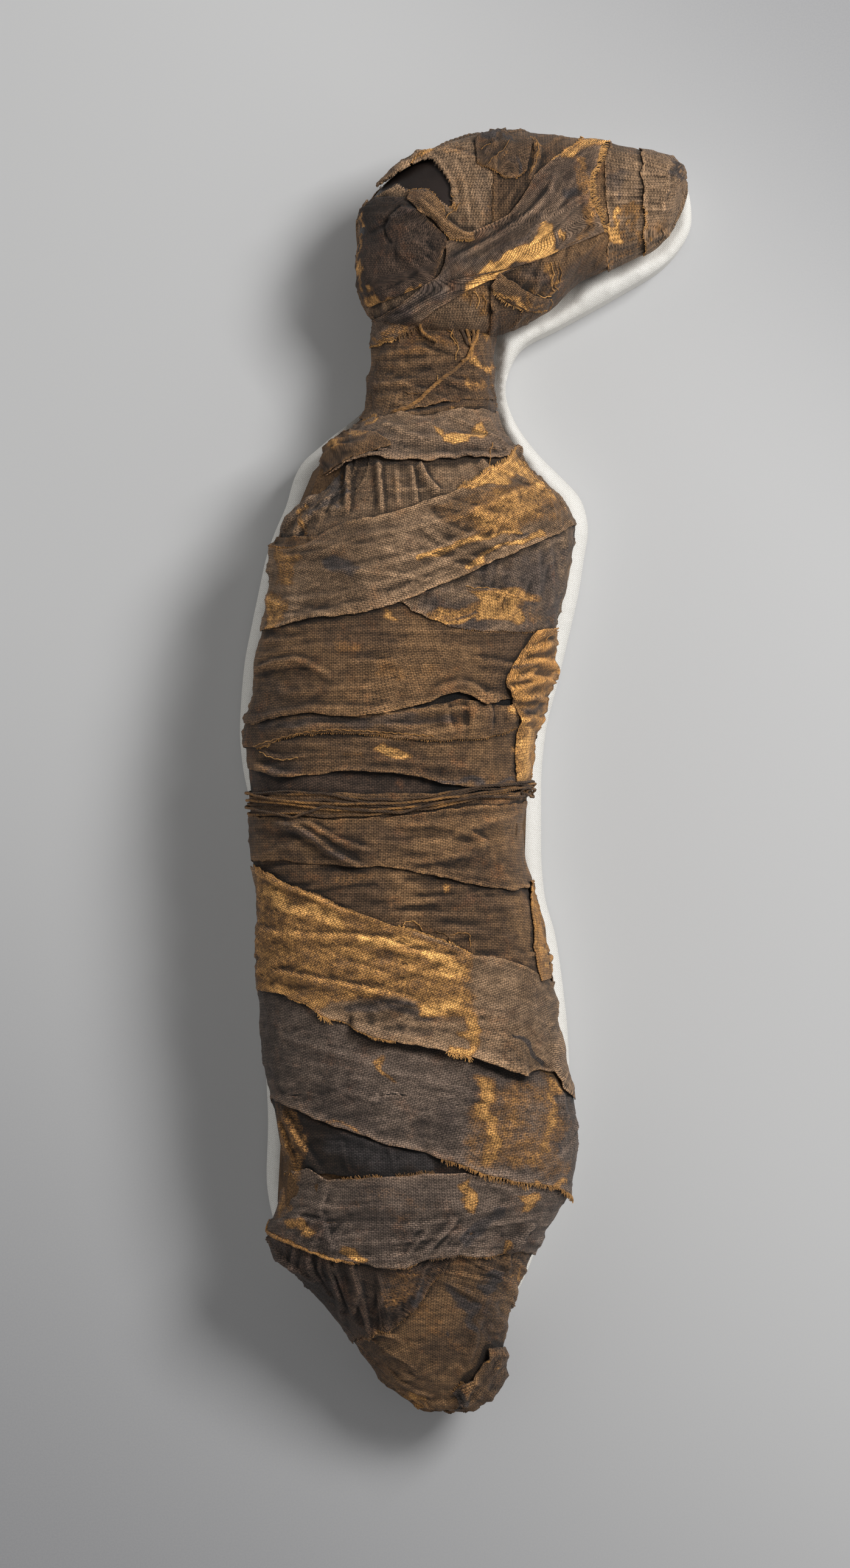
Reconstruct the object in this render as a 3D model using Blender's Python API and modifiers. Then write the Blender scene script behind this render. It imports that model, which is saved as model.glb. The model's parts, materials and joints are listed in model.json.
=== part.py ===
"""A wrapped canine mummy lying in a fitted padded support.

The animal lies along Y, head towards +Y with its muzzle pointing to +X, and the wrapped front
faces +Z. The support stands on z = 0. Outlines are in millimetres from the middle of the
wrapped body, and everything is moved at the end so that the box of the whole object is
centred on the Z axis.
"""
import math

import bmesh
import bpy
import numpy as np
from mathutils import Vector

MM = 0.001

# Cloth, in metres
LINEN = 0.0015
CLEARANCE = 0.0003
PLY = LINEN + CLEARANCE
SHROUD_LEVEL = 3
CORD_PLIES = 2

# Meshing
RING_POINTS = 14
SECTION_POWER = 2.0 / 2.5
CUT_REACH = 0.5
LIMB_STEPS = 8
RIM_SEGMENTS = 2
TUBE_RESOLUTION = 2
WELD_DISTANCE = 0.00001
SMOOTH_ANGLE = math.radians(40)
TINY = 1e-12

# Heights, in metres
BED_HEIGHT = 0.020
SPLIT_HEIGHT = 0.078
HEAD_SPLIT_HEIGHT = 0.068

# The support, in metres
BOARD_THICK = 0.006
BOARD_INSET = 0.004
RIM_HEIGHT = 0.045
COVER_THICK = 0.0012
COVER_HEM = 0.001
RIM_ROUND = 0.012
SUPPORT_PLAY = 0.0005

# The dried animal, as depths below the wrapped outline, in metres
TRUNK_DEPTH = 0.030
NECK_DEPTH = 0.018
SKULL_DEPTH = 0.015
LEG_RADIUS = 0.009
LEG_DEPTH = 0.0185
TAIL_RADIUS = 0.006
TAIL_DEPTH = 0.042
HANK_RADIUS = 0.0045
TIE_LIFT = 0.0021
HEM_RADIUS = 0.003

# Wrapped body from neck to foot: Y, left X, right X and thickness of each section, in mm
BODY_SECTIONS = (
    (330, -26, 40, 64),
    (290, -34, 45, 76),
    (252, -37, 44, 82),
    (228, -40, 52, 90),
    (214, -64, 63, 102),
    (200, -77, 70, 110),
    (178, -86, 91, 121),
    (150, -96, 98, 130),
    (118, -104, 89, 136),
    (75, -114, 80, 140),
    (20, -114, 72, 139),
    (-45, -107, 70, 137),
    (-105, -105, 80, 136),
    (-165, -103, 89, 136),
    (-225, -98, 96, 131),
    (-262, -100, 83, 122),
    (-290, -96, 71, 113),
    (-315, -76, 61, 101),
    (-350, -47, 52, 83),
    (-380, -27, 46, 63),
    (-395, -8, 34, 46),
)
FOOT_TIP = (12, -399)
NECK_TIP = (8, 332)

# Wrapped head from nape to nose: X, top Y, bottom Y, thickness and underside height, in mm
HEAD_SECTIONS = (
    (-42, 357, 311, 52, 28),
    (-36, 370, 297, 70, 25),
    (-24, 383, 285, 83, 22),
    (-4, 397, 278, 93, 21),
    (23, 407, 278, 98, 21),
    (52, 410, 284, 98, 21),
    (78, 408, 298, 91, 23),
    (102, 406, 319, 79, 26),
    (126, 403, 328, 67, 30),
    (146, 399, 338, 57, 33),
    (157, 396, 353, 47, 36),
    (162, 393, 371, 36, 40),
)
NAPE_TIP = (-44, 334)
NOSE_TIP = (165, 383)

# The dried animal inside: X of the head's ends, and Y of the ends of the rest, in mm
SKULL_SPAN = (-24, 146)
SKULL_ROUND = SKULL_DEPTH / 3
NECK_TOP = 328
TRUNK_SPAN = (188, -228)
FORELEG_SPAN = (150, -70)
HINDLEG_SPAN = (-110, -288)
TAIL_END = -335
TAIL_GAP = 3
TAIL_ROOM = 3 * TAIL_GAP * MM
SECTION_SPACING = 4
JAW_LINE = ((28, 270), (35, 309), (77, 341), (170, 366), (170, 270))

# Outline of the support, in mm, clockwise from the muzzle
SUPPORT_OUTLINE = (
    (168, 378), (170, 358), (158, 336), (122, 312), (86, 292), (60, 277), (51, 250),
    (56, 233), (72, 210), (98, 181), (103, 162), (97, 131), (83, 62), (72, 0), (74, -42),
    (83, -96), (91, -160), (89, -210), (76, -278), (58, -325), (28, -356), (-16, -364),
    (-53, -337), (-86, -292), (-101, -250), (-101, -190), (-104, -130), (-107, -70),
    (-112, -10), (-116, 55), (-107, 108), (-95, 155), (-76, 195), (-50, 226), (-32, 250),
    (-27, 295), (-28, 340), (-12, 374), (25, 393), (80, 398), (130, 395), (155, 388),
)

# Cut lines of the outer wraps, in mm. Ring wraps reach past both sides of the body, and lines
# that reach past its ends or past the head use the other values.
LEFT, RIGHT = -150, 150
NECK_END = 350
SIDE_REACH = 200
END_REACH = 450
HEAD_FOOT = 200
WRAP_GAP = 1
WHOLE_OUTLINE = (
    (-SIDE_REACH, -END_REACH), (SIDE_REACH, -END_REACH), (SIDE_REACH, END_REACH), (-SIDE_REACH, END_REACH),
)
NECK_UPPER_WRAP = (
    (LEFT, NECK_END), (RIGHT, NECK_END), (RIGHT, 252), (62, 248), (23, 243), (-19, 234), (LEFT, 220),
)
NECK_LOWER_WRAP = ((LEFT, 252), (RIGHT, 262), (RIGHT, 214), (LEFT, 212))
NECK_SHROUD = ((LEFT, NECK_END), (RIGHT, NECK_END), (RIGHT, 230), (LEFT, 230))
COLLAR_WRAP = (
    (LEFT, 218), (-19, 232), (23, 240), (62, 245), (RIGHT, 248), (RIGHT, 210), (53, 206),
    (37, 204), (-3, 201), (-47, 201), (-65, 192), (-83, 186), (LEFT, 170),
)
CHEST_LINEN = ((LEFT, 209), (0, 211), (RIGHT, 211), (RIGHT, 160), (LEFT, 160))
LEFT_SHOULDER_FOLD = ((-86, 196), (-68, 222), (-47, 229), (-34, 226), (-36, 207), (-47, 202), (-65, 192))
SHOULDER_SASH = (
    (LEFT, 146), (-98, 146), (-63, 150), (-56, 176), (-20, 180), (25, 187), (37, 194), (53, 205),
    (59, 220), (88, 212), (RIGHT, 200), (RIGHT, 180), (95, 166), (68, 152), (43, 141), (14, 127),
    (-8, 117), (-31, 108), (-63, 104), (-95, 97), (LEFT, 90),
)
CHEST_PANEL = ((0, 114), (16, 131), (55, 155), (95, 174), (RIGHT, 180), (RIGHT, 98), (58, 99), (4, 101))
CHEST_WRAP = (
    (LEFT, 158), (RIGHT, 158), (RIGHT, 54), (54, 52), (36, 53), (10, 56), (-19, 50), (-59, 47),
    (LEFT, 46),
)
SIDE_CLOTH = ((53, 97), (88, 97), (RIGHT, 96), (RIGHT, 55), (53, 55), (48, 76))
WAIST_WRAP_UPPER = (
    (LEFT, 46), (-106, 41), (-63, 45), (-19, 48), (23, 54), (54, 52), (RIGHT, 53), (RIGHT, 33),
    (54, 34), (25, 31), (0, 30), (-51, 34), (-74, 32), (-103, 23), (LEFT, 18),
)
WAIST_WRAP_LOWER = (
    (LEFT, 45), (-59, 45), (-19, 49), (10, 54), (54, 50), (RIGHT, 51), (RIGHT, -5), (27, -4),
    (-19, 3), (-51, 5), (-95, 5), (LEFT, 9),
)
WAIST_CORD = (
    (LEFT, -1), (-110, -2), (-79, -10), (-19, -10), (17, -6), (51, -1), (RIGHT, 1), (RIGHT, -17),
    (51, -19), (17, -24), (-19, -29), (-79, -29), (-110, -21), (LEFT, -20),
)
UPPER_TORSO_WRAP = (
    (LEFT, -21), (-110, -22), (-79, -30), (-19, -30), (17, -25), (51, -20), (RIGHT, -18),
    (RIGHT, -66), (66, -65), (33, -62), (10, -57), (-28, -53), (-63, -51), (-99, -47), (LEFT, -47),
)
MID_TORSO_WRAP = (
    (LEFT, 8), (-95, 4), (-51, 4), (-19, 2), (27, -5), (RIGHT, -6), (RIGHT, -160), (LEFT, -110),
)
OCHRE_WRAP = (
    (LEFT, -48), (-108, -50), (-88, -61), (-74, -66), (-59, -77), (-40, -83), (-8, -93), (27, -105),
    (60, -109), (RIGHT, -111), (RIGHT, -198), (82, -185), (62, -183), (39, -176), (10, -167),
    (-21, -161), (-51, -150), (-74, -134), (-88, -131), (LEFT, -129),
)
SIDE_STRIP = ((66, -67), (RIGHT, -67), (RIGHT, -109), (66, -107))
HIP_BAND = (
    (LEFT, -111), (RIGHT, -161), (RIGHT, -262), (93, -259), (77, -251), (54, -248), (10, -235),
    (-25, -225), (-59, -211), (-82, -205), (-100, -198), (LEFT, -192),
)
UNDERLAP_WRAP = ((LEFT, -197), (RIGHT, -197), (RIGHT, -244), (-49, -245), (LEFT, -245))
THIGH_WRAP = (
    (LEFT, -246), (-49, -246), (RIGHT, -245), (RIGHT, -297), (48, -297), (3, -295), (-9, -302),
    (-31, -304), (-46, -299), (-65, -294), (-86, -283), (-101, -275), (LEFT, -270),
)
TRUNK_SHROUD = ((LEFT, 229), (RIGHT, 229), (RIGHT, -196), (LEFT, -196))
FOOT_TOP = -197
FOOT_SEAM = (
    (13, FOOT_TOP), (13, -301), (6, -314), (-7, -331), (-23, -342), (-52, -356), (-52, -END_REACH),
)
FOOT_END_FLAP = ((16, -386), (19, -367), (35, -352), (53, -360), (50, -382), (35, -394))

NAPE_PATCH = (
    (-60, 362), (-31, 369), (-11, 363), (1, 347), (10, 340), (7, 315), (0, 301), (-11, 304),
    (-34, 299), (-60, 306),
)
CROWN_EDGE = 43
CHEEK_EDGE = 116
NOSE_WRAP_EDGE = 137
BROW_PATCH = ((35, 430), (70, 430), (69, 375), (55, 362), (39, 368), (34, 385))
FOLDED_STRIP = ((-11, 371), (2, 374), (17, 356), (32, 351), (30, 341), (10, 345), (-4, 361))
CHEEK_BAND = (
    (-60, 250), (-34, 277), (-12, 301), (13, 337), (35, 346), (55, 360), (69, 375), (87, 398),
    (104, 430), (126, 430), (119, 405), (109, 397), (105, 375), (108, 336), (79, 330), (49, 319),
    (20, 306), (-4, 291), (-20, 262), (-24, 250),
)
JAW_BAND = ((41, 316), (55, 311), (71, 307), (80, 307), (78, 285), (60, 280), (46, 290))
CROWN_HOLE = (
    (-34, 368), (-33, 375), (-25, 380), (-9, 389), (4, 393), (10, 385), (16, 377), (17, 362),
    (9, 366), (1, 373), (-11, 372), (-22, 371),
)
NECK_TIE_PATH = ((34, 271), (29, 266), (23, 261), (15, 255), (6, 248), (-2, 241), (-8, 235))
ROLLED_HEM_PATH = ((-87, -286), (-82, -290), (-76, -293), (-66, -298), (-56, -302), (-48, -304))

# Colours of the cloth and the rest: linear red, green and blue
COLOURS = {
    "brown linen": (0.12, 0.065, 0.035),
    "dark linen": (0.075, 0.05, 0.038),
    "ochre linen": (0.42, 0.21, 0.07),
    "inner linen": (0.16, 0.10, 0.06),
    "cord": (0.17, 0.11, 0.065),
    "bone": (0.36, 0.27, 0.16),
    "dried skin": (0.02, 0.013, 0.01),
    "white linen": (0.75, 0.73, 0.68),
    "foam": (0.85, 0.85, 0.83),
    "board": (0.55, 0.52, 0.47),
}
LINEN_ROUGHNESS = 0.9
SKIN_ROUGHNESS = 0.45


def clear_scene():
    """Empty the scene before the object is modelled."""
    for old in list(bpy.data.objects):
        bpy.data.objects.remove(old, do_unlink=True)


def new_collection(name):
    """A collection linked to the scene."""
    collection = bpy.data.collections.new(name)
    bpy.context.scene.collection.children.link(collection)
    return collection


def material(name):
    """The Principled material of one of the named colours."""
    found = bpy.data.materials.get(name)
    if found:
        return found
    made = bpy.data.materials.new(name)
    made.use_nodes = True
    shader = made.node_tree.nodes["Principled BSDF"]
    shader.inputs["Base Color"].default_value = (*COLOURS[name], 1.0)
    shader.inputs["Metallic"].default_value = 0.0
    roughness = SKIN_ROUGHNESS if name == "dried skin" else LINEN_ROUGHNESS
    shader.inputs["Roughness"].default_value = roughness
    made.diffuse_color = (*COLOURS[name], 1.0)
    return made


def rounded(angle):
    """Cosine and sine of a rounded-box section at an angle."""
    across, along = math.cos(angle), math.sin(angle)
    return (
        math.copysign(abs(across) ** SECTION_POWER, across),
        math.copysign(abs(along) ** SECTION_POWER, along),
    )


def body_ring(section, inset=0.0):
    """Points of one section across the body, drawn in by inset."""
    y, left, right, thick = (value * MM for value in section)
    middle = (left + right) / 2
    half_width = (right - left) / 2 - inset
    half_thick = thick / 2 - inset
    axis = BED_HEIGHT + thick / 2
    ring = []
    for step in range(RING_POINTS):
        across, up = rounded(2 * math.pi * step / RING_POINTS)
        ring.append(Vector((middle + half_width * across, y, axis + half_thick * up)))
    return ring


def head_ring(section, inset=0.0):
    """Points of one section across the head, drawn in by inset."""
    x, top, bottom, thick, under = (value * MM for value in section)
    middle = (top + bottom) / 2
    half_height = (top - bottom) / 2 - inset
    half_thick = thick / 2 - inset
    axis = under + thick / 2
    ring = []
    for step in range(RING_POINTS):
        across, up = rounded(2 * math.pi * step / RING_POINTS)
        ring.append(Vector((x, middle + half_height * across, axis + half_thick * up)))
    return ring


def ring_middle(ring):
    """Mean point of a ring."""
    return sum(ring, Vector()) / len(ring)


def loft(name, rings, start=None, end=None):
    """A skin through the rings, closed by a fan at each end that has a tip."""
    shape = bmesh.new()
    rows = [[shape.verts.new(point) for point in ring] for ring in rings]
    count = len(rows[0])
    for first, second in zip(rows, rows[1:]):
        for step in range(count):
            after = (step + 1) % count
            shape.faces.new((first[step], first[after], second[after]))
            shape.faces.new((first[step], second[after], second[step]))
    if start is not None:
        tip = shape.verts.new(start)
        for step in range(count):
            shape.faces.new((rows[0][(step + 1) % count], rows[0][step], tip))
    if end is not None:
        tip = shape.verts.new(end)
        for step in range(count):
            shape.faces.new((rows[-1][step], rows[-1][(step + 1) % count], tip))
    mesh = bpy.data.meshes.new(name)
    shape.to_mesh(mesh)
    shape.free()
    return mesh


def body_form(name, open_neck=False):
    """The wrapped surface from the neck to the foot end."""
    rings = [body_ring(section) for section in BODY_SECTIONS]
    foot = Vector((FOOT_TIP[0] * MM, FOOT_TIP[1] * MM, ring_middle(rings[-1]).z))
    neck = Vector((NECK_TIP[0] * MM, NECK_TIP[1] * MM, ring_middle(rings[0]).z))
    return loft(name, rings, None if open_neck else neck, foot)


def head_form(name):
    """The wrapped surface of the head."""
    rings = [head_ring(section) for section in HEAD_SECTIONS]
    nape = Vector((NAPE_TIP[0] * MM, NAPE_TIP[1] * MM, ring_middle(rings[0]).z))
    nose = Vector((NOSE_TIP[0] * MM, NOSE_TIP[1] * MM, ring_middle(rings[-1]).z))
    return loft(name, rings, nape, nose)


def place(mesh_or_curve, name, finish=None):
    """An object for a piece of the mummy or support, or for a cutter when it has no finish."""
    made = bpy.data.objects.new(name, mesh_or_curve)
    if finish:
        PIECES.objects.link(made)
        mesh_or_curve.materials.clear()
        mesh_or_curve.materials.append(material(finish))
        if hasattr(mesh_or_curve, "shade_smooth"):
            mesh_or_curve.shade_smooth()
            mesh_or_curve.set_sharp_from_angle(angle=SMOOTH_ANGLE)
    else:
        CUTTERS.objects.link(made)
        made.hide_render = True
        made.display_type = "WIRE"
    return made


def sink(piece, depth):
    """Move the surface of a piece in by a depth, or out where the depth is negative."""
    move = piece.modifiers.new("depth", "DISPLACE")
    move.strength = -depth
    move.mid_level = 0.0
    return piece


def thicken(piece, thickness):
    """Give a skin its cloth thickness, inwards."""
    cloth = piece.modifiers.new("cloth", "SOLIDIFY")
    cloth.thickness = thickness
    cloth.offset = -1.0
    return piece


def trim(piece, cutter, keep=False):
    """Cut a piece with a cutter, keeping what lies inside it or outside it."""
    cut = piece.modifiers.new(cutter.name, "BOOLEAN")
    cut.operation = "INTERSECT" if keep else "DIFFERENCE"
    cut.solver = "EXACT"
    cut.object = cutter
    return piece


def prism(name, outline, low=-CUT_REACH, high=CUT_REACH):
    """An upright cutter with the given outline in mm."""
    shape = bmesh.new()
    corners = [shape.verts.new((x * MM, y * MM, low)) for x, y in outline]
    floor = shape.faces.new(corners)
    raised = bmesh.ops.extrude_face_region(shape, geom=[floor])
    top = [item for item in raised["geom"] if isinstance(item, bmesh.types.BMVert)]
    bmesh.ops.translate(shape, verts=top, vec=(0, 0, high - low))
    bmesh.ops.recalc_face_normals(shape, faces=shape.faces)
    mesh = bpy.data.meshes.new(name)
    shape.to_mesh(mesh)
    shape.free()
    return place(mesh, name)


def head_strip(low, high):
    """An outline in mm that reaches across the head between two X values."""
    return (low, HEAD_FOOT), (high, HEAD_FOOT), (high, END_REACH), (low, END_REACH)


def body_strip(high, low):
    """An outline in mm that reaches across the body between two Y values."""
    return (LEFT, high), (RIGHT, high), (RIGHT, low), (LEFT, low)


def curve_tube(name, points, radius, finish=None):
    """A solid tube through points, made a mesh so that it can be cut or be a cutter."""
    curve = bpy.data.curves.new(name, "CURVE")
    curve.dimensions = "3D"
    curve.bevel_depth = radius
    curve.bevel_resolution = TUBE_RESOLUTION
    curve.use_fill_caps = True
    spline = curve.splines.new("POLY")
    spline.points.add(len(points) - 1)
    for knot, point in zip(spline.points, points):
        knot.co = (*point, 1.0)
    source = bpy.data.objects.new(name + "_route", curve)
    CUTTERS.objects.link(source)
    evaluated = source.evaluated_get(bpy.context.evaluated_depsgraph_get())
    mesh = bpy.data.meshes.new_from_object(evaluated)
    bpy.data.objects.remove(source, do_unlink=True)
    shape = bmesh.new()
    shape.from_mesh(mesh)
    bmesh.ops.remove_doubles(shape, verts=shape.verts, dist=WELD_DISTANCE)
    bmesh.ops.recalc_face_normals(shape, faces=shape.faces)
    shape.to_mesh(mesh)
    shape.free()
    return place(mesh, name, finish)


def surface_height(mesh, x, y):
    """Height of the upper side of a form above a point, in metres."""
    shape = bmesh.new()
    shape.from_mesh(mesh)
    best = 0.0
    for face in shape.faces:
        corners = [corner.co for corner in face.verts]
        height = height_in_triangle(corners, x, y)
        if height is not None:
            best = max(best, height)
    shape.free()
    return best


def height_in_triangle(corners, x, y):
    """Height of a triangle over a point, or None where it lies beside the triangle."""
    first, second, third = corners
    across = (second.y - third.y) * (first.x - third.x) + (third.x - second.x) * (first.y - third.y)
    if abs(across) < TINY:
        return None
    one = ((second.y - third.y) * (x - third.x) + (third.x - second.x) * (y - third.y)) / across
    two = ((third.y - first.y) * (x - third.x) + (first.x - third.x) * (y - third.y)) / across
    three = 1.0 - one - two
    if min(one, two, three) < 0.0:
        return None
    return one * first.z + two * second.z + three * third.z


def body_wrap(name, level, outline, finish, plies=1):
    """A turn of linen round the body, cut to its outline and fitted to the head."""
    skin = place(body_form(name, open_neck=True), name, finish)
    sink(skin, level * PLY)
    thicken(skin, plies * PLY - CLEARANCE)
    trim(skin, prism(name + "_cut", outline), keep=True)
    return skin


def head_wrap(name, level, outline, finish):
    """A turn of linen round the head, cut to its outline."""
    skin = place(head_form(name), name, finish)
    sink(skin, level * PLY)
    thicken(skin, LINEN)
    trim(skin, prism(name + "_cut", outline), keep=True)
    return skin


def front_only(piece, height):
    """Keep only the part of a patch that faces the front."""
    return trim(piece, prism(piece.name + "_front", WHOLE_OUTLINE, height, CUT_REACH), keep=True)


def section_at(y):
    """The body section at a Y in mm, read between its two neighbours."""
    for upper, lower in zip(BODY_SECTIONS, BODY_SECTIONS[1:]):
        if lower[0] <= y <= upper[0]:
            share = (upper[0] - y) / (upper[0] - lower[0])
            return tuple(a + (b - a) * share for a, b in zip(upper, lower))
    raise ValueError("No body section there")


def inner_body(name, high, low, depth, finish=None, grow=0.0):
    """A solid inside the body between two Y values, a depth below the wrapped outline."""
    ends = [section_at(high), section_at(low)]
    inner_low, inner_high = low + SECTION_SPACING, high - SECTION_SPACING
    between = [section for section in BODY_SECTIONS if inner_low < section[0] < inner_high]
    rings = [body_ring(section, depth - grow) for section in (ends[0], *between, ends[1])]
    start, end = ring_middle(rings[0]), ring_middle(rings[-1])
    start.y += grow
    end.y -= grow
    return place(loft(name, rings, start, end), name, finish)


def inner_head(name, finish=None, grow=0.0):
    """The dried head, a depth below the wrapped outline."""
    low, high = SKULL_SPAN
    sections = [section for section in HEAD_SECTIONS if low <= section[0] <= high]
    rings = [head_ring(section, SKULL_DEPTH - grow) for section in sections]
    start, end = ring_middle(rings[0]), ring_middle(rings[-1])
    start.x -= SKULL_ROUND + grow
    end.x += SKULL_ROUND + grow
    return place(loft(name, rings, start, end), name, finish)


def limb_route(span, side):
    """Points down one side of the body, a set depth below the wrapped outline."""
    high, low = span
    points = []
    for step in range(LIMB_STEPS):
        y = high + (low - high) * step / (LIMB_STEPS - 1)
        _, left, right, thick = section_at(y)
        x = left * MM + LEG_DEPTH if side < 0 else right * MM - LEG_DEPTH
        points.append(Vector((x, y * MM, BED_HEIGHT + thick * MM / 2)))
    return points


def tail_route():
    """Points of the tail, from its root below the trunk down between the hind legs."""
    root = TRUNK_SPAN[1] - TAIL_GAP
    points = []
    for step in range(LIMB_STEPS):
        y = root + (TAIL_END - root) * step / (LIMB_STEPS - 1)
        _, left, right, thick = section_at(y)
        x = (left + right) / 2 * MM
        points.append(Vector((x, y * MM, BED_HEIGHT + thick * MM - TAIL_DEPTH)))
    return points


def with_room(route, room=CLEARANCE):
    """A route with its start drawn out by some room, and its end by the clearance."""
    start, end = route[0] - route[1], route[-1] - route[-2]
    return [
        route[0] + start.normalized() * room,
        *route[1:-1],
        route[-1] + end.normalized() * CLEARANCE,
    ]


def laid_route(mesh, path, lift):
    """A path in mm laid on the upper side of a form, held off it by a lift."""
    return [Vector((x * MM, y * MM, surface_height(mesh, x * MM, y * MM) + lift)) for x, y in path]


def grown_outline(outline, grow):
    """An outline in mm moved outwards by an amount in metres."""
    count = len(outline)
    points = [Vector((x, y)) for x, y in outline]
    moved = []
    for index, point in enumerate(points):
        along = points[(index + 1) % count] - points[index - 1]
        outward = Vector((-along.y, along.x)).normalized()
        moved.append(tuple(point + outward * grow / MM))
    return moved


def rounded_block(name, outline, low, high, finish=None, round_rim=0.0):
    """An upright block with the outline in mm, and a rounded upper rim where one is given."""
    block = prism(name, outline, low, high)
    if finish:
        CUTTERS.objects.unlink(block)
        mesh = block.data
        bpy.data.objects.remove(block, do_unlink=True)
        block = place(mesh, name, finish)
    if round_rim:
        mesh = block.data
        weights = mesh.attributes.new("bevel_weight_edge", "FLOAT", "EDGE")
        for edge in mesh.edges:
            heights = [mesh.vertices[index].co.z for index in edge.vertices]
            weights.data[edge.index].value = 1.0 if min(heights) > (low + high) / 2 else 0.0
        rim = block.modifiers.new("rim", "BEVEL")
        rim.limit_method = "WEIGHT"
        rim.width = round_rim
        rim.segments = RIM_SEGMENTS
    return block


def mummy_space(name, grow):
    """Cutters of the space that the body and the head take, grown by an amount."""
    body = sink(place(body_form(name + "_body"), name + "_body"), -grow)
    head = sink(place(head_form(name + "_head"), name + "_head"), -grow)
    return body, head


def build_support():
    """Base board, carved padding and linen cover."""
    board_outline = grown_outline(SUPPORT_OUTLINE, -BOARD_INSET)
    rounded_block("support_board", board_outline, 0.0, BOARD_THICK, "board")
    play = PLY + SUPPORT_PLAY
    padding_low = BOARD_THICK + CLEARANCE
    outer = grown_outline(SUPPORT_OUTLINE, -COVER_THICK - CLEARANCE)
    inner_rim = RIM_ROUND - COVER_THICK
    padding = rounded_block(
        "support_padding", outer, padding_low, RIM_HEIGHT - COVER_THICK - CLEARANCE, "foam", inner_rim)
    for space in mummy_space("padding_space", play + COVER_THICK + CLEARANCE):
        trim(padding, space)
    cover = rounded_block("support_cover", SUPPORT_OUTLINE, COVER_HEM, RIM_HEIGHT, "white linen", RIM_ROUND)
    for space in mummy_space("cover_space", play):
        trim(cover, space)
    filling_outline = grown_outline(SUPPORT_OUTLINE, -COVER_THICK)
    filling = rounded_block(
        "cover_filling", filling_outline, -BOARD_THICK, RIM_HEIGHT - COVER_THICK, None, inner_rim)
    for space in mummy_space("filling_space", play + COVER_THICK):
        trim(filling, space)
    trim(cover, filling)


def build_animal():
    """The dried animal: skull, jaw, neck, trunk, legs and tail."""
    skull_space = inner_head("skull_space", grow=CLEARANCE)
    jaw_cut = prism("jaw_cut", JAW_LINE)
    jaw_room = prism("jaw_room", grown_outline(JAW_LINE, -CLEARANCE))
    trim(inner_head("skull", "dried skin"), jaw_cut)
    trim(inner_head("lower_jaw", "dried skin"), jaw_room, keep=True)
    trunk_high, trunk_low = TRUNK_SPAN
    neck_low = trunk_high + CLEARANCE / MM
    trim(inner_body("dried_neck", NECK_TOP, neck_low, NECK_DEPTH, "dried skin"), skull_space)
    inner_body("dried_trunk", trunk_high, trunk_low, TRUNK_DEPTH, "dried skin")
    curve_tube("left_foreleg", limb_route(FORELEG_SPAN, -1), LEG_RADIUS, "dried skin")
    curve_tube("right_foreleg", limb_route(FORELEG_SPAN, 1), LEG_RADIUS, "dried skin")
    curve_tube("left_hindleg", limb_route(HINDLEG_SPAN, -1), LEG_RADIUS, "dried skin")
    curve_tube("right_hindleg", limb_route(HINDLEG_SPAN, 1), LEG_RADIUS, "dried skin")
    curve_tube("tail", tail_route(), TAIL_RADIUS, "dried skin")
    return skull_space


def animal_space():
    """Cutters for the room that the dried trunk, neck, legs and tail take in the packing."""
    trunk_high, trunk_low = TRUNK_SPAN
    leg_room = LEG_RADIUS + CLEARANCE
    return {
        "trunk": inner_body("trunk_space", trunk_high, trunk_low, TRUNK_DEPTH, grow=CLEARANCE),
        "neck": inner_body("neck_space", NECK_TOP, trunk_high, NECK_DEPTH, grow=CLEARANCE),
        "left_fore": curve_tube("left_fore_space", with_room(limb_route(FORELEG_SPAN, -1)), leg_room),
        "right_fore": curve_tube("right_fore_space", with_room(limb_route(FORELEG_SPAN, 1)), leg_room),
        "left_hind": curve_tube("left_hind_space", with_room(limb_route(HINDLEG_SPAN, -1)), leg_room),
        "right_hind": curve_tube("right_hind_space", with_room(limb_route(HINDLEG_SPAN, 1)), leg_room),
        "tail": curve_tube("tail_space", with_room(tail_route(), TAIL_ROOM), TAIL_RADIUS + CLEARANCE),
    }


def packing_wad(name, form, box, hollows):
    """One wad of packing: the inside of the shroud within a box, less what it is packed round."""
    wad = place(form(name), name, "inner linen")
    sink(wad, (SHROUD_LEVEL + 1) * PLY + CLEARANCE)
    trim(wad, box, keep=True)
    for hollow in hollows:
        trim(wad, hollow)
    return wad


def build_packing(skull_space, room, head_space, hole):
    """Upper and lower wads round the head, the chest and the hips."""
    half = CLEARANCE / 2
    head_upper = prism("head_upper_box", WHOLE_OUTLINE, HEAD_SPLIT_HEIGHT + half, CUT_REACH)
    head_lower = prism("head_lower_box", WHOLE_OUTLINE, -CUT_REACH, HEAD_SPLIT_HEIGHT - half)
    packing_wad("head_packing_upper", head_form, head_upper, (skull_space, room["neck"], hole))
    packing_wad("head_packing_lower", head_form, head_lower, (skull_space, room["neck"]))
    chest = body_strip(NECK_END, half / MM)
    hips = body_strip(-half / MM, -END_REACH)
    fore = (room["trunk"], room["neck"], room["left_fore"], room["right_fore"], head_space)
    both = (room["trunk"], room["left_fore"], room["right_fore"], room["left_hind"], room["right_hind"])
    upper, lower = SPLIT_HEIGHT + half, SPLIT_HEIGHT - half
    packing_wad("chest_packing_upper", body_form, prism("chest_upper_box", chest, upper, CUT_REACH), fore)
    packing_wad("chest_packing_lower", body_form, prism("chest_lower_box", chest, -CUT_REACH, lower), fore)
    hind = (*both, room["tail"])
    packing_wad("hip_packing_upper", body_form, prism("hip_upper_box", hips, upper, CUT_REACH), hind)
    packing_wad("hip_packing_lower", body_form, prism("hip_lower_box", hips, -CUT_REACH, lower), hind)


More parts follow.
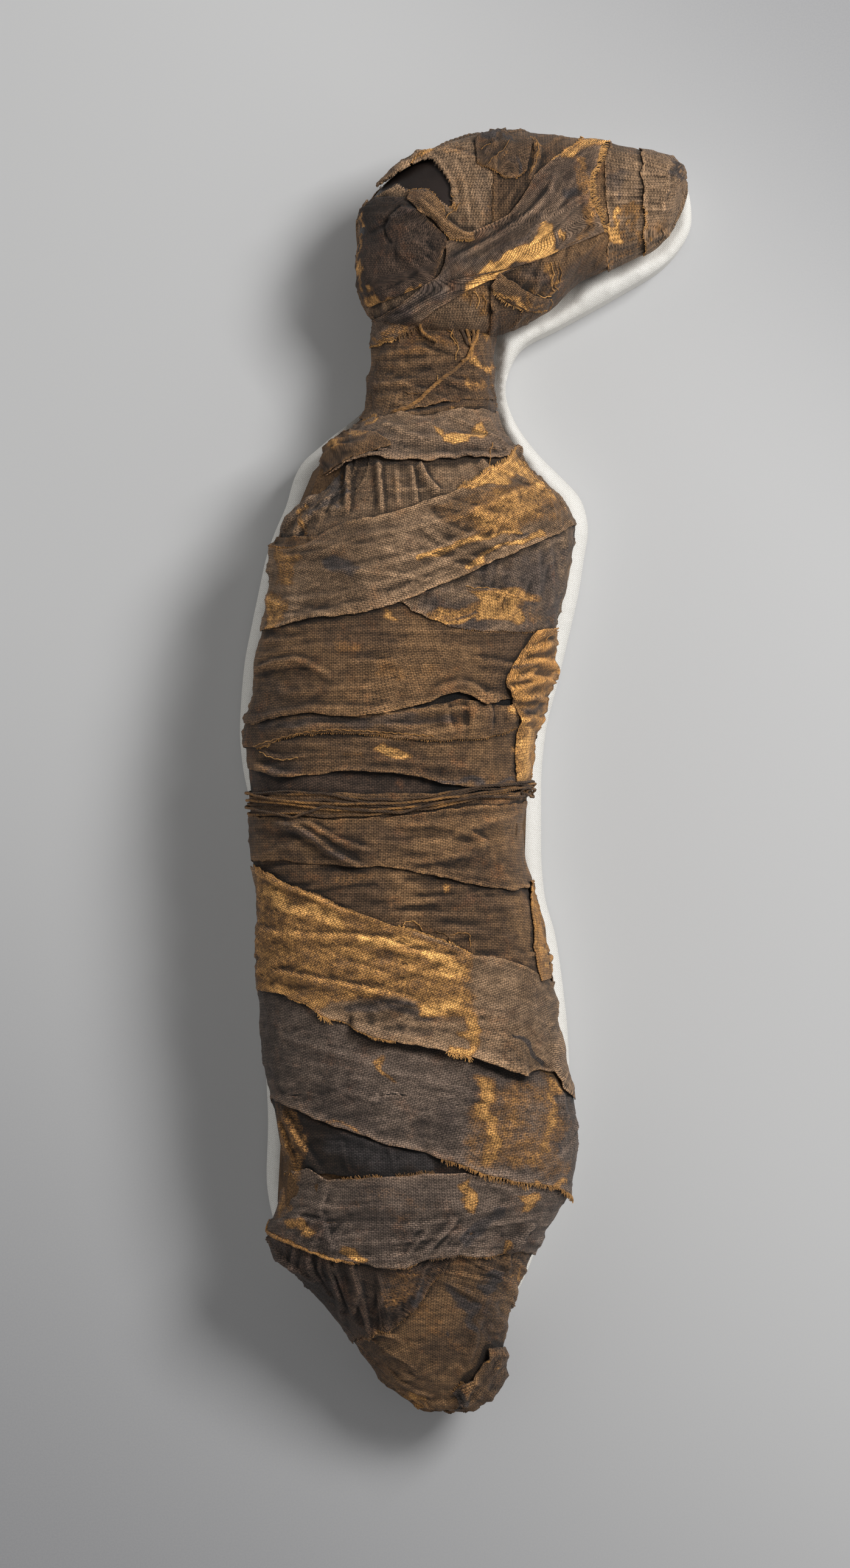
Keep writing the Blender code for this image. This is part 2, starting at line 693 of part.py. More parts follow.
def build_shrouds(head_space, neck_room, hole):
    """The inner linen of head, neck and trunk."""
    head = place(head_form("head_shroud"), "head_shroud", "inner linen")
    thicken(sink(head, SHROUD_LEVEL * PLY), LINEN)
    trim(head, neck_room)
    trim(head, hole)
    trim(body_wrap("neck_shroud", SHROUD_LEVEL - 1, NECK_SHROUD, "inner linen", plies=2), head_space)
    body_wrap("trunk_shroud", SHROUD_LEVEL - 1, TRUNK_SHROUD, "inner linen", plies=2)


def build_head_wraps(neck_room, hole):
    """The bandages of the head."""
    crown = head_wrap("crown_wrap", 2, head_strip(-SIDE_REACH, CROWN_EDGE), "brown linen")
    trim(trim(crown, neck_room), hole)
    head_wrap("cheek_wrap", 2, head_strip(CROWN_EDGE + WRAP_GAP, CHEEK_EDGE), "dark linen")
    head_wrap("muzzle_wrap", 2, head_strip(CHEEK_EDGE + WRAP_GAP, SIDE_REACH), "brown linen")
    head_wrap("nose_wrap", 1, head_strip(NOSE_WRAP_EDGE, SIDE_REACH), "brown linen")
    nape = head_wrap("nape_patch", 1, NAPE_PATCH, "dark linen")
    trim(front_only(nape, HEAD_SPLIT_HEIGHT), hole)
    front_only(head_wrap("brow_patch", 1, BROW_PATCH, "dark linen"), HEAD_SPLIT_HEIGHT)
    trim(front_only(head_wrap("folded_strip", -1, FOLDED_STRIP, "brown linen"), HEAD_SPLIT_HEIGHT), hole)
    trim(head_wrap("cheek_band", 0, CHEEK_BAND, "ochre linen"), neck_room)
    front_only(head_wrap("jaw_band", 1, JAW_BAND, "ochre linen"), HEAD_SPLIT_HEIGHT)


def build_chest_wraps(head_space):
    """The bandages of neck, shoulders and chest."""
    trim(body_wrap("neck_wrap_upper", 0, NECK_UPPER_WRAP, "brown linen"), head_space)
    trim(body_wrap("neck_wrap_lower", 1, NECK_LOWER_WRAP, "dark linen"), head_space)
    body_wrap("collar_wrap", 0, COLLAR_WRAP, "ochre linen")
    body_wrap("chest_linen", 1, CHEST_LINEN, "brown linen")
    front_only(body_wrap("left_shoulder_fold", -1, LEFT_SHOULDER_FOLD, "ochre linen"), SPLIT_HEIGHT)
    body_wrap("shoulder_sash", -1, SHOULDER_SASH, "brown linen")
    body_wrap("chest_panel", 0, CHEST_PANEL, "dark linen")
    body_wrap("chest_wrap", 1, CHEST_WRAP, "brown linen")
    front_only(body_wrap("side_cloth", 0, SIDE_CLOTH, "ochre linen"), BED_HEIGHT + MM)
    tie_route = laid_route(body_form("tie_guide"), NECK_TIE_PATH, HANK_RADIUS + TIE_LIFT)
    curve_tube("neck_tie", tie_route, HANK_RADIUS, "cord")


def build_waist_and_torso_wraps():
    """The bandages from the waist to the hips, with the waist cord."""
    body_wrap("waist_wrap_upper", 0, WAIST_WRAP_UPPER, "brown linen")
    body_wrap("waist_wrap_lower", 1, WAIST_WRAP_LOWER, "brown linen")
    body_wrap("waist_cord", -1, WAIST_CORD, "cord", plies=CORD_PLIES)
    body_wrap("upper_torso_wrap", 0, UPPER_TORSO_WRAP, "brown linen")
    body_wrap("mid_torso_wrap", 1, MID_TORSO_WRAP, "brown linen")
    body_wrap("ochre_wrap", 0, OCHRE_WRAP, "ochre linen")
    front_only(body_wrap("side_strip", 0, SIDE_STRIP, "ochre linen"), BED_HEIGHT + MM)
    body_wrap("hip_band", 1, HIP_BAND, "dark linen")


def build_foot_wraps():
    """The bandages of the hind end."""
    body_wrap("underlap_wrap", 2, UNDERLAP_WRAP, "dark linen")
    body_wrap("thigh_wrap", 2, THIGH_WRAP, "brown linen")
    foot_outline = (*FOOT_SEAM, (RIGHT, -END_REACH), (RIGHT, FOOT_TOP))
    body_wrap("foot_wrap", SHROUD_LEVEL, foot_outline, "brown linen")
    heel_seam = [(x - CLEARANCE / MM, y) for x, y in FOOT_SEAM]
    heel_outline = (*heel_seam, (LEFT, -END_REACH), (LEFT, FOOT_TOP))
    body_wrap("heel_wrap", SHROUD_LEVEL, heel_outline, "dark linen")
    front_only(body_wrap("foot_end_flap", 2, FOOT_END_FLAP, "dark linen"), 0.0)
    lift = HEM_RADIUS + 2 * CLEARANCE - SHROUD_LEVEL * PLY
    hem_route = laid_route(body_form("hem_guide"), ROLLED_HEM_PATH, lift)
    curve_tube("rolled_hem", hem_route, HEM_RADIUS, "ochre linen")


def centre_on_origin():
    """Move every piece and cutter so that the object's box is centred on the Z axis."""
    depsgraph = bpy.context.evaluated_depsgraph_get()
    corners = []
    for piece in PIECES.objects:
        evaluated = piece.evaluated_get(depsgraph)
        corners.extend(piece.matrix_world @ Vector(corner) for corner in evaluated.bound_box)
    places = np.array(corners)
    middle = (places.min(axis=0) + places.max(axis=0)) / 2
    centre = bpy.data.objects.new("mummy_origin", None)
    PIECES.objects.link(centre)
    centre.location = (-middle[0], -middle[1], 0.0)
    for piece in [*PIECES.objects, *CUTTERS.objects]:
        if piece is not centre:
            piece.parent = centre


clear_scene()
PIECES = new_collection("animal_mummy")
CUTTERS = new_collection("cutters")
build_support()
SKULL_SPACE = build_animal()
ROOM = animal_space()
HEAD_SPACE = sink(place(head_form("head_space"), "head_space"), -(PLY + CLEARANCE))
CROWN_OPENING = prism("crown_opening", CROWN_HOLE, HEAD_SPLIT_HEIGHT, CUT_REACH)
build_packing(SKULL_SPACE, ROOM, HEAD_SPACE, CROWN_OPENING)
build_shrouds(HEAD_SPACE, ROOM["neck"], CROWN_OPENING)
build_head_wraps(ROOM["neck"], CROWN_OPENING)
build_chest_wraps(HEAD_SPACE)
build_waist_and_torso_wraps()
build_foot_wraps()
centre_on_origin()
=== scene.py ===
"""The looks of a wrapped canine mummy lying in its fitted, linen-covered support.

Lines, creases and stains are read off the photograph in its own pixels, as seen from a camera
straight above, and every one of them is laid on the smooth wrapped surface of the body or of the
head; some of the dark stains are painted shade. The bandages are then laid one on another, from the
innermost to the outermost.
"""
from __future__ import annotations

import json
import logging
import math
from collections.abc import Iterator
from contextlib import contextmanager
from dataclasses import dataclass, field
from enum import Enum
from functools import lru_cache

import bmesh
import bpy
import numpy as np
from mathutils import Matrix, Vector, geometry

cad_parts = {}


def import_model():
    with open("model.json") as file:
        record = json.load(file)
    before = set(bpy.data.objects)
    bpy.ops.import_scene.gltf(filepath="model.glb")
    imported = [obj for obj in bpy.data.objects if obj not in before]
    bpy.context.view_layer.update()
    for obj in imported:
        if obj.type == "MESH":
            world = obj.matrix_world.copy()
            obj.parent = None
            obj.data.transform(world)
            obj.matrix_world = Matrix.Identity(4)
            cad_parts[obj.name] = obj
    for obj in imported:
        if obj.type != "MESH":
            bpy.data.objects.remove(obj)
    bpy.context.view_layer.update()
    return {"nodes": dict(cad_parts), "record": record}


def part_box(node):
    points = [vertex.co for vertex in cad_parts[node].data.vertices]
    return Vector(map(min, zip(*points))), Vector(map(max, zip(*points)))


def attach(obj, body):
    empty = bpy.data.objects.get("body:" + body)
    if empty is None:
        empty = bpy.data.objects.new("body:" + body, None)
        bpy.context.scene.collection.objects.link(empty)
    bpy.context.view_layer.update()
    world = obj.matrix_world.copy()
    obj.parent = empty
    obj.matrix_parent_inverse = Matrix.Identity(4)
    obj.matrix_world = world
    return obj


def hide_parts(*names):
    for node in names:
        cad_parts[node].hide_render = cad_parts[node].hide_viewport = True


LOG = logging.getLogger("mummy")
MM = 0.001

# The photograph and the camera above the object
PHOTO_SIZE = (1397, 2576)
PHOTO_MIDDLE = (698.5, 1288.0)
PIXEL = 0.382 * MM
CAMERA_HEIGHT = 3.0
SILHOUETTE_HEIGHT = 0.080

# The support's cover in the part, whose low x and high y tie the photograph to the part, in mm
COVER_LOW_X = -116.0
COVER_HIGH_Y = 398.0

# Thickness of the cloth, the rise from one layer to the next, the least gap between two, and how far
# the innermost lies under the form's surface
CLOTH = 0.65 * MM
SPACING = 0.95 * MM
LEAST_GAP = 0.2 * MM
BASE_INSET = 3.8 * MM

# Steps of the cloths' meshes and of the forms' rows
MESH_STEP = 1.45 * MM
CHART_STEP = 1.5 * MM

# How far a cloth and a cord bridge the hollows under them
CLOTH_BRIDGE = 3.2 * MM
CORD_BRIDGE = 1.5 * MM

# Width over which the cloth's hollows and crests are found, depth at which their painted shade and painted
# highlight are full, and how far an edge is worn
PAINTED_SHADE_WIDTH = 2.6 * MM
PAINTED_SHADE_DEPTH = 0.9 * MM
WORN_WIDTH = 1.6 * MM

# Heights of the unevenness under the cloth and of puckers, and how far edges waver, in mm
UNDER_CLOTH_HEIGHT = 0.9
PUCKER_HEIGHT = 0.16
STROKE_HEIGHT = 1.35
EDGE_WAVER = 0.55
PATCH_WAVER = 0.9

# Points nearer than this are merged, and shorter edges are dissolved
MERGED = 0.02 * MM
DISSOLVED = 0.01 * MM

FRINGE_RADIUS = 0.24 * MM
BED_HEIGHT = 0.020
SECTION_POWER = 2.0 / 2.5

# How far a direction leans up where the camera starts to see it, and where it sees it well
FACING = (-0.05, 0.3)

# Softness of each kind of unevenness along its run and across it, in mm
UNDER_CLOTH, WAVES, FINE_FOLDS, PUCKERS, FOLDED_PLACES = (16, 16), (40, 3.8), (24, 1.7), (3.0, 2.4), (22, 14)
WIDE_WARP, TIGHT_WARP = (9, 5), (4, 1.6)

# Columns over which the weave of a wrap ignores the wavering of its edges
WEAVE_SOFTNESS = 7.0

# Columns over the front and over the back of each form, and the seed of its unevenness
BODY_COLUMNS, BODY_SEED = (190, 96), 11
HEAD_COLUMNS, HEAD_SEED = (140, 70), 12

# Wrapped body from neck to foot: Y, left X, right X and thickness of each section, in mm
BODY_SECTIONS = (
    (330, -26, 40, 64), (290, -34, 45, 76), (252, -36, 44, 82), (237, -37, 47, 86),
    (225, -44, 50, 93), (213, -58, 60, 103), (204, -62, 64, 108), (194, -64, 70, 113),
    (187, -67, 77, 117), (178, -78, 85, 121), (168, -87, 91, 125), (158, -92, 93, 129),
    (141, -97, 91, 132), (118, -98, 86, 136), (98, -104, 81, 138), (76, -109, 79, 140),
    (55, -110, 76, 140), (34, -112, 70, 140), (13, -111, 68, 139), (-8, -110, 67, 139),
    (-30, -109, 64, 138), (-51, -107, 65, 137), (-73, -105, 71, 137), (-94, -104, 75, 136),
    (-120, -104, 79, 136), (-140, -104, 82, 136), (-165, -104, 87, 136), (-180, -102, 90, 135),
    (-197, -98, 95, 133), (-218, -95, 96, 131), (-231, -92, 96, 129), (-244, -91, 94, 126),
    (-257, -93, 92, 123), (-269, -96, 84, 119), (-282, -99, 77, 115), (-291, -97, 72, 112),
    (-301, -92, 67, 108), (-307, -85, 65, 105), (-315, -76, 61, 101), (-350, -47, 52, 83),
    (-380, -27, 46, 63), (-395, -8, 34, 46),
)
FOOT_TIP = -399
NECK_TIP = 332

# Wrapped head from nape to nose: X, top Y, bottom Y, thickness and underside height, in mm
HEAD_SECTIONS = (
    (-42, 357, 311, 52, 28), (-36, 370, 297, 70, 25), (-24, 383, 285, 83, 22),
    (-4, 397, 278, 93, 21), (23, 407, 278, 98, 21), (52, 410, 284, 98, 21),
    (78, 408, 298, 91, 23), (102, 406, 319, 79, 26), (126, 403, 328, 67, 30),
    (146, 399, 338, 57, 33), (157, 396, 353, 47, 36), (162, 393, 371, 36, 40),
)
NAPE_TIP = -44
NOSE_TIP = 165


class Tone(Enum):
    """Colours of the object, as red, green and blue in sRGB from 0 to 255."""

    BROWN = (112, 84, 56)
    UMBER = (80, 60, 42)
    PALE = (130, 104, 79)
    FAWN = (100, 78, 57)
    TAUPE = (122, 98, 75)
    GREY_BROWN = (104, 84, 67)
    SLATE = (104, 88, 76)
    SLATE_DEEP = (76, 64, 56)
    DARK = (72, 56, 45)
    DEEP = (44, 33, 25)
    TAN = (128, 90, 50)
    OCHRE = (172, 123, 66)
    GOLD = (214, 160, 92)
    RUST = (150, 90, 45)
    # Grey of dark stains, and of painted shade in grooves, slits and pleats
    STAIN_AND_SHADE_GREY = (58, 53, 52)
    GAP = (22, 16, 12)
    SKIN = (30, 23, 20)
    WHITE = (238, 236, 230)
    WHITE_GAP = (206, 202, 195)
    PAPER = (198, 193, 182)
    FLOOR = (190, 190, 190)
    FLOOR_SHADE = (146, 146, 148)

    @property
    def linear(self) -> tuple[float, float, float, float]:
        """The colour as linear red, green, blue and alpha."""
        shares = [value / 255 for value in self.value]
        low = [share / 12.92 for share in shares]
        high = [((share + 0.055) / 1.055) ** 2.4 for share in shares]
        return (*[h if share > 0.04045 else l for share, l, h in zip(shares, low, high)], 1.0)


class Profile(Enum):
    """How a stroke stands on the cloth across its line."""

    RIDGE = "ridge"
    GROOVE = "groove"
    PLEAT = "pleat"


class Side(Enum):
    """The edge of a bandage that something is done to."""

    UPPER = "upper"
    LOWER = "lower"


@lru_cache(maxsize=None)
def pixels(line: str) -> np.ndarray:
    """Points of a line written as x,y pairs in photograph pixels, one in each row."""
    return np.array([pair.split(",") for pair in line.split()], float)


@dataclass(frozen=True)
class Stroke:
    """A crease or fold: its line in photograph pixels, with its width and height in mm."""

    line: str
    width: float
    height: float
    profile: Profile = Profile.RIDGE


@dataclass(frozen=True)
class Stain:
    """A patch of colour along a line, or inside it where filled, with a soft width in pixels."""

    line: str
    width: float
    strength: float = 1.0
    filled: bool = False


@dataclass(frozen=True)
class Curl:
    """A stretch of an edge that lifts: photograph pixels from and to, with lift and reach in mm."""

    side: Side
    start: float
    end: float
    lift: float
    reach: float


@dataclass(frozen=True)
class Fringe:
    """Loose threads along an edge, from and to in photograph pixels, with sizes in mm."""

    side: Side
    start: float
    end: float
    length: float
    spacing: float = 1.0
    tone: Tone = Tone.OCHRE
    spread: float = 0.5


@dataclass(frozen=True)
class Weave:
    """The finish of one linen: its tones, the contrast of the painted shade and highlight on its threads,
    and how it has aged.
    """

    name: str
    tone: Tone
    deep: Tone
    contrast: float = 0.88
    rust: float = 0.20
    gold_share: float = 0.0
    seed: float = 0.0


BROWN_LINEN = Weave("brown_linen", Tone.BROWN, Tone.UMBER, seed=1.0)
PALE_LINEN = Weave("pale_linen", Tone.PALE, Tone.FAWN, rust=0.16, gold_share=0.02, seed=2.0)
COLLAR_LINEN = Weave("collar_linen", Tone.TAUPE, Tone.GREY_BROWN, seed=3.0)
PANEL_LINEN = Weave("panel_linen", Tone.TAUPE, Tone.SLATE_DEEP, gold_share=-0.05, seed=3.5)
GREY_LINEN = Weave("grey_linen", Tone.GREY_BROWN, Tone.DARK, gold_share=-0.05, seed=4.0)
SLATE_LINEN = Weave("slate_linen", Tone.SLATE, Tone.SLATE_DEEP, rust=0.12, gold_share=-0.05, seed=4.5)
DARK_LINEN = Weave("dark_linen", Tone.DARK, Tone.DEEP, rust=0.14, gold_share=-0.08, seed=6.0)
# Near-black linen, painted shadow for the shade under the hip band's lifted edge
PAINTED_SHADOW_LINEN = Weave("painted_shadow_linen", Tone.DEEP, Tone.GAP, rust=0.08, gold_share=-0.08, seed=7.0)
OCHRE_LINEN = Weave("ochre_linen", Tone.OCHRE, Tone.BROWN, gold_share=0.05, seed=8.0)


@dataclass(frozen=True)
class ClothPlan:
    """A cloth between two lines in photograph pixels, and what is done to it."""

    node: str
    weave: Weave
    upper: str
    lower: str
    seed: int
    crease: float = 0.5
    slant: float = 0.0
    wave: float = 1.0
    strokes: tuple[Stroke, ...] = ()
    curls: tuple[Curl, ...] = ()
    fringes: tuple[Fringe, ...] = ()
    gold: tuple[Stain, ...] = ()
    # Dark stains: partly real stains, partly painted shade along grooves, slits and pleats
    dark: tuple[Stain, ...] = ()
    threads: tuple[str, ...] = ()
    hole: str = ""
    coarse: int = 1
    worn: float = 0.15


@dataclass(frozen=True)
class Wrap(ClothPlan):
    """One turn of bandage, right round the form."""


@dataclass(frozen=True)
class Patch(ClothPlan):
    """A piece of cloth on the front, whose two lines run the same way."""

    puff: float = 0.0


def smooth_curve(knots: np.ndarray, values: np.ndarray, at: np.ndarray) -> np.ndarray:
    """A smooth curve through values that never overshoots them.

    Args:
        knots: Rising places of the values.
        values: One row of values for each knot.
        at: Places to read the curve at.

    Returns:
        One row of values for each place.
    """
    gaps = np.diff(knots)[:, None]
    slopes = np.diff(values, axis=0) / gaps
    inner = np.zeros_like(values)
    both = slopes[:-1] * slopes[1:]
    mean = 2 * both / np.where(np.abs(slopes[:-1] + slopes[1:]) < 1e-12, 1.0, slopes[:-1] + slopes[1:])
    inner[1:-1] = np.where(both > 0, mean, 0.0)
    inner[0], inner[-1] = slopes[0], slopes[-1]
    index = np.clip(np.searchsorted(knots, at, side="right") - 1, 0, len(knots) - 2)
    step = knots[index + 1] - knots[index]
    t = ((at - knots[index]) / step)[:, None]
    step = step[:, None]
    start, end = values[index], values[index + 1]
    return (
        (2 * t**3 - 3 * t**2 + 1) * start
        + (t**3 - 2 * t**2 + t) * step * inner[index]
        + (3 * t**2 - 2 * t**3) * end
        + (t**3 - t**2) * step * inner[index + 1]
    )


def added_up(steps: np.ndarray) -> np.ndarray:
    """The running total of steps, from 0."""
    return np.concatenate(([0.0], np.cumsum(steps)))


def run_of(line: np.ndarray) -> np.ndarray:
    """Length along a line up to each of its points."""
    return added_up(np.linalg.norm(np.diff(line, axis=0), axis=1))


def points_at(line: np.ndarray, at: np.ndarray) -> np.ndarray:
    """Points of a line at given lengths along it."""
    run = run_of(line)
    return np.stack([np.interp(at, run, line[:, axis]) for axis in (0, 1)], axis=-1)


def smooth_step(values: np.ndarray, low: float, high: float) -> np.ndarray:
    """Values turned to a share that rises smoothly from 0 at low to 1 at high."""
    share = np.clip((values - low) / (high - low), 0.0, 1.0)
    return share * share * (3 - 2 * share)


def crest(distance: np.ndarray, side: np.ndarray, soft: float, sharp: float) -> np.ndarray:
    """A crest at 0 that falls softly where the side is over 0, and sharply elsewhere."""
    return np.exp(-((distance / np.where(side > 0, soft, sharp)) ** 2))


def line_distance(points: np.ndarray, ends: np.ndarray) -> tuple[np.ndarray, np.ndarray, np.ndarray]:
    """How far points lie from a line, on which side, and how near its ends.

    Args:
        points: Points in photograph pixels, one in each row.
        ends: The line in photograph pixels.

    Returns:
        The distance, the signed distance and the share of the line's length, for each point.
    """
    lengths = np.linalg.norm(np.diff(ends, axis=0), axis=1)
    before = added_up(lengths)
    nearest = np.full(len(points), np.inf)
    signed = np.zeros(len(points))
    share = np.zeros(len(points))
    for index, length in enumerate(lengths):
        start, run = ends[index], ends[index + 1] - ends[index]
        away = points - start
        t = np.clip(away @ run / max(length * length, 1e-9), 0.0, 1.0)
        apart = away - t[:, None] * run
        distance = np.hypot(apart[:, 0], apart[:, 1])
        closer = distance < nearest
        side = np.sign(run[0] * away[:, 1] - run[1] * away[:, 0])
        nearest = np.where(closer, distance, nearest)
        signed = np.where(closer, side * distance, signed)
        share = np.where(closer, (before[index] + t * length) / before[-1], share)
    return nearest, signed, share


def stain_field(seen: np.ndarray, stains: tuple[Stain, ...], facing: np.ndarray) -> np.ndarray:
    """How strongly each point is stained by the listed stains on the front.

    Args:
        seen: Points in photograph pixels.
        stains: The stains.
        facing: How far each point faces the camera, from 0 to 1.

    Returns:
        A share for each point.
    """
    # The dark stains are partly painted shade in grooves, slits and pleats
    field = np.zeros(len(seen))
    for stain in stains:
        line = pixels(stain.line)
        if stain.filled:
            distance, _, _ = line_distance(seen, np.concatenate((line, line[:1])))
            distance = np.where(inside(seen, line), -distance, distance)
            share = 1.0 - smooth_step(distance / stain.width, -1.0, 1.0)
        elif len(line) > 1:
            share = 1.0 - smooth_step(line_distance(seen, line)[0] / stain.width, 0.35, 1.25)
        else:
            share = 1.0 - smooth_step(np.hypot(*(seen - line[0]).T) / stain.width, 0.35, 1.25)
        field = np.maximum(field, stain.strength * share)
    return field * facing


def inside(points: np.ndarray, outline: np.ndarray) -> np.ndarray:
    """Whether each point lies inside an outline.

    Args:
        points: Points, one in each row.
        outline: The outline's corners, in the same unit.

    Returns:
        True or False for each point.
    """
    found = np.zeros(len(points), bool)
    count = len(outline)
    for index in range(count):
        (ax, ay), (bx, by) = outline[index], outline[(index + 1) % count]
        if ay == by:
            continue
        crosses = (ay > points[:, 1]) != (by > points[:, 1])
        reach = (bx - ax) * (points[:, 1] - ay) / (by - ay) + ax
        found ^= crosses & (points[:, 0] < reach)
    return found


@dataclass(frozen=True)
class PhotoView:
    """The camera's view: where points of the part show in the photograph."""

    middle: tuple[float, float]

    def seen(self, points: np.ndarray) -> np.ndarray:
        """Photograph pixels of points of the part, whose last axis holds x, y and z.

        Args:
            points: The points, in metres.

        Returns:
            Two pixels, across and down, for each point.
        """
        scale = (CAMERA_HEIGHT - SILHOUETTE_HEIGHT) / (CAMERA_HEIGHT - points[..., 2]) / PIXEL
        across = PHOTO_MIDDLE[0] + (points[..., 0] - self.middle[0]) * scale
        down = PHOTO_MIDDLE[1] - (points[..., 1] - self.middle[1]) * scale
        return np.stack((across, down), axis=-1)


class Form:
    """A smooth wrapped surface as rows along it and columns round it, with a height of cloth.

    Columns run over the front first, from its first side to its other side, then back below.
    """

    def __init__(self, view: PhotoView, points: np.ndarray, front: int, along_y: bool, seed: int) -> None:
        """Take the surface's points.

        Args:
            view: The camera's view.
            points: Points by row and column.
            front: The number of columns over the front.
            along_y: True for the body, whose rows run down, and False for the head.
            seed: Seed of the unevenness under the cloth.
        """
        self.view = view
        self.points = points
        self.front = front
        self.along_y = along_y
        self.rows, self.columns = points.shape[:2]
        self.normals = self._normals()
        self.seen = view.seen(points)
        self.facing = smooth_step(self.normals[..., 2], *FACING)
        self.row_step = CHART_STEP
        self.height = np.full((self.rows, self.columns), -BASE_INSET)
        self.height += self.ripple(seed, UNDER_CLOTH) * UNDER_CLOTH_HEIGHT * MM

    def _normals(self) -> np.ndarray:
        """Outward directions at every point.

        Returns:
            A direction of length 1, by row and column.
        """
        around = np.roll(self.points, -1, axis=1) - np.roll(self.points, 1, axis=1)
        along = np.gradient(self.points, axis=0)
        normals = np.cross(around, along)
        length = np.linalg.norm(normals, axis=2, keepdims=True)
        normals = normals / np.maximum(length, 1e-12)
        outward = self.points - self.points.mean(axis=1, keepdims=True)
        if (normals * outward)[self.rows // 2].sum() < 0:
            normals = -normals
        for row, inner in ((0, 6), (-1, -7)):
            pole = self.points[row].mean(axis=0) - self.points[inner].mean(axis=0)
            pole /= np.linalg.norm(pole)
            weak = length[row, :, 0] < 1e-9
            normals[row][weak] = pole
        return normals

    def blur(self, field: np.ndarray, sigma: float) -> np.ndarray:
        """The field softened over a distance in metres.

        Args:
            field: Values by row and column.
            sigma: The distance.

        Returns:
            The softened field.
        """
        cells = sigma / self.row_step
        reach = max(1, int(math.ceil(cells * 2.5)))
        weights = np.exp(-0.5 * (np.arange(-reach, reach + 1) / cells) ** 2)
        weights /= weights.sum()
        padded = np.pad(field, ((reach, reach), (0, 0)), mode="edge")
        rows = sum(w * padded[i : i + self.rows] for i, w in enumerate(weights))
        wrapped = np.concatenate((rows[:, -reach:], rows, rows[:, :reach]), axis=1)
        return sum(w * wrapped[:, i : i + self.columns] for i, w in enumerate(weights))

    def ripple(self, seed: int, softness: tuple[float, float], slant: float = 0.0) -> np.ndarray:
        """Seeded unevenness that runs long one way and short the other.

        Args:
            seed: Seed of the noise.
            softness: Softness along its run and across it, in mm.
            slant: Turn of its run from the round-the-body way, in radians.

        Returns:
            A field whose spread is 1.
        """
        noise = np.random.default_rng(seed).standard_normal((self.rows, self.columns))
        down = np.fft.fftfreq(self.rows)[:, None]
        round_ = np.fft.fftfreq(self.columns)[None, :]
        run = round_ * math.cos(slant) + down * math.sin(slant)
        across = down * math.cos(slant) - round_ * math.sin(slant)
        a, b = (soft * MM / self.row_step for soft in softness)
        shape = np.exp(-2 * math.pi**2 * ((run * a) ** 2 + (across * b) ** 2))
        field = np.fft.ifft2(np.fft.fft2(noise) * shape).real
        return field / field.std()

    def along(self, seen: np.ndarray) -> np.ndarray:
        """How far along the form's rows points in photograph pixels are."""
        return seen[..., 1 if self.along_y else 0]

    def across(self, seen: np.ndarray) -> np.ndarray:
        """How far across the form points in photograph pixels are."""
        return seen[..., 0 if self.along_y else 1]

    def crossing(self, ends: np.ndarray) -> np.ndarray:
        """Row, for each column, at which the surface meets a line of the photograph.

        Args:
            ends: The line in photograph pixels.

        Returns:
            A fractional row for each column.
        """
        ends = ends[np.argsort(self.across(ends))]
        line = np.interp(self.across(self.seen), self.across(ends), self.along(ends))
        ahead = self.along(self.seen) - line
        found = np.argmax(ahead >= 0, axis=0)
        found = np.where((ahead >= 0).any(axis=0), found, self.rows - 1)
        before = np.clip(found - 1, 0, self.rows - 1)
        column = np.arange(self.columns)
        high, low = ahead[found, column], ahead[before, column]
        share = np.where(found > before, high / np.where(np.abs(high - low) < 1e-9, 1.0, high - low), 0.0)
        rows = np.clip(found - np.clip(share, 0.0, 1.0), 0, self.rows - 1)
        back = np.arange(self.front, self.columns + 1)
        turn = (back - self.front) / (self.columns - self.front)
        rows[back[:-1]] = (rows[self.front] * (1 - turn) + rows[0] * turn)[:-1]
        return rows

    def read(self, field: np.ndarray, row: np.ndarray, column: np.ndarray) -> np.ndarray:
        """Values of a field at fractional rows and columns.

        Args:
            field: Numbers or vectors by row and column.
            row: The rows.
            column: The columns, which may go on round the form.

        Returns:
            The values.
        """
        r = np.clip(row, 0, self.rows - 1.000001)
        r0 = r.astype(int)
        c0 = np.floor(column).astype(int)
        fr, fc = r - r0, column - c0
        c0, c1 = c0 % self.columns, (c0 + 1) % self.columns
        if field.ndim == 3:
            fr, fc = fr[..., None], fc[..., None]
        return (
            field[r0, c0] * (1 - fr) * (1 - fc)
            + field[r0 + 1, c0] * fr * (1 - fc)
            + field[r0, c1] * (1 - fr) * fc
            + field[r0 + 1, c1] * fr * fc
        )

    def above(self, row: np.ndarray, column: np.ndarray, height: np.ndarray) -> np.ndarray:
        """Points at heights over the smooth surface, at fractional rows and columns."""
        normal = self.read(self.normals, row, column)
        return self.read(self.points, row, column) + normal * height[:, None]

    def over_cloth(self, row: np.ndarray, column: np.ndarray, lift: float) -> np.ndarray:
        """Points that lie a lift in mm over the cloth laid so far."""
        cloth = self.read(self.blur(self.height, CORD_BRIDGE), row, column)
        return self.above(row, column, cloth + lift * MM)

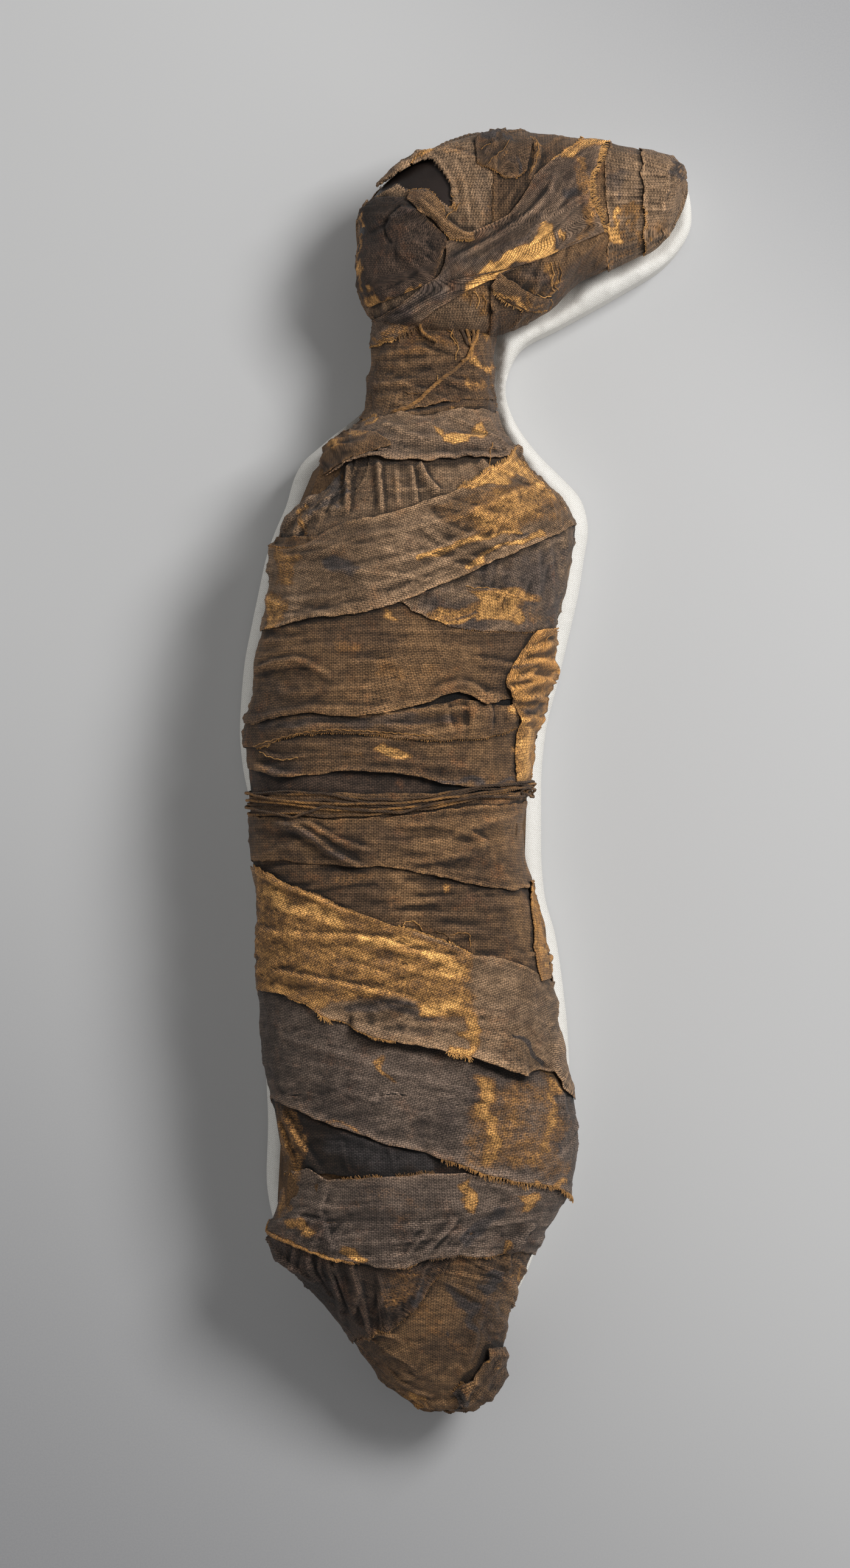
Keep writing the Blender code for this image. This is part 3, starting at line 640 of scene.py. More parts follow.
    def locate(self, spots: np.ndarray) -> tuple[np.ndarray, np.ndarray]:
        """Rows and columns of the front at points given in photograph pixels.

        Args:
            spots: The points, one in each row.

        Returns:
            A fractional row and column for each point.
        """
        sign = -1 if self.along_y else 1
        along, across = self.along(self.seen), sign * self.across(self.seen)
        wanted, aside = self.along(spots), sign * self.across(spots)
        middle = self.front // 2
        row = np.interp(wanted, along[:, middle], np.arange(self.rows))
        column = np.full(len(spots), float(middle))
        for _ in range(4):
            r0 = np.clip(row, 0, self.rows - 1.001).astype(int)
            share = (row - r0)[:, None]
            strip = across[r0, : self.front + 1] * (1 - share) + across[r0 + 1, : self.front + 1] * share
            past = np.clip((strip < aside[:, None]).sum(axis=1), 1, self.front)
            index = np.arange(len(spots))
            low, high = strip[index, past - 1], strip[index, past]
            step = np.clip((aside - low) / np.maximum(high - low, 1e-6), 0.0, 1.0)
            column = past - 1 + step
            here = self.read(along, row, column)
            rise = self.read(along, row + 1, column) - self.read(along, row - 1, column)
            row = np.clip(row + (wanted - here) / np.maximum(rise / 2, 0.5), 0, self.rows - 1)
        return row, column

    def front_inside(self, outline: np.ndarray) -> np.ndarray:
        """Where the front lies inside an outline given in photograph pixels."""
        return inside(self.seen.reshape(-1, 2), outline).reshape(self.facing.shape) & (self.facing > 0)

    def relief(self, wrap: ClothPlan) -> np.ndarray:
        """Height of a wrap's creases, puckers and folds, over the whole surface.

        Args:
            wrap: The cloth's plan.

        Returns:
            The height by row and column, in metres.
        """
        slant = math.radians(wrap.slant)
        waves = self.ripple(wrap.seed, WAVES, slant)
        fine = self.ripple(wrap.seed + 1, FINE_FOLDS, slant) - 0.4
        pucker = self.ripple(wrap.seed + 2, PUCKERS)
        where = smooth_step(self.ripple(wrap.seed + 3, FOLDED_PLACES, slant), -0.4, 1.1)
        ridges = 2.9 * crest(waves, waves, 0.75, 0.16) * where
        folds = 1.35 * crest(fine, fine, 0.8, 0.2) * (0.3 + 0.7 * where)
        height = wrap.crease * MM * (ridges + folds + 0.30 * waves)
        height += PUCKER_HEIGHT * MM * pucker
        flat = self.seen.reshape(-1, 2)
        facing = self.facing.ravel()
        total = height.ravel()
        for stroke in wrap.strokes:
            reach = stroke.width / PIXEL * MM * 4
            line = pixels(stroke.line)
            low, high = line.min(axis=0) - reach, line.max(axis=0) + reach
            near = np.flatnonzero(((flat > low) & (flat < high)).all(axis=1) & (facing > 0))
            if len(near) == 0:
                continue
            distance, signed, share = line_distance(flat[near], line)
            d = distance * PIXEL / MM / stroke.width
            side = signed * PIXEL / MM / stroke.width
            shape = crest(d, side, *((1.9, 0.45) if stroke.profile is Profile.PLEAT else (1.0, 1.0)))
            if stroke.profile is Profile.GROOVE:
                shape = -shape
            taper = smooth_step(np.minimum(share, 1 - share), -0.02, 0.16)
            total[near] += STROKE_HEIGHT * stroke.height * MM * shape * taper * facing[near]
        return total.reshape(self.rows, self.columns)

    def lay(self, cover: np.ndarray, lift: np.ndarray) -> np.ndarray:
        """Height of a cloth laid over what is there, which is then raised where it covers.

        Args:
            cover: Where the cloth lies.
            lift: Height of the cloth's own relief, in metres.

        Returns:
            The height of the cloth's upper side over the whole surface.
        """
        soft = self.blur(self.height, CLOTH_BRIDGE)
        cloth = np.maximum(soft, self.height) + SPACING + lift
        cloth = np.maximum(cloth, self.height + CLOTH + LEAST_GAP)
        self.height = np.where(cover, cloth, self.height)
        return cloth


def squared_off(share: np.ndarray) -> np.ndarray:
    """A cosine or sine made fuller, so that a section lies between an ellipse and a box."""
    return np.sign(share) * np.abs(share) ** SECTION_POWER


def ring_columns(
    first: np.ndarray, second: np.ndarray, columns: tuple[int, int]
) -> tuple[np.ndarray, np.ndarray]:
    """Even steps round a rounded section.

    Args:
        first: Half sizes of the sections one way.
        second: Half sizes of the sections the other way.
        columns: Steps over the front and over the back.

    Returns:
        Shares of both half sizes, by row and column.
    """
    fine = np.linspace(0.0, math.pi, 257)
    across, up = squared_off(np.cos(fine)), squared_off(np.sin(fine))
    front, back = columns
    angles = []
    for one, two in zip(first, second):
        length = added_up(np.hypot(np.diff(across * one), np.diff(up * two)))
        top = np.interp(np.linspace(0, length[-1], front + 1), length, fine)
        low = np.interp(np.linspace(0, length[-1], back + 1), length, fine)[1:-1] + math.pi
        angles.append(np.concatenate((top, low)))
    return squared_off(np.cos(angles)), squared_off(np.sin(angles))


def section_rows(sections: tuple, tips: tuple[float, float]) -> np.ndarray:
    """Fine sections along a form, rounded off at both ends.

    Args:
        sections: The form's sections in mm: place, two sides, thickness and underside.
        tips: Where the form starts and where it ends, in mm.

    Returns:
        Rows of place, two sides, thickness and underside, in metres.
    """
    table = np.array(sections, float) * MM
    widths = table[:, 2] - table[:, 1]
    steps = np.hypot(np.diff(table[:, 0]), np.diff(widths) / 2)
    knots = added_up(steps)
    at = np.linspace(0.0, knots[-1], int(knots[-1] / CHART_STEP) + 1)
    rows = smooth_curve(knots, table, at)
    caps = []
    for row, tip in ((rows[0], tips[0] * MM), (rows[-1], tips[1] * MM)):
        reach = max(abs(row[2] - row[1]) / 2, row[3] / 2)
        count = int(reach / CHART_STEP) + 2
        turn = np.linspace(0.0, math.pi / 2, count + 1)[1:]
        cap = np.tile(row, (count, 1))
        middle = (row[1] + row[2]) / 2
        shrink = np.maximum(np.cos(turn), 1e-4)
        cap[:, 0] = row[0] + (tip - row[0]) * np.sin(turn)
        cap[:, 1] = middle + (row[1] - middle) * shrink
        cap[:, 2] = middle + (row[2] - middle) * shrink
        cap[:, 3] = row[3] * shrink
        cap[:, 4] = row[4] + row[3] * (1 - shrink) / 2
        caps.append(cap)
    return np.concatenate((caps[0][::-1], rows, caps[1]))


def form_points(
    view: PhotoView, sections: tuple, tips: tuple[float, float], columns: tuple[int, int], along_y: bool
) -> np.ndarray:
    """Points of a form whose sections stand along Y or along X.

    Args:
        view: The camera's view.
        sections: Place, two sides, thickness and underside of each section, in mm.
        tips: Where the form starts and where it ends, in mm.
        columns: Steps over the front and over the back.
        along_y: True where the sections stand along Y, and False where they stand along X.

    Returns:
        The points by row and column, in metres.
    """
    rows = section_rows(sections, tips)
    middle = (rows[:, 1] + rows[:, 2]) / 2
    half, half_thick = np.abs(rows[:, 2] - rows[:, 1]) / 2, rows[:, 3] / 2
    across, up = ring_columns(half, half_thick, columns)
    side, run = (0, 1) if along_y else (1, 0)
    points = np.zeros((*across.shape, 3))
    points[..., side] = (view.middle[side] + middle)[:, None] + half[:, None] * across
    points[..., run] = (view.middle[run] + rows[:, 0])[:, None]
    points[..., 2] = (rows[:, 4] + half_thick)[:, None] + half_thick[:, None] * up
    return points


def body_form(view: PhotoView) -> Form:
    """The wrapped surface from the neck to the foot end.

    Args:
        view: The camera's view.

    Returns:
        The body.
    """
    sections = tuple((*section, BED_HEIGHT / MM) for section in BODY_SECTIONS)
    points = form_points(view, sections, (NECK_TIP, FOOT_TIP), BODY_COLUMNS, True)
    return Form(view, points, BODY_COLUMNS[0], True, BODY_SEED)


def head_form(view: PhotoView) -> Form:
    """The wrapped surface of the head.

    Args:
        view: The camera's view.

    Returns:
        The head.
    """
    points = form_points(view, HEAD_SECTIONS, (NAPE_TIP, NOSE_TIP), HEAD_COLUMNS, False)
    return Form(view, points, HEAD_COLUMNS[0], False, HEAD_SEED)


class Shader:
    """A material under construction, with short ways to add its nodes."""

    def __init__(self, name: str) -> None:
        """Start a material with a Principled shader.

        Args:
            name: Name of the material.
        """
        self.material = bpy.data.materials.new(name)
        self.material.use_nodes = True
        self.nodes = self.material.node_tree.nodes
        self.links = self.material.node_tree.links
        self.principled = self.nodes["Principled BSDF"]

    def put(self, socket: bpy.types.NodeSocket, value: object) -> None:
        """Link a socket to another, or set it to a tone or a plain value.

        Args:
            socket: The socket to fill.
            value: A socket, a tone or a plain value.
        """
        if isinstance(value, bpy.types.NodeSocket):
            self.links.new(value, socket)
        else:
            socket.default_value = value.linear if isinstance(value, Tone) else value

    def math(self, operation: str, *values: object, clamp: bool = False) -> bpy.types.NodeSocket:
        """The result of a Math node.

        Args:
            operation: What the node works out.
            values: Sockets or numbers.
            clamp: True to keep the result between 0 and 1.

        Returns:
            The socket of the result.
        """
        node = self.nodes.new("ShaderNodeMath")
        node.operation = operation
        node.use_clamp = clamp
        for socket, value in zip(node.inputs, values):
            self.put(socket, value)
        return node.outputs[0]

    def mix(self, share: object, first: object, second: object, blend: str = "MIX") -> bpy.types.NodeSocket:
        """Two colours mixed by a share.

        Args:
            share: The share of the second colour.
            first: The first colour.
            second: The second colour.
            blend: How they mix.

        Returns:
            The socket of the result.
        """
        node = self.nodes.new("ShaderNodeMix")
        node.data_type = "RGBA"
        node.blend_type = blend
        for socket, value in ((node.inputs[0], share), (node.inputs[6], first), (node.inputs[7], second)):
            self.put(socket, value)
        return node.outputs[2]

    def steps(self, value: object, low: float, high: float, start: float = 0.0, end: float = 1.0) -> object:
        """A value turned smoothly from one range to another.

        Args:
            value: The value.
            low: Where its range starts.
            high: Where its range ends.
            start: Result at the start.
            end: Result at the end.

        Returns:
            The socket of the result.
        """
        node = self.nodes.new("ShaderNodeMapRange")
        node.interpolation_type = "SMOOTHSTEP"
        for socket, given in zip(node.inputs, (value, low, high, start, end)):
            self.put(socket, given)
        return node.outputs[0]

    def noise(self, place: object, scale: float, detail: float = 2.0, rough: float = 0.5) -> object:
        """A noise texture at a place.

        Args:
            place: Coordinates of the noise.
            scale: How fine it is.
            detail: Number of finer layers.
            rough: Strength of the finer layers.

        Returns:
            The socket of the result.
        """
        node = self.nodes.new("ShaderNodeTexNoise")
        self.put(node.inputs["Vector"], place)
        node.inputs["Scale"].default_value = scale
        node.inputs["Detail"].default_value = detail
        node.inputs["Roughness"].default_value = rough
        return node.outputs["Fac"]

    def object_place(self, shift: float = 0.0) -> bpy.types.NodeSocket:
        """Object coordinates, moved by a shift so that finishes differ.

        Args:
            shift: How far the pattern is moved.

        Returns:
            The socket of the result.
        """
        source = self.nodes.new("ShaderNodeTexCoord").outputs["Object"]
        move = self.nodes.new("ShaderNodeVectorMath")
        move.operation = "ADD"
        self.put(move.inputs[0], source)
        move.inputs[1].default_value = (shift, shift * 0.7, shift * 0.3)
        return move.outputs[0]

    def attribute(self, name: str) -> bpy.types.NodeSocket:
        """The value of a named attribute of the mesh.

        Args:
            name: Name of the attribute.

        Returns:
            The socket of the result.
        """
        node = self.nodes.new("ShaderNodeAttribute")
        node.attribute_name = name
        return node.outputs["Fac"]

    def weave_place(self) -> tuple[bpy.types.NodeSocket, bpy.types.NodeSocket, bpy.types.NodeSocket]:
        """The cloth's own coordinates in metres, and their two parts.

        Returns:
            Sockets of both together, of the one along and of the one across.
        """
        place = self.nodes.new("ShaderNodeUVMap")
        place.uv_map = "weave"
        parts = self.nodes.new("ShaderNodeSeparateXYZ")
        self.put(parts.inputs[0], place.outputs[0])
        return place.outputs[0], parts.outputs[0], parts.outputs[1]

    def vector(self, x: object, y: object, z: object = 0.0) -> bpy.types.NodeSocket:
        """A vector from its three parts.

        Args:
            x: The first part.
            y: The second part.
            z: The third part.

        Returns:
            The socket of the result.
        """
        node = self.nodes.new("ShaderNodeCombineXYZ")
        for socket, value in zip(node.inputs, (x, y, z)):
            self.put(socket, value)
        return node.outputs[0]

    def threads(self, along: float, across: float, wander: float) -> tuple[object, object]:
        """A plain weave whose threads across it show as rows of short dashes.

        Args:
            along: Repeat along the strip, of two warp threads, in metres.
            across: Repeat across the strip, of two rows, in metres.
            wander: How far the threads wander, in metres.

        Returns:
            Sockets of the height of the threads, and how light each short length of thread is.
        """
        place, u, v = self.weave_place()
        sway = self.math("MULTIPLY_ADD", self.noise(place, 90.0, 2.0, 0.6), wander * 4, -wander * 2)
        warp = self.math("SINE", self.math("MULTIPLY", self.math("ADD", u, sway), 2 * math.pi / along))
        weft = self.math("SINE", self.math("MULTIPLY", self.math("SUBTRACT", v, sway), 2 * math.pi / across))
        cross = self.math("MULTIPLY", warp, weft)
        flat = self.math("ABSOLUTE", weft)
        rows = self.math("MULTIPLY_ADD", cross, 0.9, self.math("MULTIPLY", flat, 0.66))
        rows = self.math("MINIMUM", rows, flat)
        posts = self.math("MULTIPLY", self.math("SUBTRACT", self.math("ABSOLUTE", warp), cross), 0.34)
        height = self.math("MAXIMUM", rows, posts)
        cell = self.vector(self.math("MULTIPLY", u, 1.5 / along), self.math("MULTIPLY", v, 2.0 / across))
        return height, self.steps(self.noise(cell, 1.0, 2.0, 0.7), 0.30, 0.70)

    def bump(self, height: object, strength: float, distance: float) -> None:
        """Give the shader a bump.

        Args:
            height: The height.
            strength: How strong it looks.
            distance: How far it stands out, in metres.
        """
        node = self.nodes.new("ShaderNodeBump")
        node.inputs["Strength"].default_value = strength
        node.inputs["Distance"].default_value = distance
        self.put(node.inputs["Height"], height)
        self.put(self.principled.inputs["Normal"], node.outputs[0])

    def finish(self, colour: object, roughness: object, sheen: float = 0.0) -> bpy.types.Material:
        """Set the shader's colour and gloss, and give the material.

        Args:
            colour: The colour.
            roughness: The roughness.
            sheen: The weight of sheen.

        Returns:
            The material.
        """
        self.put(self.principled.inputs["Base Color"], colour)
        self.put(self.principled.inputs["Roughness"], roughness)
        self.principled.inputs["Sheen Weight"].default_value = sheen
        self.principled.inputs["Sheen Roughness"].default_value = 0.6
        self.principled.inputs["Specular IOR Level"].default_value = 0.25
        return self.material


@dataclass(frozen=True)
class LinenFinish:
    """Aged linen: woven threads, clouds of resin and dirt, golden patches and worn edges,
    with painted shade between threads and in hollows, and painted highlights on thread tops and crests.
    """

    weave: Weave

    def make(self) -> bpy.types.Material:
        """The material of this linen.

        Returns:
            The material.
        """
        weave = self.weave
        shader = Shader(weave.name)
        over, dash = shader.threads(3.0 * MM, 2.0 * MM, 0.06 * MM)
        place = shader.object_place(weave.seed)
        broad = shader.noise(place, 19.0, 7.0, 0.66)
        cloud = shader.noise(place, 62.0, 6.0, 0.72)
        mottle = shader.noise(place, 170.0, 4.0, 0.7)
        speckle = shader.noise(place, 420.0, 3.0, 0.75)
        base = shader.mix(shader.steps(broad, 0.40, 0.60), weave.tone, weave.deep)
        base = shader.mix(shader.steps(cloud, 0.52, 0.70, 0.0, weave.rust), base, Tone.RUST)
        ragged = shader.math("MULTIPLY_ADD", cloud, 1.3, -0.65)
        # Dark stains turn the colour grey: partly real stains, partly painted shade in grooves and slits
        dark_stain_and_shade_value = shader.math("ADD", shader.attribute("dark"), ragged)
        base = shader.mix(shader.steps(dark_stain_and_shade_value, 0.15, 0.95, 0.0, 0.85), base, Tone.STAIN_AND_SHADE_GREY)
        torn = shader.math("MULTIPLY_ADD", speckle, 0.6, shader.math("MULTIPLY_ADD", dash, 0.16, -0.38))
        gold_value = shader.math("ADD", shader.attribute("ochre"), ragged)
        gold_value = shader.math("ADD", shader.math("ADD", gold_value, weave.gold_share), torn)
        gold_tone = shader.mix(shader.steps(gold_value, 0.45, 1.35), Tone.TAN, Tone.GOLD)
        base = shader.mix(shader.steps(gold_value, 0.12, 0.78), base, gold_tone)
        worn = shader.math("MULTIPLY", shader.attribute("edge"), shader.steps(speckle, 0.35, 0.6))
        base = shader.mix(worn, base, Tone.OCHRE)
        height = shader.math("MULTIPLY_ADD", speckle, 0.55, shader.math("MULTIPLY_ADD", dash, 0.30, -0.42))
        height = shader.math("ADD", over, height)
        # Painted shade in the gaps between the threads and a painted highlight on their tops
        shade = shader.steps(height, 0.04, 0.90, 1.0 - weave.contrast, 1.0 + weave.contrast)
        shade = shader.math("MULTIPLY", shade, shader.steps(mottle, 0.32, 0.68, 0.72, 1.22))
        _, u, v = shader.weave_place()
        drawn_out = shader.vector(shader.math("MULTIPLY", u, 26.0), shader.math("MULTIPLY", v, 420.0))
        run = shader.noise(drawn_out, 1.0, 3.0)
        shade = shader.math("MULTIPLY", shade, shader.steps(run, 0.34, 0.66, 0.76, 1.18))
        # Painted shade in the cloth's hollows and a painted highlight on its crests
        relief = shader.attribute("relief")
        hollow = shader.steps(relief, -1.0, 0.12, 0.20, 1.0)
        crest = shader.steps(relief, 0.05, 1.2, 1.0, 1.42)
        shade = shader.math("MULTIPLY", shader.math("MULTIPLY", shade, hollow), crest)
        # The colour carries the painted shade and highlights, besides the random mottle and streaks
        woven = shader.mix(1.0, base, shade, "MULTIPLY")
        shader.bump(height, 0.8, 0.4 * MM)
        return shader.finish(woven, shader.steps(height, 0.0, 1.0, 0.96, 0.78), 0.06)


@dataclass(frozen=True)
class ThreadFinish:
    """Loose or twisted linen threads, lighter or darker by their own attribute."""

    name: str
    scale: float = 420.0

    def make(self) -> bpy.types.Material:
        """The material of the threads.

        Returns:
            The material.
        """
        shader = Shader(self.name)
        place = shader.object_place(5.0)
        speckle = shader.noise(place, self.scale, 3.0, 0.65)
        broad = shader.noise(place, 40.0, 2.0)
        bright = shader.math("ADD", shader.attribute("bright"), -0.45)
        bright = shader.math("MULTIPLY_ADD", broad, 0.9, bright)
        tone = shader.mix(shader.steps(bright, 0.0, 0.5), Tone.UMBER, Tone.OCHRE)
        tone = shader.mix(shader.steps(bright, 0.5, 1.0), tone, Tone.GOLD)
        tone = shader.mix(shader.steps(speckle, 0.62, 0.32, 0.0, 0.7), tone, Tone.GAP)
        shader.bump(speckle, 0.6, 0.3 * MM)
        return shader.finish(tone, 0.88, 0.1)


@dataclass(frozen=True)
class SkinFinish:
    """Smooth, dark dried skin with a faint gloss."""

    name: str = "dried_skin"

    def make(self) -> bpy.types.Material:
        """The material of the dried head.

        Returns:
            The material.
        """
        shader = Shader(self.name)
        place = shader.object_place()
        broad = shader.noise(place, 30.0, 3.0)
        fine = shader.noise(place, 700.0, 3.0, 0.6)
        tone = shader.mix(shader.steps(broad, 0.35, 0.7), Tone.SKIN, (0.026, 0.018, 0.015, 1.0))
        tone = shader.mix(shader.steps(fine, 0.62, 0.80, 0.0, 0.5), tone, Tone.UMBER)
        shader.bump(shader.math("MULTIPLY_ADD", fine, 0.3, broad), 0.35, 0.6 * MM)
        return shader.finish(tone, shader.steps(fine, 0.3, 0.7, 0.46, 0.62))


@dataclass(frozen=True)
class PackingFinish:
    """Plain folded linen of the wads of packing."""

    name: str = "packing_linen"

    def make(self) -> bpy.types.Material:
        """The material of the packing.

        Returns:
            The material.
        """
        shader = Shader(self.name)
        place = shader.object_place(8.0)
        cloud = shader.noise(place, 40.0, 4.0, 0.6)
        fine = shader.noise(place, 900.0, 2.0, 0.6)
        tone = shader.mix(shader.steps(cloud, 0.35, 0.65), Tone.BROWN, Tone.UMBER)
        tone = shader.mix(shader.steps(fine, 0.35, 0.6, 0.6, 0.0), tone, Tone.GAP)
        shader.bump(fine, 0.7, 0.4 * MM)
        return shader.finish(tone, 0.92)


@dataclass(frozen=True)
class CoverFinish:
    """The fine off-white linen of the support's cover, with painted shade between its threads and deeper in
    its hollow.
    """

    name: str = "cover_linen"

    def make(self) -> bpy.types.Material:
        """The material of the cover.

        Returns:
            The material.
        """
        shader = Shader(self.name)
        over, dash = shader.threads(2.0 * MM, 2.0 * MM, 0.05 * MM)
        place = shader.object_place()
        cloud = shader.noise(place, 12.0, 2.0)
        fuzz = shader.noise(place, 900.0, 2.0, 0.7)
        height = shader.math("MULTIPLY_ADD", over, 0.8, shader.math("MULTIPLY_ADD", dash, 0.25, -0.12))
        height = shader.math("MULTIPLY_ADD", fuzz, 0.4, shader.math("ADD", height, -0.2))
        # Painted shade in the gaps between the threads
        tone = shader.mix(shader.steps(height, 0.05, 0.6), Tone.WHITE_GAP, Tone.WHITE)
        tone = shader.mix(shader.steps(cloud, 0.45, 0.7, 0.0, 0.15), tone, Tone.PAPER)
        # Painted shade, greyer where the cover lies lower than its rim
        hollow = shader.steps(shader.attribute("relief"), -1.0, 0.0, 0.35, 0.0)
        tone = shader.mix(hollow, tone, Tone.PAPER)
        shader.bump(height, 0.5, 0.35 * MM)
        return shader.finish(tone, 0.9, 0.1)


@dataclass(frozen=True)
class BoardFinish:
    """The stiff board and foam inside the support."""

    name: str
    tone: Tone
    grain: float

    def make(self) -> bpy.types.Material:
        """The material of the board or the foam.

        Returns:
            The material.
        """
        shader = Shader(self.name)
        place = shader.object_place()
        fibre = shader.noise(place, self.grain, 4.0, 0.7)
        cloud = shader.noise(place, 20.0, 2.0)
        tone = shader.mix(shader.steps(fibre, 0.35, 0.65), self.tone, Tone.WHITE_GAP)
        tone = shader.mix(shader.steps(cloud, 0.4, 0.7, 0.0, 0.3), tone, Tone.WHITE)
        shader.bump(fibre, 0.4, 0.3 * MM)
        return shader.finish(tone, 0.9)


def floor_finish() -> bpy.types.Material:
    """The pale grey paper that the object lies on, with painted shade that darkens it towards the lower left
    and the upper right.

    Returns:
        The material.
    """
    shader = Shader("floor_paper")
    place = shader.object_place()
    fibre = shader.noise(place, 900.0, 2.0)
    parts = shader.nodes.new("ShaderNodeSeparateXYZ")
    shader.put(parts.inputs[0], place)
    # Painted shade, darker towards the lower left and towards the upper right
    down = shader.math("MULTIPLY", parts.outputs[1], -1.0)
    down = shader.math("MULTIPLY_ADD", parts.outputs[0], -0.75, down)
    tone = shader.mix(shader.steps(down, 0.05, 0.85), Tone.FLOOR, Tone.FLOOR_SHADE)
    corner = shader.math("MULTIPLY_ADD", parts.outputs[0], 1.0, parts.outputs[1])
    tone = shader.mix(shader.steps(corner, 0.35, 0.8, 0.0, 0.8), tone, Tone.FLOOR_SHADE)
    tone = shader.mix(shader.steps(fibre, 0.3, 0.7, 0.0, 0.06), tone, Tone.WHITE_GAP)
    return shader.finish(tone, 0.95)


class Tree:
    """A Geometry Nodes tree under construction, with named inputs."""

    def __init__(self, name: str, sizes: tuple[str, ...], count: str) -> None:
        """Start a tree that turns a path into geometry.

        Args:
            name: Name of the tree.
            sizes: Names of its inputs that are plain numbers.
            count: Name of its input that is a whole number.
        """
        self.tree = bpy.data.node_groups.new(name, "GeometryNodeTree")
        self.tree.interface.new_socket("Geometry", in_out="INPUT", socket_type="NodeSocketGeometry")
        self.tree.interface.new_socket("Geometry", in_out="OUTPUT", socket_type="NodeSocketGeometry")
        kinds = {**dict.fromkeys(sizes, "Float"), count: "Int", "Material": "Material"}
        self.names: dict[str, str] = {}
        for key, kind in kinds.items():
            socket = self.tree.interface.new_socket(key, in_out="INPUT", socket_type="NodeSocket" + kind)
            self.names[key] = socket.identifier
        self.start = self.tree.nodes.new("NodeGroupInput")

    def given(self, name: str) -> bpy.types.NodeSocket:
        """The socket of a named input."""
        return self.start.outputs[name]

    def add(self, kind: str, inputs: dict | None = None, **settings: str) -> bpy.types.Node:
        """A node with some settings and inputs, each a socket or a plain value.

        Args:
            kind: The node's type.
            inputs: Values by socket name or number.
            settings: The node's own settings.

        Returns:
            The node.
        """
        node = self.tree.nodes.new(kind)
        for key, setting in settings.items():
            setattr(node, key, setting)
        for key, value in (inputs or {}).items():
            if isinstance(value, bpy.types.NodeSocket):
                self.tree.links.new(value, node.inputs[key])
            else:
                node.inputs[key].default_value = value
        return node

    def math(self, operation: str, first: object, second: object) -> bpy.types.NodeSocket:
        """The result of a Math node."""
        return self.add("ShaderNodeMath", {0: first, 1: second}, operation=operation).outputs[0]

    def random(self, low: object, high: object, seed: object) -> bpy.types.NodeSocket:
        """A random number for each point, between two values."""
        node = self.add("FunctionNodeRandomValue", {2: low, 3: high, "Seed": seed}, data_type="FLOAT")
        return node.outputs[1]

    def attribute(self, name: str, kind: str) -> bpy.types.NodeSocket:
        """A named attribute of the geometry."""
        return self.add("GeometryNodeInputNamedAttribute", {"Name": name}, data_type=kind).outputs[0]

    def turned(self, rotation: object, axis: tuple[float, ...], angle: object) -> bpy.types.NodeSocket:
        """A rotation turned further about an axis of its own.

        Args:
            rotation: The rotation.
            axis: The axis.
            angle: The angle, in radians.

        Returns:
            The socket of the result.
        """
        turn = self.add("FunctionNodeAxisAngleToRotation", {"Axis": axis, "Angle": angle})
        both = {0: rotation, 1: turn.outputs[0]}
        return self.add("FunctionNodeRotateRotation", both, rotation_space="LOCAL").outputs[0]

    def even_path(self, step: str) -> bpy.types.NodeSocket:
        """The given lines as curves, with points at even steps.

        Args:
            step: Name of the input that holds the step.

        Returns:
            The socket of the curves.
        """
        path = self.add("GeometryNodeMeshToCurve", {0: self.given("Geometry")})
        sizes = {0: path.outputs[0], "Length": self.given(step)}
        return self.add("GeometryNodeResampleCurve", sizes, mode="LENGTH").outputs[0]

    def tube(self, path: bpy.types.NodeSocket, sides: int, radius: str) -> None:
        """End the tree with a closed tube along a path.

        Args:
            path: The path.
            sides: Number of sides.
            radius: Name of the input that holds the radius.
        """
        sizes = {"Resolution": sides, "Radius": self.given(radius)}
        ring = self.add("GeometryNodeCurvePrimitiveCircle", sizes)
        inputs = {0: path, "Profile Curve": ring.outputs[0], "Fill Caps": True}
        self.close(self.add("GeometryNodeCurveToMesh", inputs).outputs[0])

    def close(self, geometry: bpy.types.NodeSocket) -> None:
        """End the tree with real geometry in the given material.

        Args:
            geometry: What the tree has made.
        """
        smooth = self.add("GeometryNodeSetShadeSmooth", {0: geometry})
        real = self.add("GeometryNodeRealizeInstances", {0: smooth.outputs[0]})
        dressed = self.add("GeometryNodeSetMaterial",
                           {0: real.outputs[0], "Material": self.given("Material")})
        out = self.tree.nodes.new("NodeGroupOutput")
        self.tree.links.new(dressed.outputs[0], out.inputs[0])

    def run(self, piece: bpy.types.Object, values: dict) -> None:
        """Apply the tree to a piece, which becomes a plain mesh.

        Args:
            piece: A piece of lines.
            values: The tree's inputs by name.
        """
        modifier = piece.modifiers.new(self.tree.name, "NODES")
        modifier.node_group = self.tree
        for name, value in values.items():
            modifier[self.names[name]] = value
        made_plain(piece)


def made_plain(piece: bpy.types.Object) -> None:
    """Turn a piece's modifiers into plain mesh.

    Args:
        piece: A piece with modifiers.
    """
    bpy.context.view_layer.update()
    evaluated = piece.evaluated_get(bpy.context.evaluated_depsgraph_get())
    mesh = bpy.data.meshes.new_from_object(evaluated)
    piece.modifiers.clear()
    piece.data = mesh


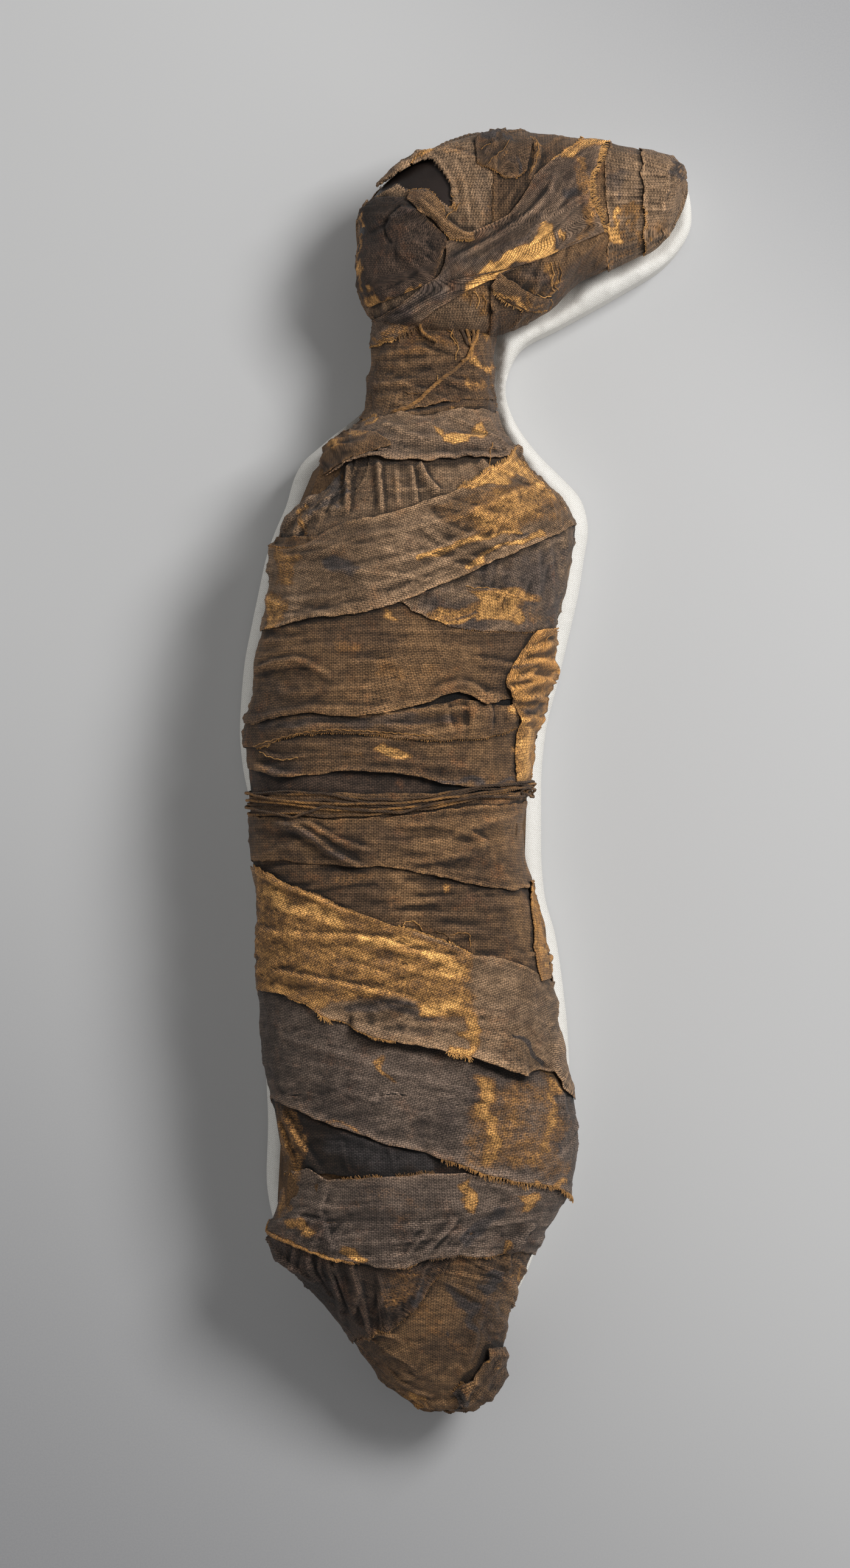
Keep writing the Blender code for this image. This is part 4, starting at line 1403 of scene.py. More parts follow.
def strand_tree() -> Tree:
    """Strands twisted round each other along a path.

    Returns:
        The tree.
    """
    tree = Tree("twisted_strands", ("Lay radius", "Strand radius", "Turn length", "Step"), "Strands")
    copies = tree.add("GeometryNodeDuplicateElements",
                      {0: tree.even_path("Step"), "Amount": tree.given("Strands")}, domain="SPLINE")
    along = tree.add("GeometryNodeSplineParameter")
    turns = tree.math("DIVIDE", along.outputs["Length"], tree.given("Turn length"))
    share = tree.math("DIVIDE", copies.outputs[1], tree.given("Strands"))
    angle = tree.math("MULTIPLY", tree.math("ADD", turns, share), 2 * math.pi)
    normal = tree.add("GeometryNodeInputNormal")
    tangent = tree.add("GeometryNodeInputTangent")
    turned = tree.add("ShaderNodeVectorRotate",
                      {"Vector": normal.outputs[0], "Axis": tangent.outputs[0], "Angle": angle},
                      rotation_type="AXIS_ANGLE")
    reach = tree.add("ShaderNodeVectorMath", {0: turned.outputs[0], "Scale": tree.given("Lay radius")},
                     operation="SCALE")
    moved = tree.add("GeometryNodeSetPosition", {0: copies.outputs[0], "Offset": reach.outputs[0]})
    tree.tube(moved.outputs[0], 6, "Strand radius")
    return tree


def fringe_tree() -> Tree:
    """Short loose threads that stand out from an edge, each turned and bent its own way.

    Returns:
        The tree.
    """
    tree = Tree("loose_threads", ("Spacing", "Thread radius", "Spread"), "Seed")
    seed, spread = tree.given("Seed"), tree.given("Spread")
    roots = tree.add("GeometryNodeCurveToPoints", {0: tree.even_path("Spacing")}, mode="EVALUATED")
    facing = tree.add("FunctionNodeAlignRotationToVector", {"Vector": tree.attribute("out", "FLOAT_VECTOR")},
                      axis="X")
    upright = tree.add("FunctionNodeAlignRotationToVector",
                       {"Rotation": facing.outputs[0], "Vector": tree.attribute("up", "FLOAT_VECTOR")},
                       axis="Z", pivot_axis="X")
    swing = tree.random(tree.math("MULTIPLY", spread, -1.0), spread, seed)
    other_seed = tree.math("ADD", seed, 7.0)
    turned = tree.turned(upright.outputs[0], (0.0, 0.0, 1.0), swing)
    tipped = tree.turned(turned, (0.0, 1.0, 0.0), tree.random(-0.30, 0.12, other_seed))
    rolled = tree.turned(tipped, (1.0, 0.0, 0.0), tree.random(-1.2, 1.2, other_seed))
    scale = tree.math("MULTIPLY", tree.random(0.35, 1.2, seed), tree.attribute("length", "FLOAT"))
    thread = tree.add("GeometryNodeCurveQuadraticBezier",
                      {"Resolution": 4, "Start": (-0.25, 0.0, -0.05), "Middle": (0.55, 0.10, 0.22),
                       "End": (1.0, -0.08, -0.06)})
    planted = tree.add("GeometryNodeInstanceOnPoints",
                       {"Points": roots.outputs[0], "Instance": thread.outputs[0], "Rotation": rolled,
                        "Scale": scale})
    real = tree.add("GeometryNodeRealizeInstances", {0: planted.outputs[0]})
    tree.tube(real.outputs[0], 4, "Thread radius")
    return tree


def new_piece(name: str, mesh: bpy.types.Mesh) -> bpy.types.Object:
    """An object for a mesh, linked to the scene.

    Args:
        name: Name of the object.
        mesh: Its mesh.

    Returns:
        The object.
    """
    piece = bpy.data.objects.new(name, mesh)
    bpy.context.scene.collection.objects.link(piece)
    return piece


@contextmanager
def editing(piece: bpy.types.Object) -> Iterator[bmesh.types.BMesh]:
    """The piece's mesh opened for changes, which are written back at the end.

    Args:
        piece: The piece.

    Yields:
        The open mesh.
    """
    shape = bmesh.new()
    shape.from_mesh(piece.data)
    yield shape
    shape.to_mesh(piece.data)
    shape.free()


def grid_corners(rows: int, columns: int, closed: bool) -> np.ndarray:
    """The four corners of each face of a grid of points, whose rows are rings where it is closed.

    Args:
        rows: Rows of points.
        columns: Points in a row.
        closed: True where the last column joins the first.

    Returns:
        A row of corners for each face.
    """
    index = np.arange(rows * columns).reshape(rows, columns)
    right = np.roll(index, -1, axis=1) if closed else index[:, 1:]
    left = index if closed else index[:, :-1]
    return np.stack((left[:-1], left[1:], right[1:], right[:-1]), axis=-1).reshape(-1, 4)


def mesh_from(name: str, points: np.ndarray, corners: np.ndarray) -> bpy.types.Mesh:
    """A mesh from points and the four corners of each face.

    Args:
        name: Name of the mesh.
        points: Its points.
        corners: Its faces' corners.

    Returns:
        The mesh.
    """
    mesh = bpy.data.meshes.new(name)
    mesh.vertices.add(len(points))
    mesh.vertices.foreach_set("co", points.astype(np.float32).ravel())
    mesh.loops.add(corners.size)
    mesh.loops.foreach_set("vertex_index", corners.astype(np.int32).ravel())
    mesh.polygons.add(len(corners))
    mesh.polygons.foreach_set("loop_start", np.arange(0, corners.size, corners.shape[1], dtype=np.int32))
    mesh.update(calc_edges=True)
    return mesh


def add_fields(mesh: bpy.types.Mesh, fields: dict[str, np.ndarray]) -> None:
    """Give a mesh vector or number attributes at its points.

    Args:
        mesh: The mesh.
        fields: The attributes by name.
    """
    for name, values in fields.items():
        kind, part = ("FLOAT_VECTOR", "vector") if values.ndim == 2 else ("FLOAT", "value")
        attribute = mesh.attributes.new(name, kind, "POINT")
        attribute.data.foreach_set(part, values.astype(np.float32).ravel())


def add_weave(mesh: bpy.types.Mesh, places: np.ndarray) -> None:
    """Give a mesh its weave's coordinates, one pair for each corner of each face."""
    layer = mesh.uv_layers.new(name="weave")
    layer.data.foreach_set("uv", places.astype(np.float32).ravel())


def thread_mesh(name: str, lines: list[np.ndarray], fields: dict[str, np.ndarray]) -> bpy.types.Mesh:
    """A mesh of open lines, with vector or number attributes at its points.

    Args:
        name: Name of the mesh.
        lines: The points of each line.
        fields: The attributes by name.

    Returns:
        The mesh.
    """
    mesh = bpy.data.meshes.new(name)
    points, edges, start = [], [], 0
    for line in lines:
        points.extend(map(tuple, line))
        edges.extend((start + i, start + i + 1) for i in range(len(line) - 1))
        start += len(line)
    mesh.from_pydata(points, edges, [])
    add_fields(mesh, fields)
    return mesh


BRIGHTNESS = {Tone.UMBER: 0.12, Tone.BROWN: 0.28, Tone.RUST: 0.5, Tone.OCHRE: 0.7, Tone.GOLD: 1.0}


@dataclass
class Cloth:
    """A cloth laid on a form, kept until everything above it is laid too."""

    spec: ClothPlan
    form: Form
    row: np.ndarray
    column: np.ndarray
    height: np.ndarray
    plain_row: np.ndarray
    plain_column: np.ndarray
    closed: bool
    smooth: np.ndarray = field(init=False)
    normal: np.ndarray = field(init=False)
    points: np.ndarray = field(init=False)
    seen: np.ndarray = field(init=False)
    facing: np.ndarray = field(init=False)

    def __post_init__(self) -> None:
        """Work out where the cloth's points are."""
        self.smooth = self.form.read(self.form.points, self.row, self.column)
        self.normal = self.form.read(self.form.normals, self.row, self.column)
        self.normal /= np.linalg.norm(self.normal, axis=2, keepdims=True)
        self.points = self.smooth + self.normal * self.height[..., None]
        self.seen = self.form.view.seen(self.points)
        self.facing = smooth_step(self.normal[..., 2], *FACING)

    def ring(self, values: np.ndarray) -> np.ndarray:
        """Values by row and column, with the first column again at the end where the cloth is closed."""
        return np.concatenate((values, values[:, :1]), axis=1) if self.closed else values

    def weave(self) -> tuple[np.ndarray, np.ndarray, float]:
        """Coordinates of the cloth in metres, along it and across it, and its whole length.

        Returns:
            Both coordinates by row and column, and the length.
        """
        smooth = self.form.read(self.form.points, self.plain_row, self.plain_column)
        steps = np.diff(self.ring(smooth), axis=1)
        if not self.closed:
            steps = np.concatenate((steps, steps[:, -1:]), axis=1)
        length = np.linalg.norm(steps, axis=2)
        run = steps / np.maximum(length, 1e-9)[..., None]
        middle = len(self.row) // 2
        u_middle = added_up(length[middle])
        down = np.diff(smooth, axis=0)
        along = (down * run[:-1]).sum(axis=2)
        across = np.sqrt(np.maximum((down**2).sum(axis=2) - along**2, 0.0))
        zero = np.zeros((1, along.shape[1]))
        shift = np.concatenate((zero, np.cumsum(along, axis=0)))
        u = u_middle[: along.shape[1]] + shift - shift[middle]
        v = np.concatenate((zero, np.cumsum(across, axis=0)))
        if self.closed:
            v = v + (self.row - self.plain_row) * self.form.row_step
        return u, v, u_middle[-1 if self.closed else -2]

    def mesh(self) -> bpy.types.Mesh:
        """The cloth's outer face, with its coordinates and what its finish reads.

        Returns:
            The mesh.
        """
        corners = grid_corners(*self.row.shape, self.closed)
        u, v, length = self.weave()
        wide = np.concatenate((u, u[:, :1] + length), axis=1) if self.closed else u
        place = np.stack((wide, self.ring(v)), axis=-1)
        places = np.stack((place[:-1, :-1], place[1:, :-1], place[1:, 1:], place[:-1, 1:]), axis=-2)
        places = places.reshape(-1, 4, 2)
        flat = self.points.reshape(-1, 3)
        a, b, d = flat[corners[:, 0]], flat[corners[:, 1]], flat[corners[:, 3]]
        outward = np.cross(b - a, d - a)
        if (outward * self.normal.reshape(-1, 3)[corners[:, 0]]).sum() < 0:
            corners, places = corners[:, ::-1], places[:, ::-1]
        if self.spec.hole:
            middle = self.seen.reshape(-1, 2)[corners].mean(axis=1)
            front = self.facing.ravel()[corners].mean(axis=1) > 0
            keep = ~(inside(middle, pixels(self.spec.hole)) & front)
            corners, places = corners[keep], places[keep]
        mesh = mesh_from(self.spec.node + "_linen", flat, corners)
        add_weave(mesh, places)
        add_fields(mesh, self.fields())
        return mesh

    def fields(self) -> dict[str, np.ndarray]:
        """What the finish reads at each point: stains, worn edges, and how far the cloth lies under or over
        the cloth around it, for painted shade in hollows and painted highlights on crests.

        Returns:
            The attributes by name.
        """
        seen, facing = self.seen + self.stain_warp(), self.facing.ravel()
        seen = seen.reshape(-1, 2)
        # How far the cloth lies over or under the softened cloth around it: hollows get painted shade,
        # crests a painted highlight
        top = self.form.blur(self.form.height, PAINTED_SHADE_WIDTH)
        relief = (self.height - self.form.read(top, self.row, self.column)) / PAINTED_SHADE_DEPTH
        down = np.linalg.norm(np.diff(self.smooth, axis=0), axis=2)
        v = np.concatenate((0 * down[:1], np.cumsum(down, axis=0)))
        edge = np.exp(-v / WORN_WIDTH) + np.exp(-(v[-1] - v) / WORN_WIDTH)
        return {
            "ochre": stain_field(seen, self.spec.gold, facing),
            # Dark stains, partly painted shade
            "dark": stain_field(seen, self.spec.dark, facing),
            "relief": np.clip(relief.ravel(), -1.6, 1.6),
            "edge": np.clip(edge.ravel(), 0.0, 1.0) * self.spec.worn,
        }

    def stain_warp(self) -> np.ndarray:
        """How far stains are pulled out of shape at each point, in photograph pixels.

        Returns:
            A shift across and down, by row and column.
        """
        form, seed = self.form, self.spec.seed
        shifts = []
        for axis in (0, 1):
            wide = form.ripple(seed + 60 + axis, WIDE_WARP) * 6
            tight = form.ripple(seed + 64 + axis, TIGHT_WARP) * (5, 2)[axis]
            shifts.append(form.read(wide + tight, self.row, self.column))
        return np.stack(shifts, axis=-1)

    def build(self, material: bpy.types.Material) -> bpy.types.Object:
        """The cloth as a closed piece in its finish.

        Args:
            material: Its finish.

        Returns:
            The piece.
        """
        piece = new_piece(self.spec.node + "_linen", self.mesh())
        with editing(piece) as shape:
            bmesh.ops.remove_doubles(shape, verts=shape.verts, dist=MERGED)
            bmesh.ops.dissolve_degenerate(shape, edges=shape.edges, dist=DISSOLVED)
            loose = [vertex for vertex in shape.verts if not vertex.link_faces]
            bmesh.ops.delete(shape, geom=loose, context="VERTS")
        thick = piece.modifiers.new("cloth", "SOLIDIFY")
        thick.thickness = CLOTH
        thick.offset = -1.0
        made_plain(piece)
        piece.data.shade_smooth()
        piece.data.materials.clear()
        piece.data.materials.append(material)
        return piece

    def flat_size(self) -> tuple[float, float]:
        """Width and length of the strip before it was wound, in metres.

        Returns:
            The width and the length.
        """
        length = self.weave()[2]
        steps = np.diff(self.ring(self.smooth), axis=1)
        down = np.diff(self.smooth, axis=0)
        count = min(steps.shape[1], down.shape[1])
        cells = np.cross(steps[:-1, :count], down[:, :count])
        area = np.linalg.norm(cells, axis=2).sum()
        return max(0.01, round(area / length, 3)), max(0.01, round(length, 3))

    def fringe_roots(self) -> bpy.types.Mesh | None:
        """Lines along the frayed edges, with the way that the threads point.

        Returns:
            A mesh of lines, or None where no edge is frayed.
        """
        lines, out, up, lengths, bright = [], [], [], [], []
        across = self.form.across(self.seen)
        for order, fringe in enumerate(self.spec.fringes):
            edge, inner = (0, 1) if fringe.side is Side.UPPER else (-1, -2)
            chosen = (across[edge] > fringe.start) & (across[edge] < fringe.end) & (self.facing[edge] > 0)
            runs = np.split(np.arange(len(chosen)), np.flatnonzero(np.diff(chosen.astype(int))) + 1)
            for run in runs:
                if not chosen[run[0]] or len(run) < 3:
                    continue
                away = self.points[edge, run] - self.points[inner, run]
                away /= np.maximum(np.linalg.norm(away, axis=1, keepdims=True), 1e-9)
                noise = np.random.default_rng(self.spec.seed + 50 + order).uniform(0.35, 1.25, len(run))
                noise = np.convolve(noise, np.ones(3) / 3, mode="same")
                lines.append(self.points[edge, run] - self.normal[edge, run] * CLOTH / 2)
                out.append(away)
                up.append(self.normal[edge, run])
                lengths.append(noise * fringe.length * MM)
                bright.append(np.full(len(run), BRIGHTNESS[fringe.tone]))
        if not lines:
            return None
        return thread_mesh(self.spec.node + "_fringe", lines, {
            "out": np.concatenate(out), "up": np.concatenate(up),
            "length": np.concatenate(lengths), "bright": np.concatenate(bright),
        })


def round_soft(values: np.ndarray, columns: float) -> np.ndarray:
    """Values round a ring, softened over a number of columns."""
    frequency = np.fft.fftfreq(len(values))
    return np.fft.ifft(np.fft.fft(values) * np.exp(-2 * (math.pi * frequency * columns) ** 2)).real


def edge_noise(seed: int, count: int, size: float) -> np.ndarray:
    """A seeded wavering of an edge, in metres, that ends where it starts.

    Args:
        seed: Seed of the noise.
        count: Number of places round the edge.
        size: How strong the wavering is.

    Returns:
        The shift at each place.
    """
    noise = np.random.default_rng(seed).standard_normal(count)
    total = np.zeros(count)
    for softness, share in ((1.2, 0.35), (4.0, 0.5), (14.0, 0.9)):
        field = round_soft(noise, softness)
        total += share * field / max(field.std(), 1e-9)
    return total * size * EDGE_WAVER * MM


def even_line(ends: np.ndarray, count: int) -> np.ndarray:
    """Points spread evenly along a smooth line, in photograph pixels.

    Args:
        ends: The line in photograph pixels.
        count: Number of points.

    Returns:
        The points, one in each row.
    """
    length = run_of(ends)
    fine = np.linspace(0.0, length[-1], 400)
    if len(ends) > 2:
        curve = smooth_curve(length, ends, fine)
    else:
        # Give the cover its weave's coordinates, and how far it lies under its rim for its painted shade.
        curve = ends[0] + (ends[1] - ends[0]) * (fine / length[-1])[:, None]
    return points_at(curve, np.linspace(0.0, run_of(curve)[-1], count))


class Bandager:
    """Lays cloths on a form from the inside out, and builds them once all are laid."""

    def __init__(self, form: Form, rests_on: str) -> None:
        """Take the form and the name of what its innermost cloth lies on.

        Args:
            form: The form.
            rests_on: The piece under the innermost cloth.
        """
        self.form = form
        self.rests_on = rests_on
        self.cloths: list[Cloth] = []

    def curl_height(self, curls: tuple[Curl, ...], upper: np.ndarray, lower: np.ndarray) -> np.ndarray:
        """Height of lifted edges, where the edges are given as rows for each column.

        Args:
            curls: The lifted stretches.
            upper: Row of the upper edge at each column.
            lower: Row of the lower edge at each column.

        Returns:
            The height by row and column, in metres.
        """
        form = self.form
        row = np.arange(form.rows)[:, None]
        across = form.across(form.seen)
        height = np.zeros((form.rows, form.columns))
        for curl in curls:
            from_edge = row - upper if curl.side is Side.UPPER else lower - row
            distance = np.maximum(from_edge, 0.0) * form.row_step
            near = np.exp(-((distance / (curl.reach * MM)) ** 2))
            margin = min(14.0, (curl.end - curl.start) / 3)
            window = smooth_step(across, curl.start, curl.start + margin)
            window *= 1 - smooth_step(across, curl.end - margin, curl.end)
            height += curl.lift * MM * near * window * form.facing
        return height

    def wind(self, wrap: Wrap) -> None:
        """Lay a bandage right round the form.

        Args:
            wrap: The bandage's plan.
        """
        form = self.form
        upper, lower = form.crossing(pixels(wrap.upper)), form.crossing(pixels(wrap.lower))
        plain = round_soft(upper, WEAVE_SOFTNESS), round_soft(lower, WEAVE_SOFTNESS)
        upper = upper + edge_noise(wrap.seed + 20, form.columns, wrap.wave) / form.row_step
        lower = lower + edge_noise(wrap.seed + 21, form.columns, wrap.wave) / form.row_step
        upper = np.clip(upper, 0, form.rows - 2)
        lower = np.clip(np.maximum(lower, upper + 0.6), 0, form.rows - 1)
        row = np.arange(form.rows)[:, None]
        cover = (row >= upper) & (row <= lower)
        if wrap.hole:
            cover &= ~form.front_inside(pixels(wrap.hole))
        lift = form.relief(wrap) + self.curl_height(wrap.curls, upper, lower)
        height = form.lay(cover, lift)
        width = np.percentile(lower - upper, 88) * form.row_step
        count = max(5, int(math.ceil(width / MESH_STEP / wrap.coarse)) + 1)
        share = np.linspace(0.0, 1.0, count)[:, None]
        chosen = np.arange(0, form.columns, wrap.coarse)
        rows = (upper + (lower - upper) * share)[:, chosen]
        columns = np.tile(chosen.astype(float), (count, 1))
        plain_rows = np.clip((plain[0] + (plain[1] - plain[0]) * share)[:, chosen], 0, form.rows - 1)
        heights = form.read(height, rows, columns)
        self.cloths.append(Cloth(wrap, form, rows, columns, heights, plain_rows, columns, True))

    def patch(self, patch: Patch) -> None:
        """Lay a piece of cloth on the front of the form.

        Args:
            patch: The cloth's plan.
        """
        form = self.form
        edges = pixels(patch.upper), pixels(patch.lower)
        length = max(map(len_of, edges)) * PIXEL
        count = max(6, int(length / MESH_STEP) + 1)
        first, second = (even_line(edge, count) for edge in edges)
        width = np.linalg.norm(first - second, axis=1).max() * PIXEL
        rows_count = max(5, int(width / MESH_STEP) + 1)
        share = np.linspace(0.0, 1.0, rows_count)[:, None, None]
        plain = form.locate((first + (second - first) * share).reshape(-1, 2))
        for line, seed in ((first, 20), (second, 21)):
            sway = np.random.default_rng(patch.seed + seed).standard_normal((count, 2))
            sway = np.apply_along_axis(lambda a: np.convolve(a, np.ones(5) / 5, mode="same"), 0, sway)
            line += sway * patch.wave * PATCH_WAVER * MM / PIXEL
        spots = first + (second - first) * share
        row, column = form.locate(spots.reshape(-1, 2))
        row, column = row.reshape(spots.shape[:2]), column.reshape(spots.shape[:2])
        outline = np.concatenate((first, second[::-1]))
        cover = form.front_inside(outline)
        lift = form.relief(patch)
        if patch.puff:
            full = form.blur(cover.astype(float), 3.0 * MM)
            lift = lift + patch.puff * MM * smooth_step(full, 0.45, 1.0)
        height = form.lay(cover, lift)
        heights = form.read(height, row, column)
        for curl in patch.curls:
            from_edge = np.linspace(0.0, width, rows_count)[:, None]
            if curl.side is Side.LOWER:
                from_edge = from_edge[::-1]
            heights = heights + curl.lift * MM * np.exp(-((from_edge / (curl.reach * MM)) ** 2))
        plain_row, plain_column = (part.reshape(row.shape) for part in plain)
        self.cloths.append(Cloth(patch, form, row, column, heights, plain_row, plain_column, False))

    def lay(self, plans: tuple[ClothPlan, ...]) -> None:
        """Lay every cloth of a stretch in turn, from the innermost to the outermost.

        Args:
            plans: The plans of the cloths.
        """
        for plan in plans:
            if isinstance(plan, Wrap):
                self.wind(plan)
            else:
                self.patch(plan)

    def build(self, finishes: dict[str, bpy.types.Material], slots: dict[str, str], fringes: Tree,
              threads: bpy.types.Material) -> None:
        """Build every cloth with its fringe, hang it on the mummy, and hide the frame's node that it stands
        for.

        Args:
            finishes: The linens by name.
            slots: The material slot of each node.
            fringes: The tree that makes loose threads.
            threads: The finish of loose threads.
        """
        under = self.rests_on
        for cloth in self.cloths:
            spec = cloth.spec
            piece = cloth.build(finishes[spec.weave.name])
            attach(piece, "mummy")
            if spec.node in slots:
                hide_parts(spec.node)
            loose = []
            roots = cloth.fringe_roots()
            if roots:
                fringe = new_piece(spec.node + "_fringe", roots)
                spacing = min(item.spacing for item in spec.fringes) * MM
                spread = max(item.spread for item in spec.fringes)
                values = {"Spacing": spacing, "Thread radius": FRINGE_RADIUS, "Spread": spread,
                          "Seed": spec.seed, "Material": threads}
                fringes.run(fringe, values)
                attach(fringe, "mummy")
                loose.append(fringe)
            cloth.flat_size()
            LOG.info("%s: %d points, fringe %s", piece.name, len(piece.data.vertices), bool(loose))
            under = piece.name if cloth.closed else under


def len_of(line: np.ndarray) -> float:
    """Length of a line in photograph pixels."""
    return float(np.linalg.norm(np.diff(line, axis=0), axis=1).sum())


INNER_WRAPPING = Weave("inner_wrapping", Tone.DARK, Tone.GAP, seed=5.0)
RIDGE, GROOVE, PLEAT = Profile.RIDGE, Profile.GROOVE, Profile.PLEAT
UPPER, LOWER = Side.UPPER, Side.LOWER

FOOT_WRAPPINGS = (
    Wrap("foot_wrap", BROWN_LINEN, "380,2030 960,2030", "380,2420 960,2420", 110, crease=0.7, slant=-18,
        strokes=(Stroke("803,2167 797,2207 780,2257 763,2270 740,2293", 1.8, 2.6, GROOVE),
            Stroke("790,2170 783,2210 766,2250", 3.0, 1.2),
            Stroke("885,2013 851,2036 839,2059 843,2098", 1.8, 2.4, PLEAT),
            Stroke("567,2212 597,2205 630,2186 643,2185 663,2175", 1.3, 2.2),
            Stroke("600,2236 660,2226 720,2204", 2.2, 1.0), Stroke("640,2274 690,2264 730,2244", 2.2, 1.0),
            Stroke("690,2312 740,2310 775,2298 800,2275", 2.4, 1.6, PLEAT)),
        gold=(Stain("637,2287 660,2300 690,2308", 12, 0.8), Stain("592,2217", 7),
            Stain("855,2075 848,2110", 8, 0.8), Stain("700,2150 740,2200", 26, 0.25)),
        dark=(Stain("750,2130 780,2160", 16, 0.9), Stain("797,2123 817,2093", 13, 0.9),
            Stain("733,2197", 8, 0.8), Stain("745,2285 760,2305", 12), Stain("800,2190 812,2140", 10, 0.5))),
    Wrap("heel_wrap", DARK_LINEN, "380,2000 960,2040",
        "380,2214 567,2210 597,2203 630,2183 643,2183 663,2173 683,2153 707,2120 730,2090 743,2067 775,2050 "
        "960,2044", 120, crease=0.8, slant=60,
        strokes=(Stroke("540,2072 548,2110 560,2150 562,2185", 1.8, 1.8, PLEAT),
            Stroke("573,2073 590,2123 577,2173", 1.8, 2.2, PLEAT),
            Stroke("500,2060 515,2095 545,2140", 1.8, 1.8, PLEAT),
            Stroke("448,2060 480,2080 520,2110", 1.8, 1.6, PLEAT),
            Stroke("620,2090 628,2130 615,2170", 1.6, 1.2),
            Stroke("600,2201 640,2182 683,2151 728,2092", 1.0, 1.0)),
        gold=(Stain("622,2088 715,2086 700,2118 676,2148 628,2160", 8, 0.42, True),
            Stain("525,2150 545,2175", 6, 0.7)),
        dark=(Stain("450,2050 520,2110 560,2170", 34, 0.4), Stain("640,2113 646,2130", 9, 0.9),
            Stain("688,2107 696,2148", 12, 0.9)),
        fringes=(Fringe(LOWER, 600, 735, 1.6, 1.3, Tone.BROWN),)),
    # The underlap's near-black linen is painted shadow, for the shade under the hip band's lifted edge
    Wrap("underlap_wrap", PAINTED_SHADOW_LINEN, "380,1800 960,1800", "380,1926 506,1928 571,1938 717,1934 960,1944",
        130, crease=0.8, slant=14, worn=0.0,
        strokes=(Stroke("458,1821 489,1875 535,1940", 2.0, 2.6, PLEAT),
            Stroke("452,1835 470,1880 480,1925", 1.5, 1.6, PLEAT),
            Stroke("470,1825 600,1872 690,1902", 1.8, 1.6, PLEAT),
            Stroke("560,1870 575,1930", 1.6, 1.2, PLEAT), Stroke("640,1885 650,1928", 1.5, 1.0),
            Stroke("722,1915 722,1930", 2.6, 3.4, GROOVE)),
        gold=(Stain("440,1812 468,1815 496,1870 506,1925 445,1925", 9, 0.62, True),),
        dark=(Stain("560,1880 700,1915", 26, 0.7), Stain("722,1922", 9, 1.2)),
        fringes=(Fringe(LOWER, 448, 506, 3.4, 0.8),)),
    Wrap("thigh_wrap", SLATE_LINEN,
        "380,1925 430,1925 506,1921 535,1940 612,1936 651,1934 708,1932 766,1932 824,1944 960,1950",
        "380,2010 437,2025 478,2044 524,2063 551,2071 593,2078 620,2082 670,2080 705,2065 755,2061 805,2065 "
        "828,2059 960,2060", 140, crease=0.5, slant=6,
        strokes=(Stroke("755,2005 712,2044 689,2071", 1.6, 2.2, PLEAT),
            Stroke("440,1965 540,1985 660,1990 800,1985 900,1975", 2.0, 0.8),
            Stroke("885,2013 851,2036 839,2059", 1.8, 2.4, PLEAT),
            Stroke("486,1997 510,1999 532,2004", 1.1, 1.6, GROOVE),
            Stroke("536,1945 524,1990 545,2040 560,2060", 2.2, 1.2, PLEAT)),
        gold=(Stain("440,1921 497,1925 490,1970 468,1995 444,2000", 9, 0.7, True),
            Stain("470,2004 490,2004 512,2030 500,2038 475,2028", 5, 0.75, True),
            Stain("758,1936 785,1936 778,1994 760,1990", 5, 0.95, True),
            Stain("855,1957 889,1955 880,1986 858,1984", 6, 0.85, True), Stain("568,2044 584,2068", 8),
            Stain("612,1960 690,1990", 40, 0.2), Stain("835,2040 842,2062", 7, 0.8)),
        dark=(Stain("776,2036 814,1992", 13, 0.9), Stain("530,1960 545,2050", 20, 0.35)),
        fringes=(Fringe(UPPER, 560, 630, 2.8, 0.7, Tone.RUST, 0.6),
            Fringe(UPPER, 646, 715, 2.8, 0.7, Tone.BROWN, 0.6),
            Fringe(LOWER, 635, 690, 1.6, 1.1, Tone.BROWN), Fringe(LOWER, 705, 828, 1.9, 1.0, Tone.BROWN),
            Fringe(LOWER, 440, 590, 2.6, 0.6, spread=0.9)),
        curls=(Curl(LOWER, 600, 825, 1.2, 3.0),)),
)

